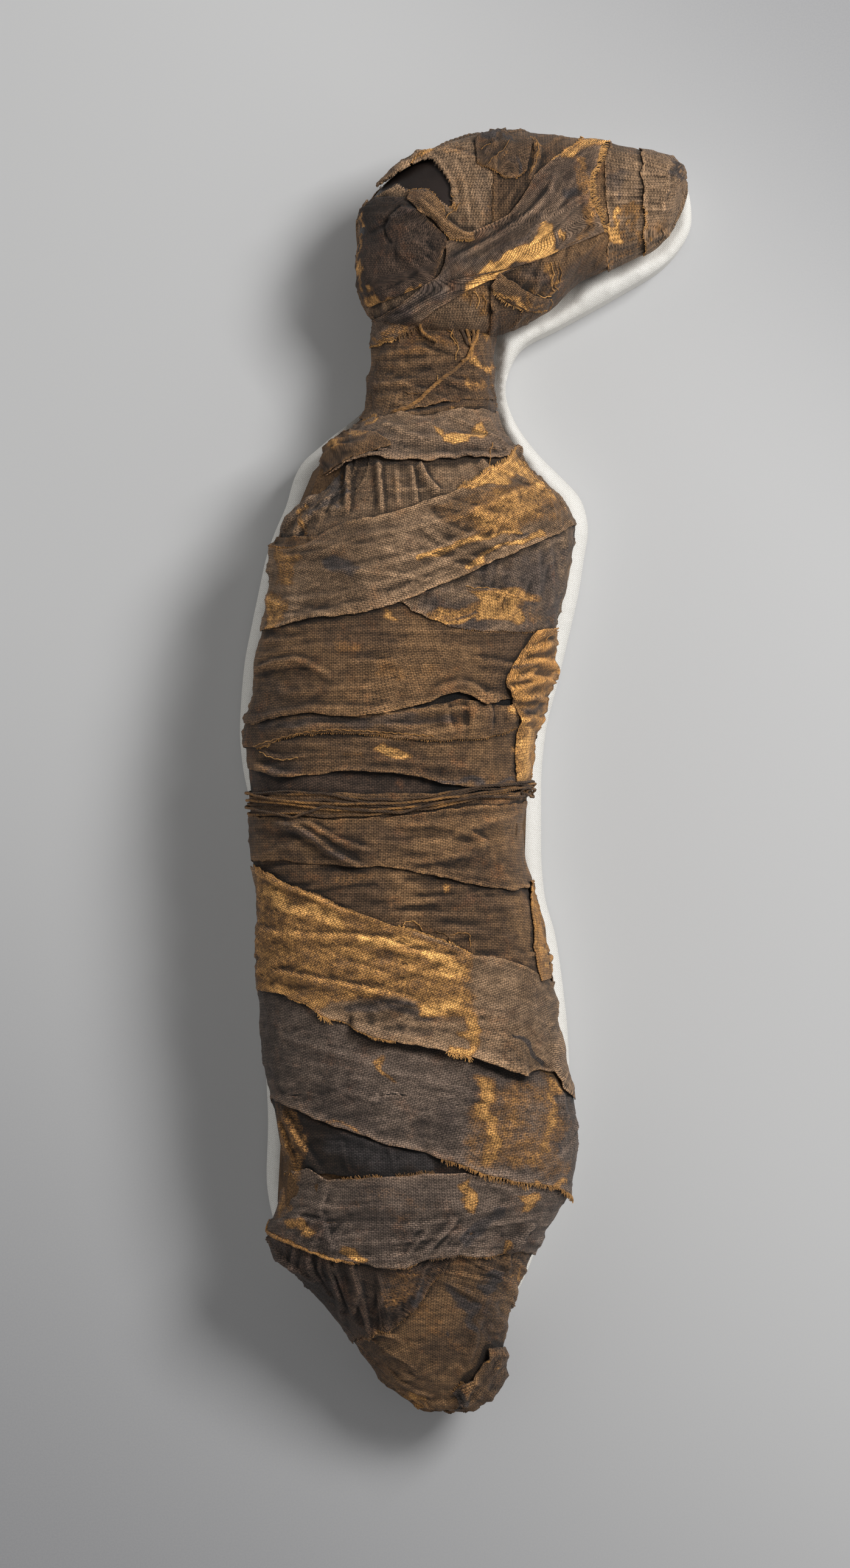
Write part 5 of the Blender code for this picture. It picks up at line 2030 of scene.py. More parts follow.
TORSO_WRAPPINGS = (
    Wrap("mid_torso_wrap", BROWN_LINEN, "380,1306 960,1306", "380,1600 960,1690", 150, crease=0.65, slant=5,
        strokes=(Stroke("585,1496 669,1500 746,1502 823,1504 873,1500", 0.9, 1.1, PLEAT),
            Stroke("592,1470 660,1476 760,1482 860,1478", 2.4, 1.0),
            Stroke("700,1522 780,1532 860,1545", 1.8, 1.0),
            Stroke("769,1563 823,1575 862,1586", 0.9, 1.0, PLEAT),
            Stroke("640,1448 700,1462 780,1462", 2.4, 1.2)),
        gold=(Stain("733,1452 742,1468", 10, 0.8), Stain("560,1440 600,1446", 12, 0.35)),
        dark=(Stain("700,1460 860,1500", 30, 0.25),)),
    Wrap("hip_band", SLATE_LINEN, "380,1606 960,1698",
        "380,1790 443,1805 478,1821 528,1840 574,1855 605,1863 635,1877 682,1884 724,1902 751,1913 785,1925 "
        "824,1936 862,1940 912,1946 939,1964 960,1964", 160, crease=0.32, slant=11,
        strokes=(Stroke("440,1700 540,1725 660,1765 790,1800 920,1830", 2.4, 0.8),
            Stroke("440,1745 560,1790 700,1835 840,1870 940,1890", 2.4, 0.8),
            Stroke("835,1696 865,1719 873,1735 908,1758", 1.3, 3.0, GROOVE),
            Stroke("919,1777 935,1796 945,1830", 1.3, 2.4, GROOVE),
            Stroke("905,1766 925,1800 932,1850", 2.2, 1.4)),
        gold=(Stain("785,1772 850,1768 905,1790 932,1850 936,1935 860,1930 762,1905 757,1875 "
            "768,1836", 14, 0.52, True), Stain("880,1748 912,1752 925,1782 940,1806 900,1800", 8, 0.7, True),
            Stain("790,1775 808,1890", 20, 0.85), Stain("905,1775 900,1900", 14, 0.75),
            Stain("630,1742 648,1775", 8, 0.8), Stain("881,1757 912,1768", 7),
            Stain("520,1838 600,1862", 4, 0.6), Stain("900,1940 936,1950", 9, 0.9)),
        dark=(Stain("874,1794", 8, 0.9), Stain("916,1855 928,1894", 13), Stain("839,1800 842,1870", 11, 0.5),
            Stain("740,1790 742,1860", 26, 0.35), Stain("935,1790 948,1830", 9, 0.7)),
        fringes=(Fringe(LOWER, 724, 950, 4.4, 0.55),),
        curls=(Curl(LOWER, 700, 950, 2.2, 5.0), Curl(LOWER, 440, 700, 2.0, 5.0))),
)

WAIST_WRAPPINGS = (
    Wrap("waist_wrap_lower", BROWN_LINEN, "380,1172 545,1172 648,1163 840,1160 960,1157",
        "380,1262 449,1275 555,1270 594,1268 621,1270 659,1274 698,1282 728,1293 767,1297 960,1300", 170,
        crease=0.8, slant=4,
        strokes=(Stroke("413,1249 432,1261 467,1272 505,1276 544,1280 575,1288", 2.4, 2.8, PLEAT),
            Stroke("428,1232 440,1241 463,1247 490,1243 509,1241", 1.1, 1.8),
            Stroke("555,1266 594,1264 659,1270 698,1278 751,1291", 1.4, 1.6),
            Stroke("600,1246 700,1252 800,1264", 2.0, 1.2),
            Stroke("430,1218 520,1222 610,1232", 1.6, 1.2, PLEAT)),
        gold=(Stain("638,1230 664,1240", 10), Stain("868,1200 866,1285", 14, 0.8),
            Stain("560,1250 600,1244", 10, 0.4)),
        dark=(Stain("690,1286 760,1292 844,1290", 6, 0.9), Stain("430,1262 500,1268", 10, 0.5)),
        curls=(Curl(LOWER, 540, 800, 1.8, 3.0),)),
    Wrap("waist_wrap_upper", BROWN_LINEN, "380,1170 421,1176 533,1171 648,1172 759,1150 840,1158 960,1155",
        "380,1232 419,1228 459,1217 517,1205 551,1203 605,1205 659,1209 713,1213 759,1209 798,1211 844,1197 "
        "960,1197", 180, crease=0.8, slant=-4,
        strokes=(Stroke("768,1174 812,1174", 9.0, 4.2),
            Stroke("733,1150 737,1180 746,1205", 2.0, 1.8, PLEAT),
            Stroke("425,1205 500,1192 600,1188 700,1192", 1.8, 1.6, PLEAT),
            Stroke("844,1150 840,1190", 2.0, 1.4)),
        gold=(Stain("850,1160 890,1185", 16, 0.7), Stain("560,1200 640,1204", 4, 0.5)),
        dark=(Stain("425,1186 560,1184 736,1182", 12, 0.65),),
        fringes=(Fringe(LOWER, 419, 850, 1.5, 1.2, Tone.RUST),),
        threads=("419,1226 459,1213 517,1201 551,1199 605,1201 659,1205 713,1209",
            "428,1234 441,1242 465,1248 492,1244")),
)

CHEST_WRAPPINGS = (
    Wrap("chest_linen", PALE_LINEN, "440,742 700,733 900,733 990,800", "380,905 990,895", 190, crease=0.5,
        slant=70,
        strokes=(Stroke("577,758 574,800 570,845", 1.5, 3.4, PLEAT),
            Stroke("625,755 627,800 630,840", 1.5, 3.8, PLEAT), Stroke("677,760 687,830", 1.5, 2.4, PLEAT),
            Stroke("690,755 702,783 725,808", 2.0, 4.0, PLEAT), Stroke("790,752 808,772", 1.6, 2.4, PLEAT),
            Stroke("650,765 655,830", 1.6, 1.6), Stroke("565,787 540,815 521,853", 2.2, 2.0, PLEAT),
            Stroke("522,807 490,832 456,878", 2.0, 2.4, PLEAT),
            Stroke("520,836 496,858 480,885", 1.8, 2.4, PLEAT), Stroke("538,838 552,830 563,840", 2.4, 1.4),
            Stroke("470,886 495,887 518,884", 1.8, 3.4, GROOVE)),
        dark=(Stain("521,853 540,815 565,787", 10, 0.9), Stain("470,886 518,886", 9, 1.1),
            Stain("460,870 510,820", 22, 0.5), Stain("545,838 556,846", 5, 0.9)),
        gold=(Stain("487,845 511,887", 6, 0.8), Stain("640,790 665,800", 14, 0.3)),
        threads=("487,843 496,862 511,886", "500,798 497,806 492,812")),
    Wrap("chest_wrap", BROWN_LINEN, "380,880 990,880",
        "380,1185 421,1188 455,1178 505,1170 563,1170 621,1172 659,1161 705,1149 736,1136 755,1132 778,1138 "
        "798,1151 828,1149 990,1150", 200, crease=0.75, slant=-2,
        strokes=(Stroke("565,1086 584,1085 595,1083 622,1086 661,1083", 1.6, 2.0, PLEAT),
            Stroke("776,1081 815,1086 849,1092", 1.6, 2.0, PLEAT),
            Stroke("416,1105 443,1090 482,1083 512,1094 547,1113", 2.2, 2.0),
            Stroke("705,1140 736,1127 755,1122 778,1128 798,1142 828,1141", 2.2, 2.8),
            Stroke("538,1036 620,1032 700,1034 780,1036 853,1036", 0.9, 1.2, PLEAT),
            Stroke("430,1070 520,1062 640,1060 760,1064 860,1072", 2.0, 0.9),
            Stroke("440,1140 560,1132 680,1122", 2.0, 1.2),
            Stroke("421,1180 455,1171 505,1163 563,1163 621,1165 659,1154", 1.6, 1.4)),
        gold=(Stain("633,1000 655,1020", 7, 0.8), Stain("640,1100 700,1096", 18, 0.35),
            Stain("560,1060 600,1064", 14, 0.3)),
        dark=(Stain("430,1110 460,1150", 16, 0.4),),
        curls=(Curl(LOWER, 700, 830, 2.4, 4.0), Curl(LOWER, 418, 700, 1.2, 3.0))),
    Patch("chest_panel", PANEL_LINEN, "640,972 740,935 812,905 880,872 950,848",
        "650,985 707,1016 755,1033 805,1036 860,1036 925,1030", 210, crease=0.35, slant=84,
        strokes=(Stroke("765,961 791,967 815,969 838,977 855,979", 1.1, 1.8, PLEAT),
            Stroke("935,877 930,940 925,992", 2.4, 1.6), Stroke("880,900 884,950 880,1000", 1.6, 0.9),
            Stroke("905,890 906,950 903,1010", 1.4, 0.9)),
        fringes=(Fringe(LOWER, 760, 925, 1.3, 1.4, Tone.BROWN),),
        gold=(Stain("776,968 820,974 855,982 853,1028 785,1026", 5, 0.95, True),
            Stain("707,1008 778,1010", 6, 0.95), Stain("712,1000 790,990 880,985", 10, 0.7),
            Stain("734,990 753,1000", 5, 0.8), Stain("862,1005 905,1015", 9, 0.4)),
        dark=(Stain("928,877 945,870 940,985 928,990", 5, 0.6, True), Stain("790,935 900,905", 14, 0.3)),
        threads=("765,962 778,967 793,966 815,970 838,979 853,981", "832,976 826,990 829,1002")),
    Patch("side_cloth", OCHRE_LINEN,
        "884,1036 868,1060 846,1092 834,1122 846,1152 852,1180 848,1230 852,1288",
        "916,1030 922,1080 912,1130 900,1170 892,1200 888,1240 884,1288", 220, crease=0.8, slant=10,
        puff=1.2,
        strokes=(Stroke("868,1066 885,1062 912,1050", 2.0, 2.6, PLEAT),
            Stroke("852,1092 880,1082 915,1090", 1.8, 2.6, PLEAT),
            Stroke("840,1115 870,1108 905,1118", 1.8, 2.6, PLEAT),
            Stroke("832,1142 843,1158 853,1173", 1.1, 2.8, GROOVE),
            Stroke("855,1150 880,1146 900,1150", 1.8, 2.2),
            Stroke("846,1180 870,1176 892,1182", 1.6, 2.2, PLEAT),
            Stroke("864,1190 864,1240 868,1280", 3.0, 1.0)),
        dark=(Stain("836,1146 853,1172", 6, 1.1), Stain("850,1088 880,1094", 7, 0.7),
            Stain("870,1168 890,1166", 7, 0.8), Stain("862,1080 840,1125", 9, 0.5)),
        gold=(Stain("866,1190 866,1280", 14, 0.9),),
        threads=("868,1075 880,1055 899,1036", "888,1063 898,1046 911,1036", "850,1096 862,1074 876,1052")),
)

LOWER_TORSO_WRAPPINGS = (
    Wrap("upper_torso_wrap", BROWN_LINEN, "380,1345 491,1345 648,1345 743,1332 832,1320 960,1316",
        "380,1410 440,1412 528,1422 575,1426 621,1424 671,1430 709,1436 748,1443 794,1451 844,1457 960,1458",
        230, crease=0.65, slant=5,
        strokes=(Stroke("444,1350 490,1356 525,1378 548,1397 582,1417 605,1424", 2.2, 4.2, PLEAT),
            Stroke("470,1346 510,1352 560,1380 620,1400", 1.8, 2.4, PLEAT),
            Stroke("744,1361 775,1368 805,1384", 2.0, 2.2, PLEAT),
            Stroke("600,1380 680,1392 760,1408", 2.0, 1.0), Stroke("640,1356 740,1348 840,1338", 1.8, 1.0),
            Stroke("700,1424 760,1434 840,1444", 1.4, 1.0)),
        dark=(Stain("470,1362 560,1410", 10, 0.6), Stain("640,1365 720,1380", 26, 0.25)),
        curls=(Curl(LOWER, 520, 880, 0.9, 2.5),)),
    Wrap("ochre_wrap", PALE_LINEN,
        "380,1410 415,1423 442,1435 469,1450 504,1462 527,1471 554,1488 585,1496 631,1515 669,1529 692,1535 "
        "715,1546 746,1554 769,1567 823,1577 862,1588 904,1610 960,1640",
        "380,1612 419,1619 438,1627 469,1638 515,1654 527,1665 562,1673 585,1685 615,1700 646,1708 692,1719 "
        "738,1731 777,1738 808,1746 835,1758 862,1766 876,1756 886,1751 897,1755 909,1759 919,1777 930,1794 "
        "946,1805 960,1812", 240, crease=0.7, slant=14,
        strokes=(Stroke("480,1538 560,1536 631,1542 669,1560 746,1573 773,1573", 2.0, 2.4, PLEAT),
            Stroke("432,1590 496,1604 554,1615 600,1623 669,1638 700,1654", 2.4, 3.0, PLEAT),
            Stroke("540,1590 565,1582 608,1592 640,1606", 2.0, 1.4, PLEAT),
            Stroke("440,1480 520,1510 600,1525", 2.4, 1.2), Stroke("620,1577 700,1600 765,1610", 1.6, 1.0),
            Stroke("415,1429 442,1441 469,1456 504,1468 554,1492", 1.6, 1.8),
            Stroke("430,1520 470,1535 500,1530", 2.0, 1.4, PLEAT),
            Stroke("640,1680 720,1684 860,1682", 1.6, 1.0),
            Stroke("831,1696 848,1706 865,1719 873,1735 885,1746 908,1758", 1.5, 3.4, GROOVE)),
        gold=(Stain("390,1400 470,1440 560,1480 640,1515 700,1535 765,1560 775,1600 768,1680 730,1672 "
            "690,1640 660,1630 590,1632 530,1662 470,1642 390,1630", 9, 0.66, True),
            Stain("766,1680 770,1735", 9, 0.95), Stain("600,1545 690,1560 745,1592", 22, 1.15),
            Stain("440,1470 560,1522", 20, 0.95), Stain("700,1655 750,1640", 16, 1.15),
            Stain("735,1735 775,1742", 7)),
        dark=(Stain("612,1590 640,1608 676,1612", 13, 0.8), Stain("590,1650 640,1652 700,1668", 14, 0.75),
            Stain("590,1690 700,1700", 18, 0.4), Stain("480,1545 600,1552", 7, 0.5),
            Stain("560,1620 690,1648", 5, 0.8),
            Stain("831,1696 851,1706 867,1719 873,1734 884,1747", 4.5, 2.2),
            Stain("815,1640 900,1660 930,1740", 45, 0.35)),
        fringes=(Fringe(UPPER, 416, 590, 1.8, 0.8), Fringe(UPPER, 655, 778, 2.6, 0.45, Tone.GOLD, 0.8),
            Fringe(LOWER, 470, 612, 1.5, 1.0), Fringe(LOWER, 517, 543, 5.0, 0.45, Tone.GOLD, 0.7),
            Fringe(LOWER, 604, 652, 2.6, 0.7), Fringe(LOWER, 734, 776, 5.5, 0.45, Tone.GOLD, 0.7)),
        curls=(Curl(LOWER, 575, 870, 8.0, 8.0), Curl(LOWER, 420, 575, 1.4, 4.0),
            Curl(UPPER, 416, 600, 1.2, 2.5)),
        threads=("662,1519 670,1513 682,1514 694,1528", "700,1533 715,1530 735,1537 745,1556",
            "740,1537 757,1532 773,1538 773,1556")),
    Patch("side_strip", OCHRE_LINEN, "872,1446 876,1500 880,1560 888,1612",
        "884,1446 898,1500 908,1560 910,1606", 250, crease=0.5, slant=80,
        gold=(Stain("890,1560 898,1600", 9),),
        threads=("878,1480 884,1492 886,1510 881,1524",)),
)

NECK_WRAPPINGS = (
    Wrap("neck_wrap_lower", BROWN_LINEN, "500,622 860,600", "500,745 900,738", 260, crease=0.7, slant=-14,
        strokes=(Stroke("606,690 680,680 760,664 815,660", 2.2, 1.2),
            Stroke("606,712 680,704 740,694", 1.8, 1.0)),
        gold=(Stain("776,604 800,612 804,650", 11, 0.7), Stain("760,668 760,686", 6),
            Stain("820,672 822,690", 6, 0.7)),
        dark=(Stain("606,640 630,680", 16, 0.4),)),
    Wrap("neck_wrap_upper", BROWN_LINEN, "560,470 860,470", "560,690 650,682 760,660 860,650", 270,
        crease=0.7, slant=-8,
        strokes=(Stroke("606,600 680,596 750,588", 2.2, 1.2),
            Stroke("604,632 640,628 700,618", 2.0, 1.2, PLEAT), Stroke("606,590 640,580 690,572", 2.0, 1.4),
            Stroke("610,655 680,646 730,636", 1.6, 0.9)),
        gold=(Stain("787,520 812,520 808,566 790,568", 8, 0.9, True), Stain("780,590 806,602", 9, 0.8),
            Stain("776,625 800,640", 10, 0.6), Stain("655,590 700,582", 10, 0.35),
            Stain("690,566 740,570", 9, 0.4)),
        threads=("664,642 676,648 689,646", "718,618 719,628 722,634", "700,522 722,532 744,548 752,566",
            "726,518 748,522 768,534 776,552", "736,516 746,532 742,552 752,570 748,592",
            "770,520 784,536 786,556 778,574")),
    Patch("cheek_band_tail", GREY_LINEN, "600,534 646,510 687,487 730,462",
        "604,568 622,562 641,557 653,549 690,530 730,508", 265, crease=0.4, slant=-30, puff=0.8,
        gold=(Stain("604,566 640,556", 6, 0.8), Stain("625,545 665,528", 10, 0.5)),
        fringes=(Fringe(LOWER, 604, 650, 2.2, 0.6, Tone.GOLD, 0.6),
            Fringe(LOWER, 650, 716, 5.2, 0.9, Tone.BROWN, 0.9)),
        strokes=(Stroke("612,556 650,534 700,505", 1.8, 1.0),)),
    Wrap("collar_wrap", COLLAR_LINEN, "540,706 580,700 617,684 700,682 760,672 860,682",
        "480,805 525,793 551,780 577,763 597,757 627,755 660,757 710,758 760,755 793,753 823,752 845,745 "
        "900,740", 280, crease=0.4, slant=4,
        strokes=(Stroke("590,724 660,722 740,726 820,720", 2.4, 1.0),
            Stroke("577,757 640,748 760,748 820,745", 1.6, 1.2),
            Stroke("843,712 845,730", 2.0, 3.0, GROOVE)),
        gold=(Stain("720,703 793,701 789,711 772,722 748,723 730,713", 3, 1.1, True),
            Stain("596,692 616,680", 7, 0.8)),
        dark=(Stain("844,719", 10, 1.1), Stain("610,728 700,722", 20, 0.25)),
        fringes=(Fringe(UPPER, 592, 618, 2.4, 0.8),),
        curls=(Curl(LOWER, 520, 850, 2.6, 3.0),),
        threads=("805,783 806,762 804,744 807,731",)),
    Wrap("shoulder_sash", PALE_LINEN,
        "380,915 443,907 465,902 488,898 508,892 525,878 541,867 565,857 600,848 650,838 700,825 765,800 "
        "795,780 838,752 854,728 930,735 1000,760",
        "380,1040 438,1035 499,1021 576,1013 622,1000 676,979 726,958 768,942 815,919 888,886 945,860 "
        "1000,835", 290, crease=0.52, slant=-20,
        strokes=(Stroke("560,884 650,872 760,846 860,808 930,778", 2.2, 1.2),
            Stroke("500,950 620,930 720,900 830,855 930,806", 2.2, 1.1),
            Stroke("445,990 560,978 660,950 760,910 860,866", 2.0, 1.2),
            Stroke("450,1018 540,1004 630,984 700,955", 1.6, 1.0),
            Stroke("456,915 500,912 560,900", 1.6, 1.6, PLEAT),
            Stroke("443,912 441,960 440,1025", 1.4, 1.4)),
        gold=(Stain("699,910 722,902 757,896 784,890 815,879 838,869 853,875", 6),
            Stain("776,927 834,906 861,894 893,878", 6),
            Stain("760,797 790,783 813,767 833,750 843,738 862,745 884,772 902,806 880,800 850,782 820,796 "
            "790,806", 5, 0.9, True), Stain("453,906 490,906 486,958 455,960", 7, 0.7, True),
            Stain("438,969 468,975 463,1028 438,1030", 7, 0.75, True), Stain("735,840 800,815", 14, 0.35),
            # Partly a golden stain, partly a painted highlight on the sash's lit right side
            Stain("720,860 850,800 930,770 930,830 800,890", 24, 0.72, True)),
        dark=(Stain("548,914 585,935", 13, 0.9), Stain("845,880 868,882", 6),
            Stain("600,885 690,866", 30, 0.25)),
        fringes=(Fringe(UPPER, 748, 848, 3.0, 0.55, Tone.GOLD, 0.6),
            Fringe(UPPER, 443, 512, 1.6, 1.1, Tone.BROWN)),
        curls=(Curl(UPPER, 560, 850, 1.4, 3.0), Curl(LOWER, 430, 950, 1.4, 3.0))),
    Patch("left_shoulder_fold", BROWN_LINEN, "506,772 529,735 555,714 585,706 615,714 642,727",
        "514,786 538,784 560,770 585,757 615,746 644,734", 300, crease=0.8, slant=-35, puff=0.8,
        strokes=(Stroke("525,768 556,742 610,728", 1.6, 1.6, PLEAT),
            Stroke("526,750 556,728 600,718", 1.6, 1.4, PLEAT)),
        gold=(Stain("512,768 532,736 558,714 596,704", 7, 0.9),),
        dark=(Stain("540,770 580,752", 9, 0.6),),
        fringes=(Fringe(UPPER, 520, 580, 1.8, 0.9),)),
    Patch("foot_end_flap", BROWN_LINEN, "803,2214 795,2235 782,2258 765,2274 744,2294",
        "832,2212 835,2250 828,2284 806,2308 772,2320", 310, crease=0.5, slant=40, wave=0.45, puff=2.4,
        strokes=(Stroke("795,2226 804,2230", 3.0, 2.6),
            Stroke("783,2262 768,2280 760,2300 750,2304", 1.8, 2.8),
            Stroke("748,2286 755,2302", 2.6, 4.4, GROOVE),
            Stroke("790,2296 812,2276 824,2244", 2.0, 2.0, PLEAT), Stroke("806,2222 830,2220", 1.6, 1.6)),
        dark=(Stain("748,2284 757,2303", 10, 1.2), Stain("784,2300 820,2270", 10, 0.4)),
        gold=(Stain("800,2237", 4, 0.9),),
        fringes=(Fringe(UPPER, 740, 765, 2.2, 0.9, Tone.BROWN),)),
)

CROWN_HOLE = ("600,322 612,310 628,300 655,282 676,269 692,262 709,260 725,279 740,302 744,341 728,333 "
              "702,312 671,314 652,302 629,316 606,331")

HEAD_WRAPPINGS = (
    Wrap("head_shroud", INNER_WRAPPING, "540,200 540,600", "1200,200 1200,600", 400, crease=0.3,
        hole=CROWN_HOLE, coarse=2),
    Wrap("crown_wrap", PALE_LINEN, "540,200 540,600", "812,200 811,600", 410, crease=0.55, slant=60,
        hole=CROWN_HOLE,
        strokes=(Stroke("745,250 765,300 770,360", 2.2, 1.2, PLEAT),
            Stroke("728,398 725,448 713,463", 2.2, 2.6, GROOVE),
            Stroke("634,289 676,266 690,255 709,254 722,264 733,282 746,304 750,332", 1.0, 1.4),
            Stroke("770,226 800,218 835,222", 1.4, 2.0, GROOVE),
            Stroke("748,345 765,362 778,378", 1.6, 2.0, GROOVE)),
        gold=(Stain("636,288 690,256 716,258", 5, 0.7), Stain("715,240 745,252", 14, 0.4),
            Stain("748,335 756,345", 6, 0.8), Stain("770,470 800,500", 22, 0.5),
            Stain("740,300 790,330", 30, 0.2)),
        dark=(Stain("800,300 806,340", 18, 0.5), Stain("640,520 700,500", 14, 0.5)),
        threads=("733,358 738,350 748,344 756,333", "740,320 746,322", "739,326 746,329",
            "622,297 620,288 624,283")),
    Wrap("cheek_wrap", BROWN_LINEN, "806,200 806,600", "1004,200 1004,600", 420, crease=0.5, slant=-30,
        strokes=(Stroke("850,446 880,458 920,448", 1.8, 1.4, PLEAT),
            Stroke("878,226 885,246 881,268 873,284 867,301", 1.9, 2.6),
            Stroke("770,480 800,500 820,515", 1.8, 1.8)),
        gold=(Stain("908,430 915,470", 6, 0.7), Stain("885,480 905,485", 6, 0.7),
            Stain("879,230 884,262", 5, 0.6)),
        dark=(Stain("860,450 895,450", 24, 0.5),),
        threads=("879,228 885,246 880,268 872,284", "875,231 880,250 876,270 869,288",
            "904,430 908,445 903,462 910,478", "911,428 915,446 910,466 916,476", "918,430 921,448 917,462",
            "882,482 894,486 905,484")),
    Wrap("muzzle_wrap", PALE_LINEN, "998,200 998,600", "1200,200 1200,600", 430, crease=0.45, slant=88,
        gold=(Stain("1017,356 1026,345 1037,352 1037,394 1017,398", 4, 1.0, True),
            Stain("1046,345 1050,400", 9, 0.55), Stain("985,420 1012,448", 16, 0.5),
            Stain("1000,425 1040,415", 10, 0.4)),
        dark=(Stain("984,282 1040,278 1036,312 990,312", 9, 0.65, True), Stain("1022,318 1028,330", 7, 0.8),
            Stain("1000,240 1040,270 1040,420", 40, 0.30))),
    Wrap("nose_wrap", PALE_LINEN, "1053,200 1053,281 1060,311 1059,339 1064,367 1059,394 1056,440",
        "1200,200 1200,600", 440, crease=0.32, slant=86,
        strokes=(Stroke("1070,280 1095,283 1118,285", 1.5, 1.0),
            Stroke("1068,310 1092,313 1116,315", 1.5, 1.0), Stroke("1066,342 1088,345 1108,345", 1.5, 1.0),
            Stroke("1109,345 1109,380", 2.0, 2.2, GROOVE), Stroke("1117,252 1117,262", 1.6, 3.2, GROOVE),
            Stroke("1098,267 1100,292 1095,317 1089,356", 1.0, 1.2),
            Stroke("1090,378 1098,390 1092,402", 2.0, 1.4)),
        fringes=(Fringe(UPPER, 336, 425, 1.4, 1.1),),
        gold=(Stain("1062,340 1064,400", 3, 0.8), Stain("1090,360 1100,390", 10, 0.3)),
        dark=(Stain("1108,252 1118,284", 12, 0.9),),
        curls=(Curl(UPPER, 236, 430, 0.8, 2.0),)),
    Patch("nape_patch", DARK_LINEN, "612,326 592,348 590,384 587,420 588,468 606,504",
        "673,325 692,345 716,370 733,392 731,412 710,464", 450, crease=0.65, slant=40, puff=1.0,
        strokes=(Stroke("603,384 631,371 662,337", 1.0, 2.2, GROOVE),
            Stroke("631,371 637,390 651,404", 0.9, 1.8, GROOVE),
            Stroke("631,479 667,459 689,447", 1.0, 2.0, GROOVE),
            Stroke("637,366 662,344 709,349 732,378", 1.6, 2.4, PLEAT), Stroke("655,405 705,405", 7.0, 2.0),
            Stroke("733,395 724,430 716,455", 1.6, 1.6)),
        fringes=(Fringe(UPPER, 335, 500, 1.3, 1.1),),
        gold=(Stain("592,350 588,420 591,470 606,500", 8), Stain("604,498 640,490 690,470", 6, 0.85)),
        dark=(Stain("620,360 660,345", 12, 0.4),)),
    Patch("brow_patch", BROWN_LINEN, "781,232 795,217 820,215 845,224 876,230",
        "783,266 803,276 820,284 840,291 866,280", 460, crease=0.6, slant=-35,
        strokes=(Stroke("792,250 825,232 850,236", 1.2, 1.6, PLEAT),
            Stroke("803,268 830,250 842,236", 1.2, 1.6, PLEAT),
            Stroke("848,250 855,262 850,275 860,286", 0.9, 2.0, GROOVE)),
        fringes=(Fringe(UPPER, 210, 235, 1.8, 0.9, Tone.BROWN),
            Fringe(LOWER, 262, 292, 1.8, 0.9, Tone.BROWN)),
        dark=(Stain("786,219 809,217 842,226", 4, 1.2), Stain("850,250 862,285", 7, 0.9),
            Stain("800,240 836,258", 14, 0.45)),
        gold=(Stain("810,262 832,245", 4, 0.5),),
        threads=("802,272 818,258 832,244 838,234", "790,246 806,240")),
    Patch("jaw_band", BROWN_LINEN, "822,448 834,456 859,474 885,486 908,490",
        "806,470 826,491 848,503 868,510 898,508", 470, crease=0.5, slant=-20, puff=0.8,
        gold=(Stain("820,488 848,502 889,509", 5), Stain("870,496 900,496", 6, 0.7)),
        fringes=(Fringe(LOWER, 474, 513, 3.6, 0.7, Tone.GOLD, 0.4),),
        threads=("905,490 908,500 904,508", "770,482 776,492 772,504", "778,480 788,490 784,508",
            "792,486 800,494 797,506")),
    Wrap("cheek_band", GREY_LINEN,
        "976,222 931,242 904,262 881,288 873,309 859,332 837,354 809,368 776,382 737,396 731,434 720,454 "
        "692,473 664,493 626,518 609,529 600,560",
        "1014,222 1014,229 992,240 987,247 987,272 976,283 973,319 978,339 987,367 992,381 984,406 953,414 "
        "931,419 917,422 876,436 848,441 798,465 748,490 714,509 695,523 659,543 623,557 610,600", 480,
        crease=0.5, slant=-60,
        strokes=(Stroke("731,434 764,415 812,390 848,365 873,346 900,315 914,275", 1.5, 2.8, PLEAT),
            Stroke("700,494 780,452 850,405 910,350 945,290", 1.8, 0.9),
            Stroke("640,530 700,500 760,470", 1.6, 1.0)),
        fringes=(Fringe(LOWER, 240, 411, 6.5, 0.42, Tone.GOLD, 0.6),
            Fringe(UPPER, 223, 262, 3.4, 0.42, Tone.GOLD, 0.8)),
        gold=(Stain("751,489 766,468 806,436 848,410 880,394 888,368 903,368 903,388 914,405 917,422 "
            "876,436 848,441 798,466", 3, 1.3, True), Stain("926,380 927,392", 4),
            Stain("962,262 966,330 976,400", 10, 0.55), Stain("935,250 965,238 1004,230", 13, 0.95)),
        dark=(Stain("780,436 830,408 870,372 890,350", 9, 0.6), Stain("936,312 950,325", 9, 0.9),
            Stain("905,380 915,400", 7, 0.7), Stain("690,488 730,470", 14, 0.6),
            Stain("620,545 700,470 760,425", 24, 0.55), Stain("960,290 905,330", 18, 0.3)),
        curls=(Curl(LOWER, 235, 412, 1.8, 4.0), Curl(UPPER, 300, 400, 1.4, 3.0))),
    Patch("folded_strip", BROWN_LINEN, "673,316 700,312 726,337 737,357 748,368 780,382",
        "673,330 690,346 709,358 730,380 742,394 778,394", 490, crease=0.6, slant=45, puff=1.2,
        strokes=(Stroke("686,322 712,344 732,366 776,388", 1.4, 2.2, PLEAT),),
        gold=(Stain("735,382 742,396", 4, 0.7),),
        fringes=(Fringe(UPPER, 310, 350, 2.0, 0.9), Fringe(LOWER, 380, 396, 1.6, 0.9))),
)

SHROUDS = (
    Wrap("trunk_shroud", INNER_WRAPPING, "380,690 960,690", "380,1800 960,1800", 500, crease=0.35, coarse=2),
    Wrap("neck_shroud", INNER_WRAPPING, "480,480 900,480", "480,700 900,700", 510, crease=0.3, coarse=2),
)


@dataclass(frozen=True)
class Rope:
    """Strands twisted together: how many, with radii and turn in mm."""

    strands: int
    strand_radius: float
    lay_radius: float
    turn: float
    step: float = 1.1


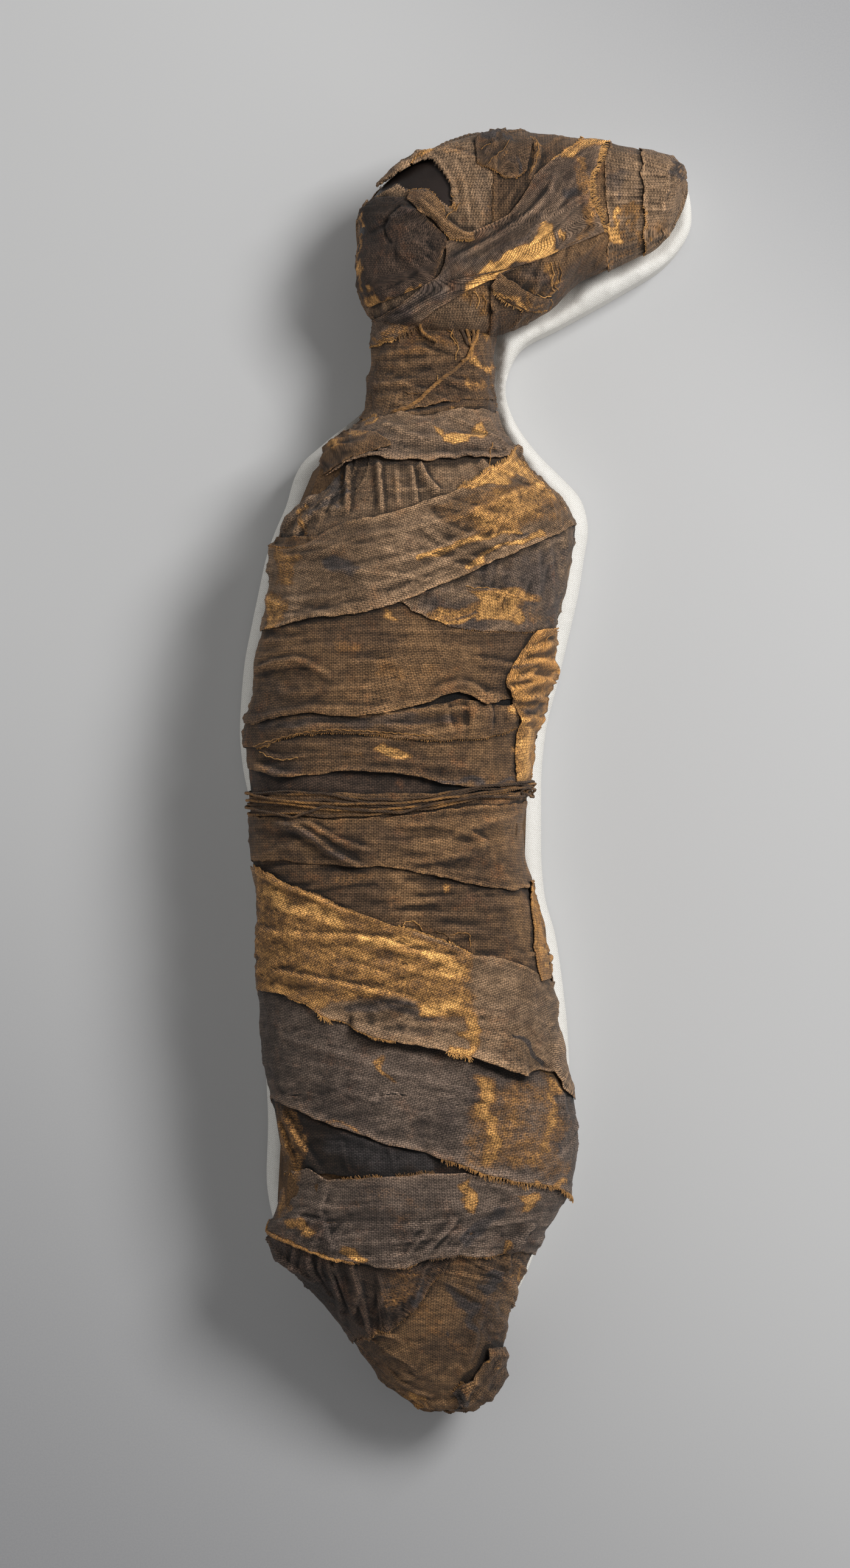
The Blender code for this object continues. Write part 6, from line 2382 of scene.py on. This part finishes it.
def ring_path(form: Form, line: np.ndarray, lift: float) -> np.ndarray:
    """A path right round the form under a line of the photograph.

    Args:
        form: The form.
        line: The line in photograph pixels.
        lift: Height above the cloth, in mm.

    Returns:
        The points of the path, in metres.
    """
    return form.over_cloth(form.crossing(line), np.arange(form.columns, dtype=float), lift)


def laid_path(form: Form, line: str, lift: float, step: float = 1.2) -> np.ndarray:
    """A path on the front of the form along a line of the photograph.

    Args:
        form: The form.
        line: The line in photograph pixels.
        lift: Height above the cloth, in mm.
        step: Distance between points, in mm.

    Returns:
        The points of the path, in metres.
    """
    ends = pixels(line)
    count = max(6, int(len_of(ends) * PIXEL / MM / step))
    return form.over_cloth(*form.locate(even_line(ends, count)), lift)


LOOSE_THREAD = Rope(2, 0.20, 0.16, 2.4, 0.7)


@dataclass
class RopeMaker:
    """Makes twisted ropes from paths."""

    tree: Tree
    material: bpy.types.Material

    def make(self, name: str, paths: list[np.ndarray], rope: Rope, bright: list[float]) -> bpy.types.Object:
        """A piece of rope along each path.

        Args:
            name: Name of the piece.
            paths: The paths' points.
            rope: How the rope is laid.
            bright: How light each rope's threads are, from 0 to 1.

        Returns:
            The rope, riding on the mummy.
        """
        shades = np.concatenate([np.full(len(path), shade) for path, shade in zip(paths, bright)])
        piece = new_piece(name, thread_mesh(name, paths, {"bright": shades}))
        values = {"Lay radius": rope.lay_radius * MM, "Strand radius": rope.strand_radius * MM,
                  "Turn length": rope.turn * MM, "Step": rope.step * MM, "Strands": rope.strands,
                  "Material": self.material}
        self.tree.run(piece, values)
        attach(piece, "mummy")
        LOG.info("%s: %d points", name, len(piece.data.vertices))
        return piece

    def loose(self, name: str, cloths: list[Cloth]) -> None:
        """Single threads that lie loose on the cloths.

        Args:
            name: Name of the piece.
            cloths: The cloths that the threads lie on.
        """
        paths = []
        for cloth in cloths:
            for order, line in enumerate(cloth.spec.threads):
                path = laid_path(cloth.form, line, 0.9, 0.9)
                turn = np.arange(len(path)) * 0.9 + cloth.spec.seed + order
                sway = np.stack((np.sin(turn), np.cos(turn * 1.3), 0 * turn), axis=-1) * 0.35 * MM
                paths.append(path + sway)
        shades = [0.55 + 0.4 * math.sin(order * 2.3) for order in range(len(paths))]
        self.make(name, paths, LOOSE_THREAD, shades)


@dataclass
class WaistCord:
    """The bundle of cords wound side by side round the waist, and its knot.

    Both edges of the bundle are lines in photograph pixels, and shares place the cords between them.
    Each loop of the knot has its middle and its size in photograph pixels.
    """

    upper: str = "380,1294 413,1297 467,1297 532,1301 605,1313 659,1316 713,1309 786,1293 859,1284 940,1282"
    lower: str = "380,1330 413,1334 486,1341 532,1336 605,1338 659,1336 713,1326 786,1312 859,1306 940,1302"
    shares: tuple[float, ...] = (0.02, 0.18, 0.34, 0.50, 0.66, 0.83, 1.0)
    knots: tuple[tuple[float, float, float], ...] = (
        (870, 1297, 9.0), (878, 1297, 12.0), (867, 1300, 7.0), (876, 1303, 8.0))
    rope: Rope = Rope(3, 0.40, 0.46, 6.4, 0.9)

    def build(self, form: Form, maker: RopeMaker) -> None:
        """Wind the cords round the body and tie them at the right end.

        Args:
            form: The body.
            maker: What makes the cords.
        """
        paths = []
        upper, lower = pixels(self.upper), pixels(self.lower)
        for index, share in enumerate(self.shares):
            wander = 0.19 * np.sin(np.arange(len(upper)) * (0.9 + 0.23 * index) + index * 2.1)
            line = upper + (lower - upper) * (share + wander[:, None])
            path = ring_path(form, line, 1.0 + 0.9 * (index % 3))
            path[:, 1] += edge_noise(700 + index, len(path), 0.5)
            paths.append(np.concatenate((path, path[:1])))
        cord = maker.make("waist_cord_strands", paths, self.rope, [0.12, -0.05, 0.26, 0.0, 0.34, 0.05, 0.2])
        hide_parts("waist_cord")
        loops = []
        for turn, (x, y, size) in enumerate(self.knots):
            angle = np.linspace(0.3, 2 * math.pi + 0.9, 26)
            spots = np.stack((x + size * np.cos(angle), y + 0.8 * size * np.sin(angle)), axis=-1)
            row, column = form.locate(spots)
            lift = (2.2 + turn * 0.7 + 0.9 * np.sin(angle * 1.5)) * MM
            loops.append(form.above(row, column, form.read(form.height, row, column) + lift))
        maker.make("waist_cord_knot", loops, self.rope, [0.1, 0.3, 0.0, 0.2])


@dataclass
class NeckTie:
    """The twisted hank that crosses the neck, with the loops at its head end."""

    hank: str = "763,593 747,608 730,621 713,635 700,648 687,661 668,676 648,681"
    strands: tuple[str, ...] = (
        "741,519 750,530 758,541 764,553 769,566", "748,516 758,527 766,540 770,553 772,568",
        "757,514 768,526 776,539 778,552 774,568", "766,513 778,525 784,540 782,555 773,572 766,590",
        "773,566 773,580 766,590 758,594",
    )
    loop: str = "693,527 691,537 697,548 708,556 719,563"
    rope: Rope = Rope(4, 0.55, 0.8, 9.0)
    thin_rope: Rope = Rope(4, 0.46, 0.62, 8.0)

    def build(self, form: Form, maker: RopeMaker) -> None:
        """Lay the hank on the neck.

        Args:
            form: The body.
            maker: What makes the cords.
        """
        hank = maker.make("neck_tie_strands", [laid_path(form, self.hank, 1.4)], self.rope, [0.25])
        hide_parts("neck_tie")
        lines = (*self.strands, self.loop)
        paths = [laid_path(form, line, 1.2 + 0.4 * order) for order, line in enumerate(lines)]
        maker.make("neck_tie_loops", paths, self.thin_rope, [0.1, 0.35, 0.2, 0.5, 0.6, 0.4])


@dataclass
class RolledHem:
    """The rolled, frayed hem that crosses the left of the legs."""

    line: str = "432,2004 437,2020 455,2034 478,2044 508,2055 532,2066 556,2072 580,2076"
    rope: Rope = Rope(4, 0.55, 0.65, 7.0)

    def build(self, form: Form, maker: RopeMaker) -> None:
        """Lay the hem on the legs."""
        hem = maker.make("rolled_hem_strands", [laid_path(form, self.line, 1.0)], self.rope, [0.6])
        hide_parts("rolled_hem")


@dataclass
class DriedHead:
    """The dark dried head under the wrappings, which shows through the gap in the crown.

    Its depth under the wrapped surface, its ends along X and their rounding are in mm.
    """

    depth: float = 4.2
    start: float = -36.0
    end: float = 146.0
    round: float = 6.0

    def build(self, view: PhotoView) -> None:
        """Make the head, a smooth closed form.

        Args:
            view: The camera's view.
        """
        inner = tuple(
            (x, top - self.depth, low + self.depth, thick - 2 * self.depth, under + self.depth)
            for x, top, low, thick, under in HEAD_SECTIONS if self.start <= x <= self.end
        )
        points = form_points(view, inner, (self.start - self.round, self.end + self.round), (60, 40), False)
        corners = grid_corners(*points.shape[:2], True)
        piece = new_piece("dried_head", mesh_from("dried_head", points.reshape(-1, 3), corners))
        with editing(piece) as shape:
            bmesh.ops.remove_doubles(shape, verts=shape.verts, dist=0.05 * MM)
            bmesh.ops.recalc_face_normals(shape, faces=shape.faces)
        piece.data.shade_smooth()
        piece.data.materials.append(SkinFinish("dried_head_skin").make())
        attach(piece, "mummy")
        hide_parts("skull")
        LOG.info("dried head: %d points", len(piece.data.vertices))


# Outline of the support in mm, clockwise from the muzzle, as it shows in the photograph
SUPPORT_OUTLINE = (
    (168, 378), (170, 358), (158, 336), (122, 312), (86, 292), (60, 277), (51, 250),
    (56, 233), (72, 210), (88, 194), (100, 180), (104, 162), (101, 142), (98, 122), (93, 100),
    (84, 62), (77, 34), (74, 0), (74, -42), (76, -70), (83, -96), (88, -130), (91, -160),
    (92, -185), (89, -215), (76, -278), (58, -325), (28, -356), (-16, -364), (-53, -337),
    (-86, -300), (-98, -272), (-101, -250), (-100, -215), (-101, -190), (-104, -130), (-107, -70),
    (-112, -10), (-116, 10), (-118, 34), (-117, 55), (-115, 77), (-111, 98), (-106, 122),
    (-101, 145), (-95, 162), (-88, 178), (-84, 193), (-78, 205), (-70, 212), (-57, 223),
    (-45, 232), (-35, 242), (-27, 258), (-26, 295), (-28, 340), (-12, 374), (25, 393),
    (80, 398), (130, 395), (155, 388),
)


@dataclass
class FittedSupport:
    """The padded support, cut to the outline of the animal and covered in fine white linen.

    Sizes are in mm, but for the margin round the hollow's grid, in metres, and the weave's turn, in degrees.
    """

    rim_height: float = 45.0
    rim_round: float = 9.0
    board_top: float = 6.3
    hem: float = 3.0
    play: float = 1.2
    spacing: float = 3.2
    wrinkle: float = 0.5
    weave_turn: float = 38.0
    cell: float = 3.0
    margin: float = 0.03
    cloth_gap: float = 0.4

    def outline(self, view: PhotoView) -> np.ndarray:
        """The support's outline as an even, smooth loop.

        Args:
            view: The camera's view.

        Returns:
            The loop's points, in metres.
        """
        ends = np.array(SUPPORT_OUTLINE, float) * MM
        ends = np.concatenate((ends[-3:], ends, ends[:4]))
        run = run_of(ends)
        at = np.arange(run[3], run[-4], 0.5 * MM)
        curve = smooth_curve(run, ends, at)
        weights = np.exp(-0.5 * (np.arange(-20, 21) / 8.0) ** 2)
        weights /= weights.sum()
        looped = np.concatenate((curve[-20:], curve, curve[:20]))
        curve = np.stack([np.convolve(looped[:, axis], weights, mode="valid") for axis in (0, 1)], axis=-1)
        ring = np.concatenate((curve, curve[:1]))
        length = run_of(ring)[-1]
        count = int(length / (self.spacing * MM))
        even = np.linspace(0.0, length, count, endpoint=False)
        return points_at(ring, even) + np.array(view.middle)

    def hollow(self, forms: tuple[Form, ...], spots: np.ndarray) -> np.ndarray:
        """Height of the mummy's underside over each point, or far above where it has none.

        Args:
            forms: The body and the head.
            spots: X and Y of the points.

        Returns:
            The height for each point, in metres.
        """
        cell = self.cell * MM
        low = spots.min(axis=0) - self.margin
        size = ((spots.max(axis=0) + self.margin - low) / cell).astype(int) + 1
        grid = np.full(size, 1.0)
        for form in forms:
            gap = form.height + self.cloth_gap * MM
            skin = (form.points + form.normals * gap[..., None]).reshape(-1, 3)
            place = ((skin[:, :2] - low) / cell).astype(int)
            keep = ((place >= 0) & (place < size)).all(axis=1)
            np.minimum.at(grid, (place[keep, 0], place[keep, 1]), skin[keep, 2])
        wide = grid.copy()
        for shift in ((1, 0), (-1, 0), (0, 1), (0, -1), (1, 1), (-1, -1), (1, -1), (-1, 1)):
            wide = np.minimum(wide, np.roll(grid, shift, axis=(0, 1)))
        corner = np.clip(((spots - low) / cell - 0.5).astype(int), 0, size - 2)
        a, b = corner[:, 0], corner[:, 1]
        return np.minimum.reduce((wide[a, b], wide[a + 1, b], wide[a, b + 1], wide[a + 1, b + 1]))

    def inner_points(self, loop: np.ndarray) -> np.ndarray:
        """Points spread over the inside of the outline.

        Args:
            loop: The outline.

        Returns:
            X and Y of the points.
        """
        step = self.spacing * MM
        low, high = loop.min(axis=0), loop.max(axis=0)
        spots = []
        for order, y in enumerate(np.arange(low[1], high[1], step * 0.866)):
            start = low[0] + (order % 2) * step / 2
            spots.extend((x, y) for x in np.arange(start, high[0], step))
        spots = np.array(spots)
        spots = spots[inside(spots, loop)]
        return spots[self.rim_distance(spots, loop) > step * 0.7]

    def rim_distance(self, spots: np.ndarray, loop: np.ndarray) -> np.ndarray:
        """Distance of points from the outline, in metres.

        Args:
            spots: X and Y of the points.
            loop: The outline.

        Returns:
            The distance for each point.
        """
        away = np.full(len(spots), np.inf)
        for start in range(0, len(loop), 60):
            part = loop[start : start + 61]
            gaps = np.linalg.norm(spots[:, None] - part[None], axis=2).min(axis=1)
            away = np.minimum(away, gaps)
        return away

    def top(self, spots: np.ndarray, away: np.ndarray, forms: tuple[Form, ...]) -> np.ndarray:
        """Height of the cover's upper side.

        Args:
            spots: X and Y of the points.
            away: Their distance from the outline.
            forms: The body and the head.

        Returns:
            The height for each point, in metres.
        """
        rim_round = self.rim_round * MM
        edge = np.clip(1 - away / rim_round, 0.0, 1.0)
        rim = self.rim_height * MM - rim_round * (1 - np.sqrt(np.maximum(1 - edge**2, 0.0)))
        sway = np.sin(spots[:, 0] * 61 + 1.3 * np.sin(spots[:, 1] * 37)) * np.cos(spots[:, 1] * 53)
        rim += self.wrinkle * MM * sway * smooth_step(away, 0.0, 10 * MM)
        return np.minimum(rim, self.hollow(forms, spots) - self.play * MM)

    def build(self, view: PhotoView, forms: tuple[Form, ...]) -> None:
        """Make the support's padding and cover as one padded piece.

        Args:
            view: The camera's view.
            forms: The body and the head.
        """
        loop = self.outline(view)
        count = len(loop)
        flat = np.concatenate((loop, self.inner_points(loop)))
        edges = [(i, (i + 1) % count) for i in range(count)]
        made = geometry.delaunay_2d_cdt([Vector(p) for p in flat], edges, [], 1, 1e-7)
        spots = np.array([tuple(p) for p in made[0]])
        faces = [tuple(face) for face in made[2]]
        height = self.top(spots, self.rim_distance(spots, loop), forms)
        for _ in range(2):
            height = np.minimum(self.relaxed(height, made[1], count), height + 0.4 * MM)
        points = [(*spot, z) for spot, z in zip(spots, height)]
        cloth = [tuple(spot) for spot in spots]
        rings = [list(range(count))]
        for row, cloth_row in self.wall(loop, height[:count] / MM):
            rings.append(list(range(len(points), len(points) + count)))
            points.extend(row)
            cloth.extend(cloth_row)
        for upper, lower in zip(rings, rings[1:]):
            faces.extend((upper[i], lower[i], lower[j], upper[j]) for i, j in edges)
        faces.append(tuple(rings[-1]))
        mesh = bpy.data.meshes.new("fitted_support")
        mesh.from_pydata(points, [], faces)
        self.dress(mesh, np.array(cloth), height)
        piece = new_piece("fitted_support", mesh)
        with editing(piece) as shape:
            bmesh.ops.triangulate(shape, faces=[face for face in shape.faces if len(face.verts) > 4])
            bmesh.ops.recalc_face_normals(shape, faces=shape.faces)
        piece.data.shade_smooth()
        piece.data.materials.append(CoverFinish().make())
        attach(piece, "support")
        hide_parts("support_cover", "support_padding")
        LOG.info("support: %d points", len(piece.data.vertices))

    def wall(self, loop: np.ndarray, rim_tops: np.ndarray) -> Iterator[tuple[list, list]]:
        """The rings of the wall, from just under the rim down to the fold under the board.

        Args:
            loop: The outline.
            rim_tops: Height of the rim at each point of the outline, in mm.

        Yields:
            The points of a ring, and where each lies on the cover's cloth when that is flat.
        """
        steps = np.roll(loop, -1, axis=0) - np.roll(loop, 1, axis=0)
        out = np.stack((steps[:, 1], -steps[:, 0]), axis=-1)
        out /= np.linalg.norm(out, axis=1, keepdims=True)
        if not inside((loop - out * MM)[:1], loop)[0]:
            out = -out
        top = self.rim_height - self.rim_round
        levels = [(0.0, 2.0, share) for share in np.linspace(1.0, 0.0, 10)]
        levels += [(-0.6, 1.0, 0.0), (-self.hem, 1.0, 0.0), (-self.hem, self.board_top, 0.0),
                   (-self.hem - 5.0, self.board_top, 0.0)]
        drop, last = 0.0, (0.0, top)
        for inward, low, share in levels:
            level = low + share * (top - 4.0)
            drop += math.hypot(inward - last[0], level - last[1]) * MM
            last = (inward, level)
            spots = loop + out * inward * MM
            heights = (low + share * (rim_tops - 4.0)) * MM
            ring = [(*spot, z) for spot, z in zip(spots, heights)]
            yield ring, [tuple(spot) for spot in loop + out * drop]

    def relaxed(self, height: np.ndarray, edges: list, rim_count: int) -> np.ndarray:
        """Heights softened between neighbours, with the rim kept.

        Args:
            height: Height of each point.
            edges: Pairs of neighbours.
            rim_count: Number of points of the rim, which come first.

        Returns:
            The softened heights.
        """
        pairs = np.array(edges)
        total, near = np.zeros(len(height)), np.zeros(len(height))
        for a, b in ((0, 1), (1, 0)):
            np.add.at(total, pairs[:, a], height[pairs[:, b]])
            np.add.at(near, pairs[:, a], 1)
        soft = 0.5 * height + 0.5 * total / np.maximum(near, 1)
        soft[:rim_count] = height[:rim_count]
        return soft

    def dress(self, mesh: bpy.types.Mesh, cloth: np.ndarray, height: np.ndarray) -> None:
        """Give the cover its weave's coordinates and its hollows.

        Args:
            mesh: The cover's mesh.
            cloth: Where each point lies on the cloth.
            height: Height of each point of the top, which come first.
        """
        index = np.zeros(len(mesh.loops), np.int32)
        mesh.loops.foreach_get("vertex_index", index)
        turn = math.radians(self.weave_turn)
        u = cloth[:, 0] * math.cos(turn) + cloth[:, 1] * math.sin(turn)
        v = cloth[:, 1] * math.cos(turn) - cloth[:, 0] * math.sin(turn)
        add_weave(mesh, np.stack((u, v), axis=-1)[index])
        relief = np.zeros(len(mesh.vertices))
        # How far the top lies under the rim, which the cover's finish paints as shade
        relief[: len(height)] = np.clip((height - self.rim_height * MM) / (20 * MM), -1.0, 0.0)
        add_fields(mesh, {"relief": relief})


@dataclass
class InnerPieces:
    """The parts of the frame that no other piece stands for, in finishes of their own."""

    skin: tuple[str, ...] = ("lower_jaw", "dried_neck", "dried_trunk", "left_foreleg", "right_foreleg",
                             "left_hindleg", "right_hindleg", "tail")
    packing: tuple[str, ...] = ("head_packing_upper", "head_packing_lower", "chest_packing_upper",
                                "chest_packing_lower", "hip_packing_upper", "hip_packing_lower")

    def dress(self, nodes: dict[str, bpy.types.Object]) -> None:
        """Give each kept node its finish.

        Args:
            nodes: The frame's nodes by name.
        """
        finishes = (
            (self.skin, SkinFinish().make()),
            (self.packing, PackingFinish().make()),
            (("support_board",), BoardFinish("board_card", Tone.PAPER, 420.0).make()),
        )
        for names, material in finishes:
            for name in names:
                node = nodes[name]
                node.data.materials.clear()
                node.data.materials.append(material)
                LOG.info("%s: %s", name, material.name)


@dataclass
class Studio:
    """The pale floor, the soft light and the camera straight above.

    Places and sizes are in metres, the sensor in mm and the key light's power in watts.
    """

    key_place: tuple[float, float, float] = (1.15, 0.85, 2.0)
    key_power: float = 50.0
    key_size: float = 0.8
    fill: float = 0.38
    floor_size: float = 3.0
    sensor: float = 36.0

    def build(self, view: PhotoView) -> None:
        """Set the studio up round the object.

        Args:
            view: The camera's view.
        """
        scene = bpy.context.scene
        scene.view_settings.view_transform = "Standard"
        bpy.ops.mesh.primitive_grid_add(x_subdivisions=8, y_subdivisions=8, size=self.floor_size)
        floor = bpy.context.object
        floor.name = "studio_floor"
        floor.data.materials.append(floor_finish())
        world = bpy.data.worlds.new("studio_world")
        world.use_nodes = True
        background = world.node_tree.nodes["Background"]
        background.inputs["Color"].default_value = (1.0, 1.0, 1.0, 1.0)
        background.inputs["Strength"].default_value = self.fill
        scene.world = world
        key = bpy.data.objects.new("key_light", bpy.data.lights.new("key_light", "AREA"))
        key.data.size = self.key_size
        key.data.energy = self.key_power
        key.location = self.key_place
        key.rotation_euler = (-Vector(self.key_place)).to_track_quat("-Z", "Y").to_euler()
        scene.collection.objects.link(key)
        camera = bpy.data.objects.new("photo_camera", bpy.data.cameras.new("photo_camera"))
        camera.data.sensor_fit = "VERTICAL"
        camera.data.sensor_height = self.sensor
        camera.data.lens = self.sensor * (CAMERA_HEIGHT - SILHOUETTE_HEIGHT) / (PHOTO_SIZE[1] * PIXEL)
        camera.location = (*view.middle, CAMERA_HEIGHT)
        camera.data.clip_end = 20.0
        scene.collection.objects.link(camera)
        scene.camera = camera


def main() -> None:
    """Build every piece, from the support up to the outermost bandage."""
    logging.basicConfig(level=logging.INFO, format="%(message)s")
    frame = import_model()
    cover_low, cover_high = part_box("support_cover")
    view = PhotoView((cover_low.x - COVER_LOW_X * MM, cover_high.y - COVER_HIGH_Y * MM))
    Studio().build(view)
    InnerPieces().dress(frame["nodes"])

    weaves = (BROWN_LINEN, PALE_LINEN, COLLAR_LINEN, PANEL_LINEN, GREY_LINEN, SLATE_LINEN, DARK_LINEN,
              PAINTED_SHADOW_LINEN, OCHRE_LINEN, INNER_WRAPPING)
    finishes = {weave.name: LinenFinish(weave).make() for weave in weaves}
    slots = {row["node"]: row["material_slot"] for row in frame["record"]["subparts"]}
    threads = ThreadFinish("loose_thread").make()
    fringes = fringe_tree()
    ropes = RopeMaker(strand_tree(), ThreadFinish("twisted_linen", 520.0).make())

    body, head = body_form(view), head_form(view)
    on_body, on_head = Bandager(body, "dried_trunk"), Bandager(head, "dried_head")
    DriedHead().build(view)
    for plans in (SHROUDS, FOOT_WRAPPINGS, TORSO_WRAPPINGS, WAIST_WRAPPINGS, CHEST_WRAPPINGS,
                  LOWER_TORSO_WRAPPINGS, NECK_WRAPPINGS):
        on_body.lay(plans)
    on_head.lay(HEAD_WRAPPINGS)
    on_body.build(finishes, slots, fringes, threads)
    on_head.build(finishes, slots, fringes, threads)
    ropes.loose("body_loose_threads", on_body.cloths)
    ropes.loose("head_loose_threads", on_head.cloths)
    WaistCord().build(body, ropes)
    NeckTie().build(body, ropes)
    RolledHem().build(body, ropes)
    FittedSupport().build(view, (body, head))


if __name__ == "__main__":
    main()
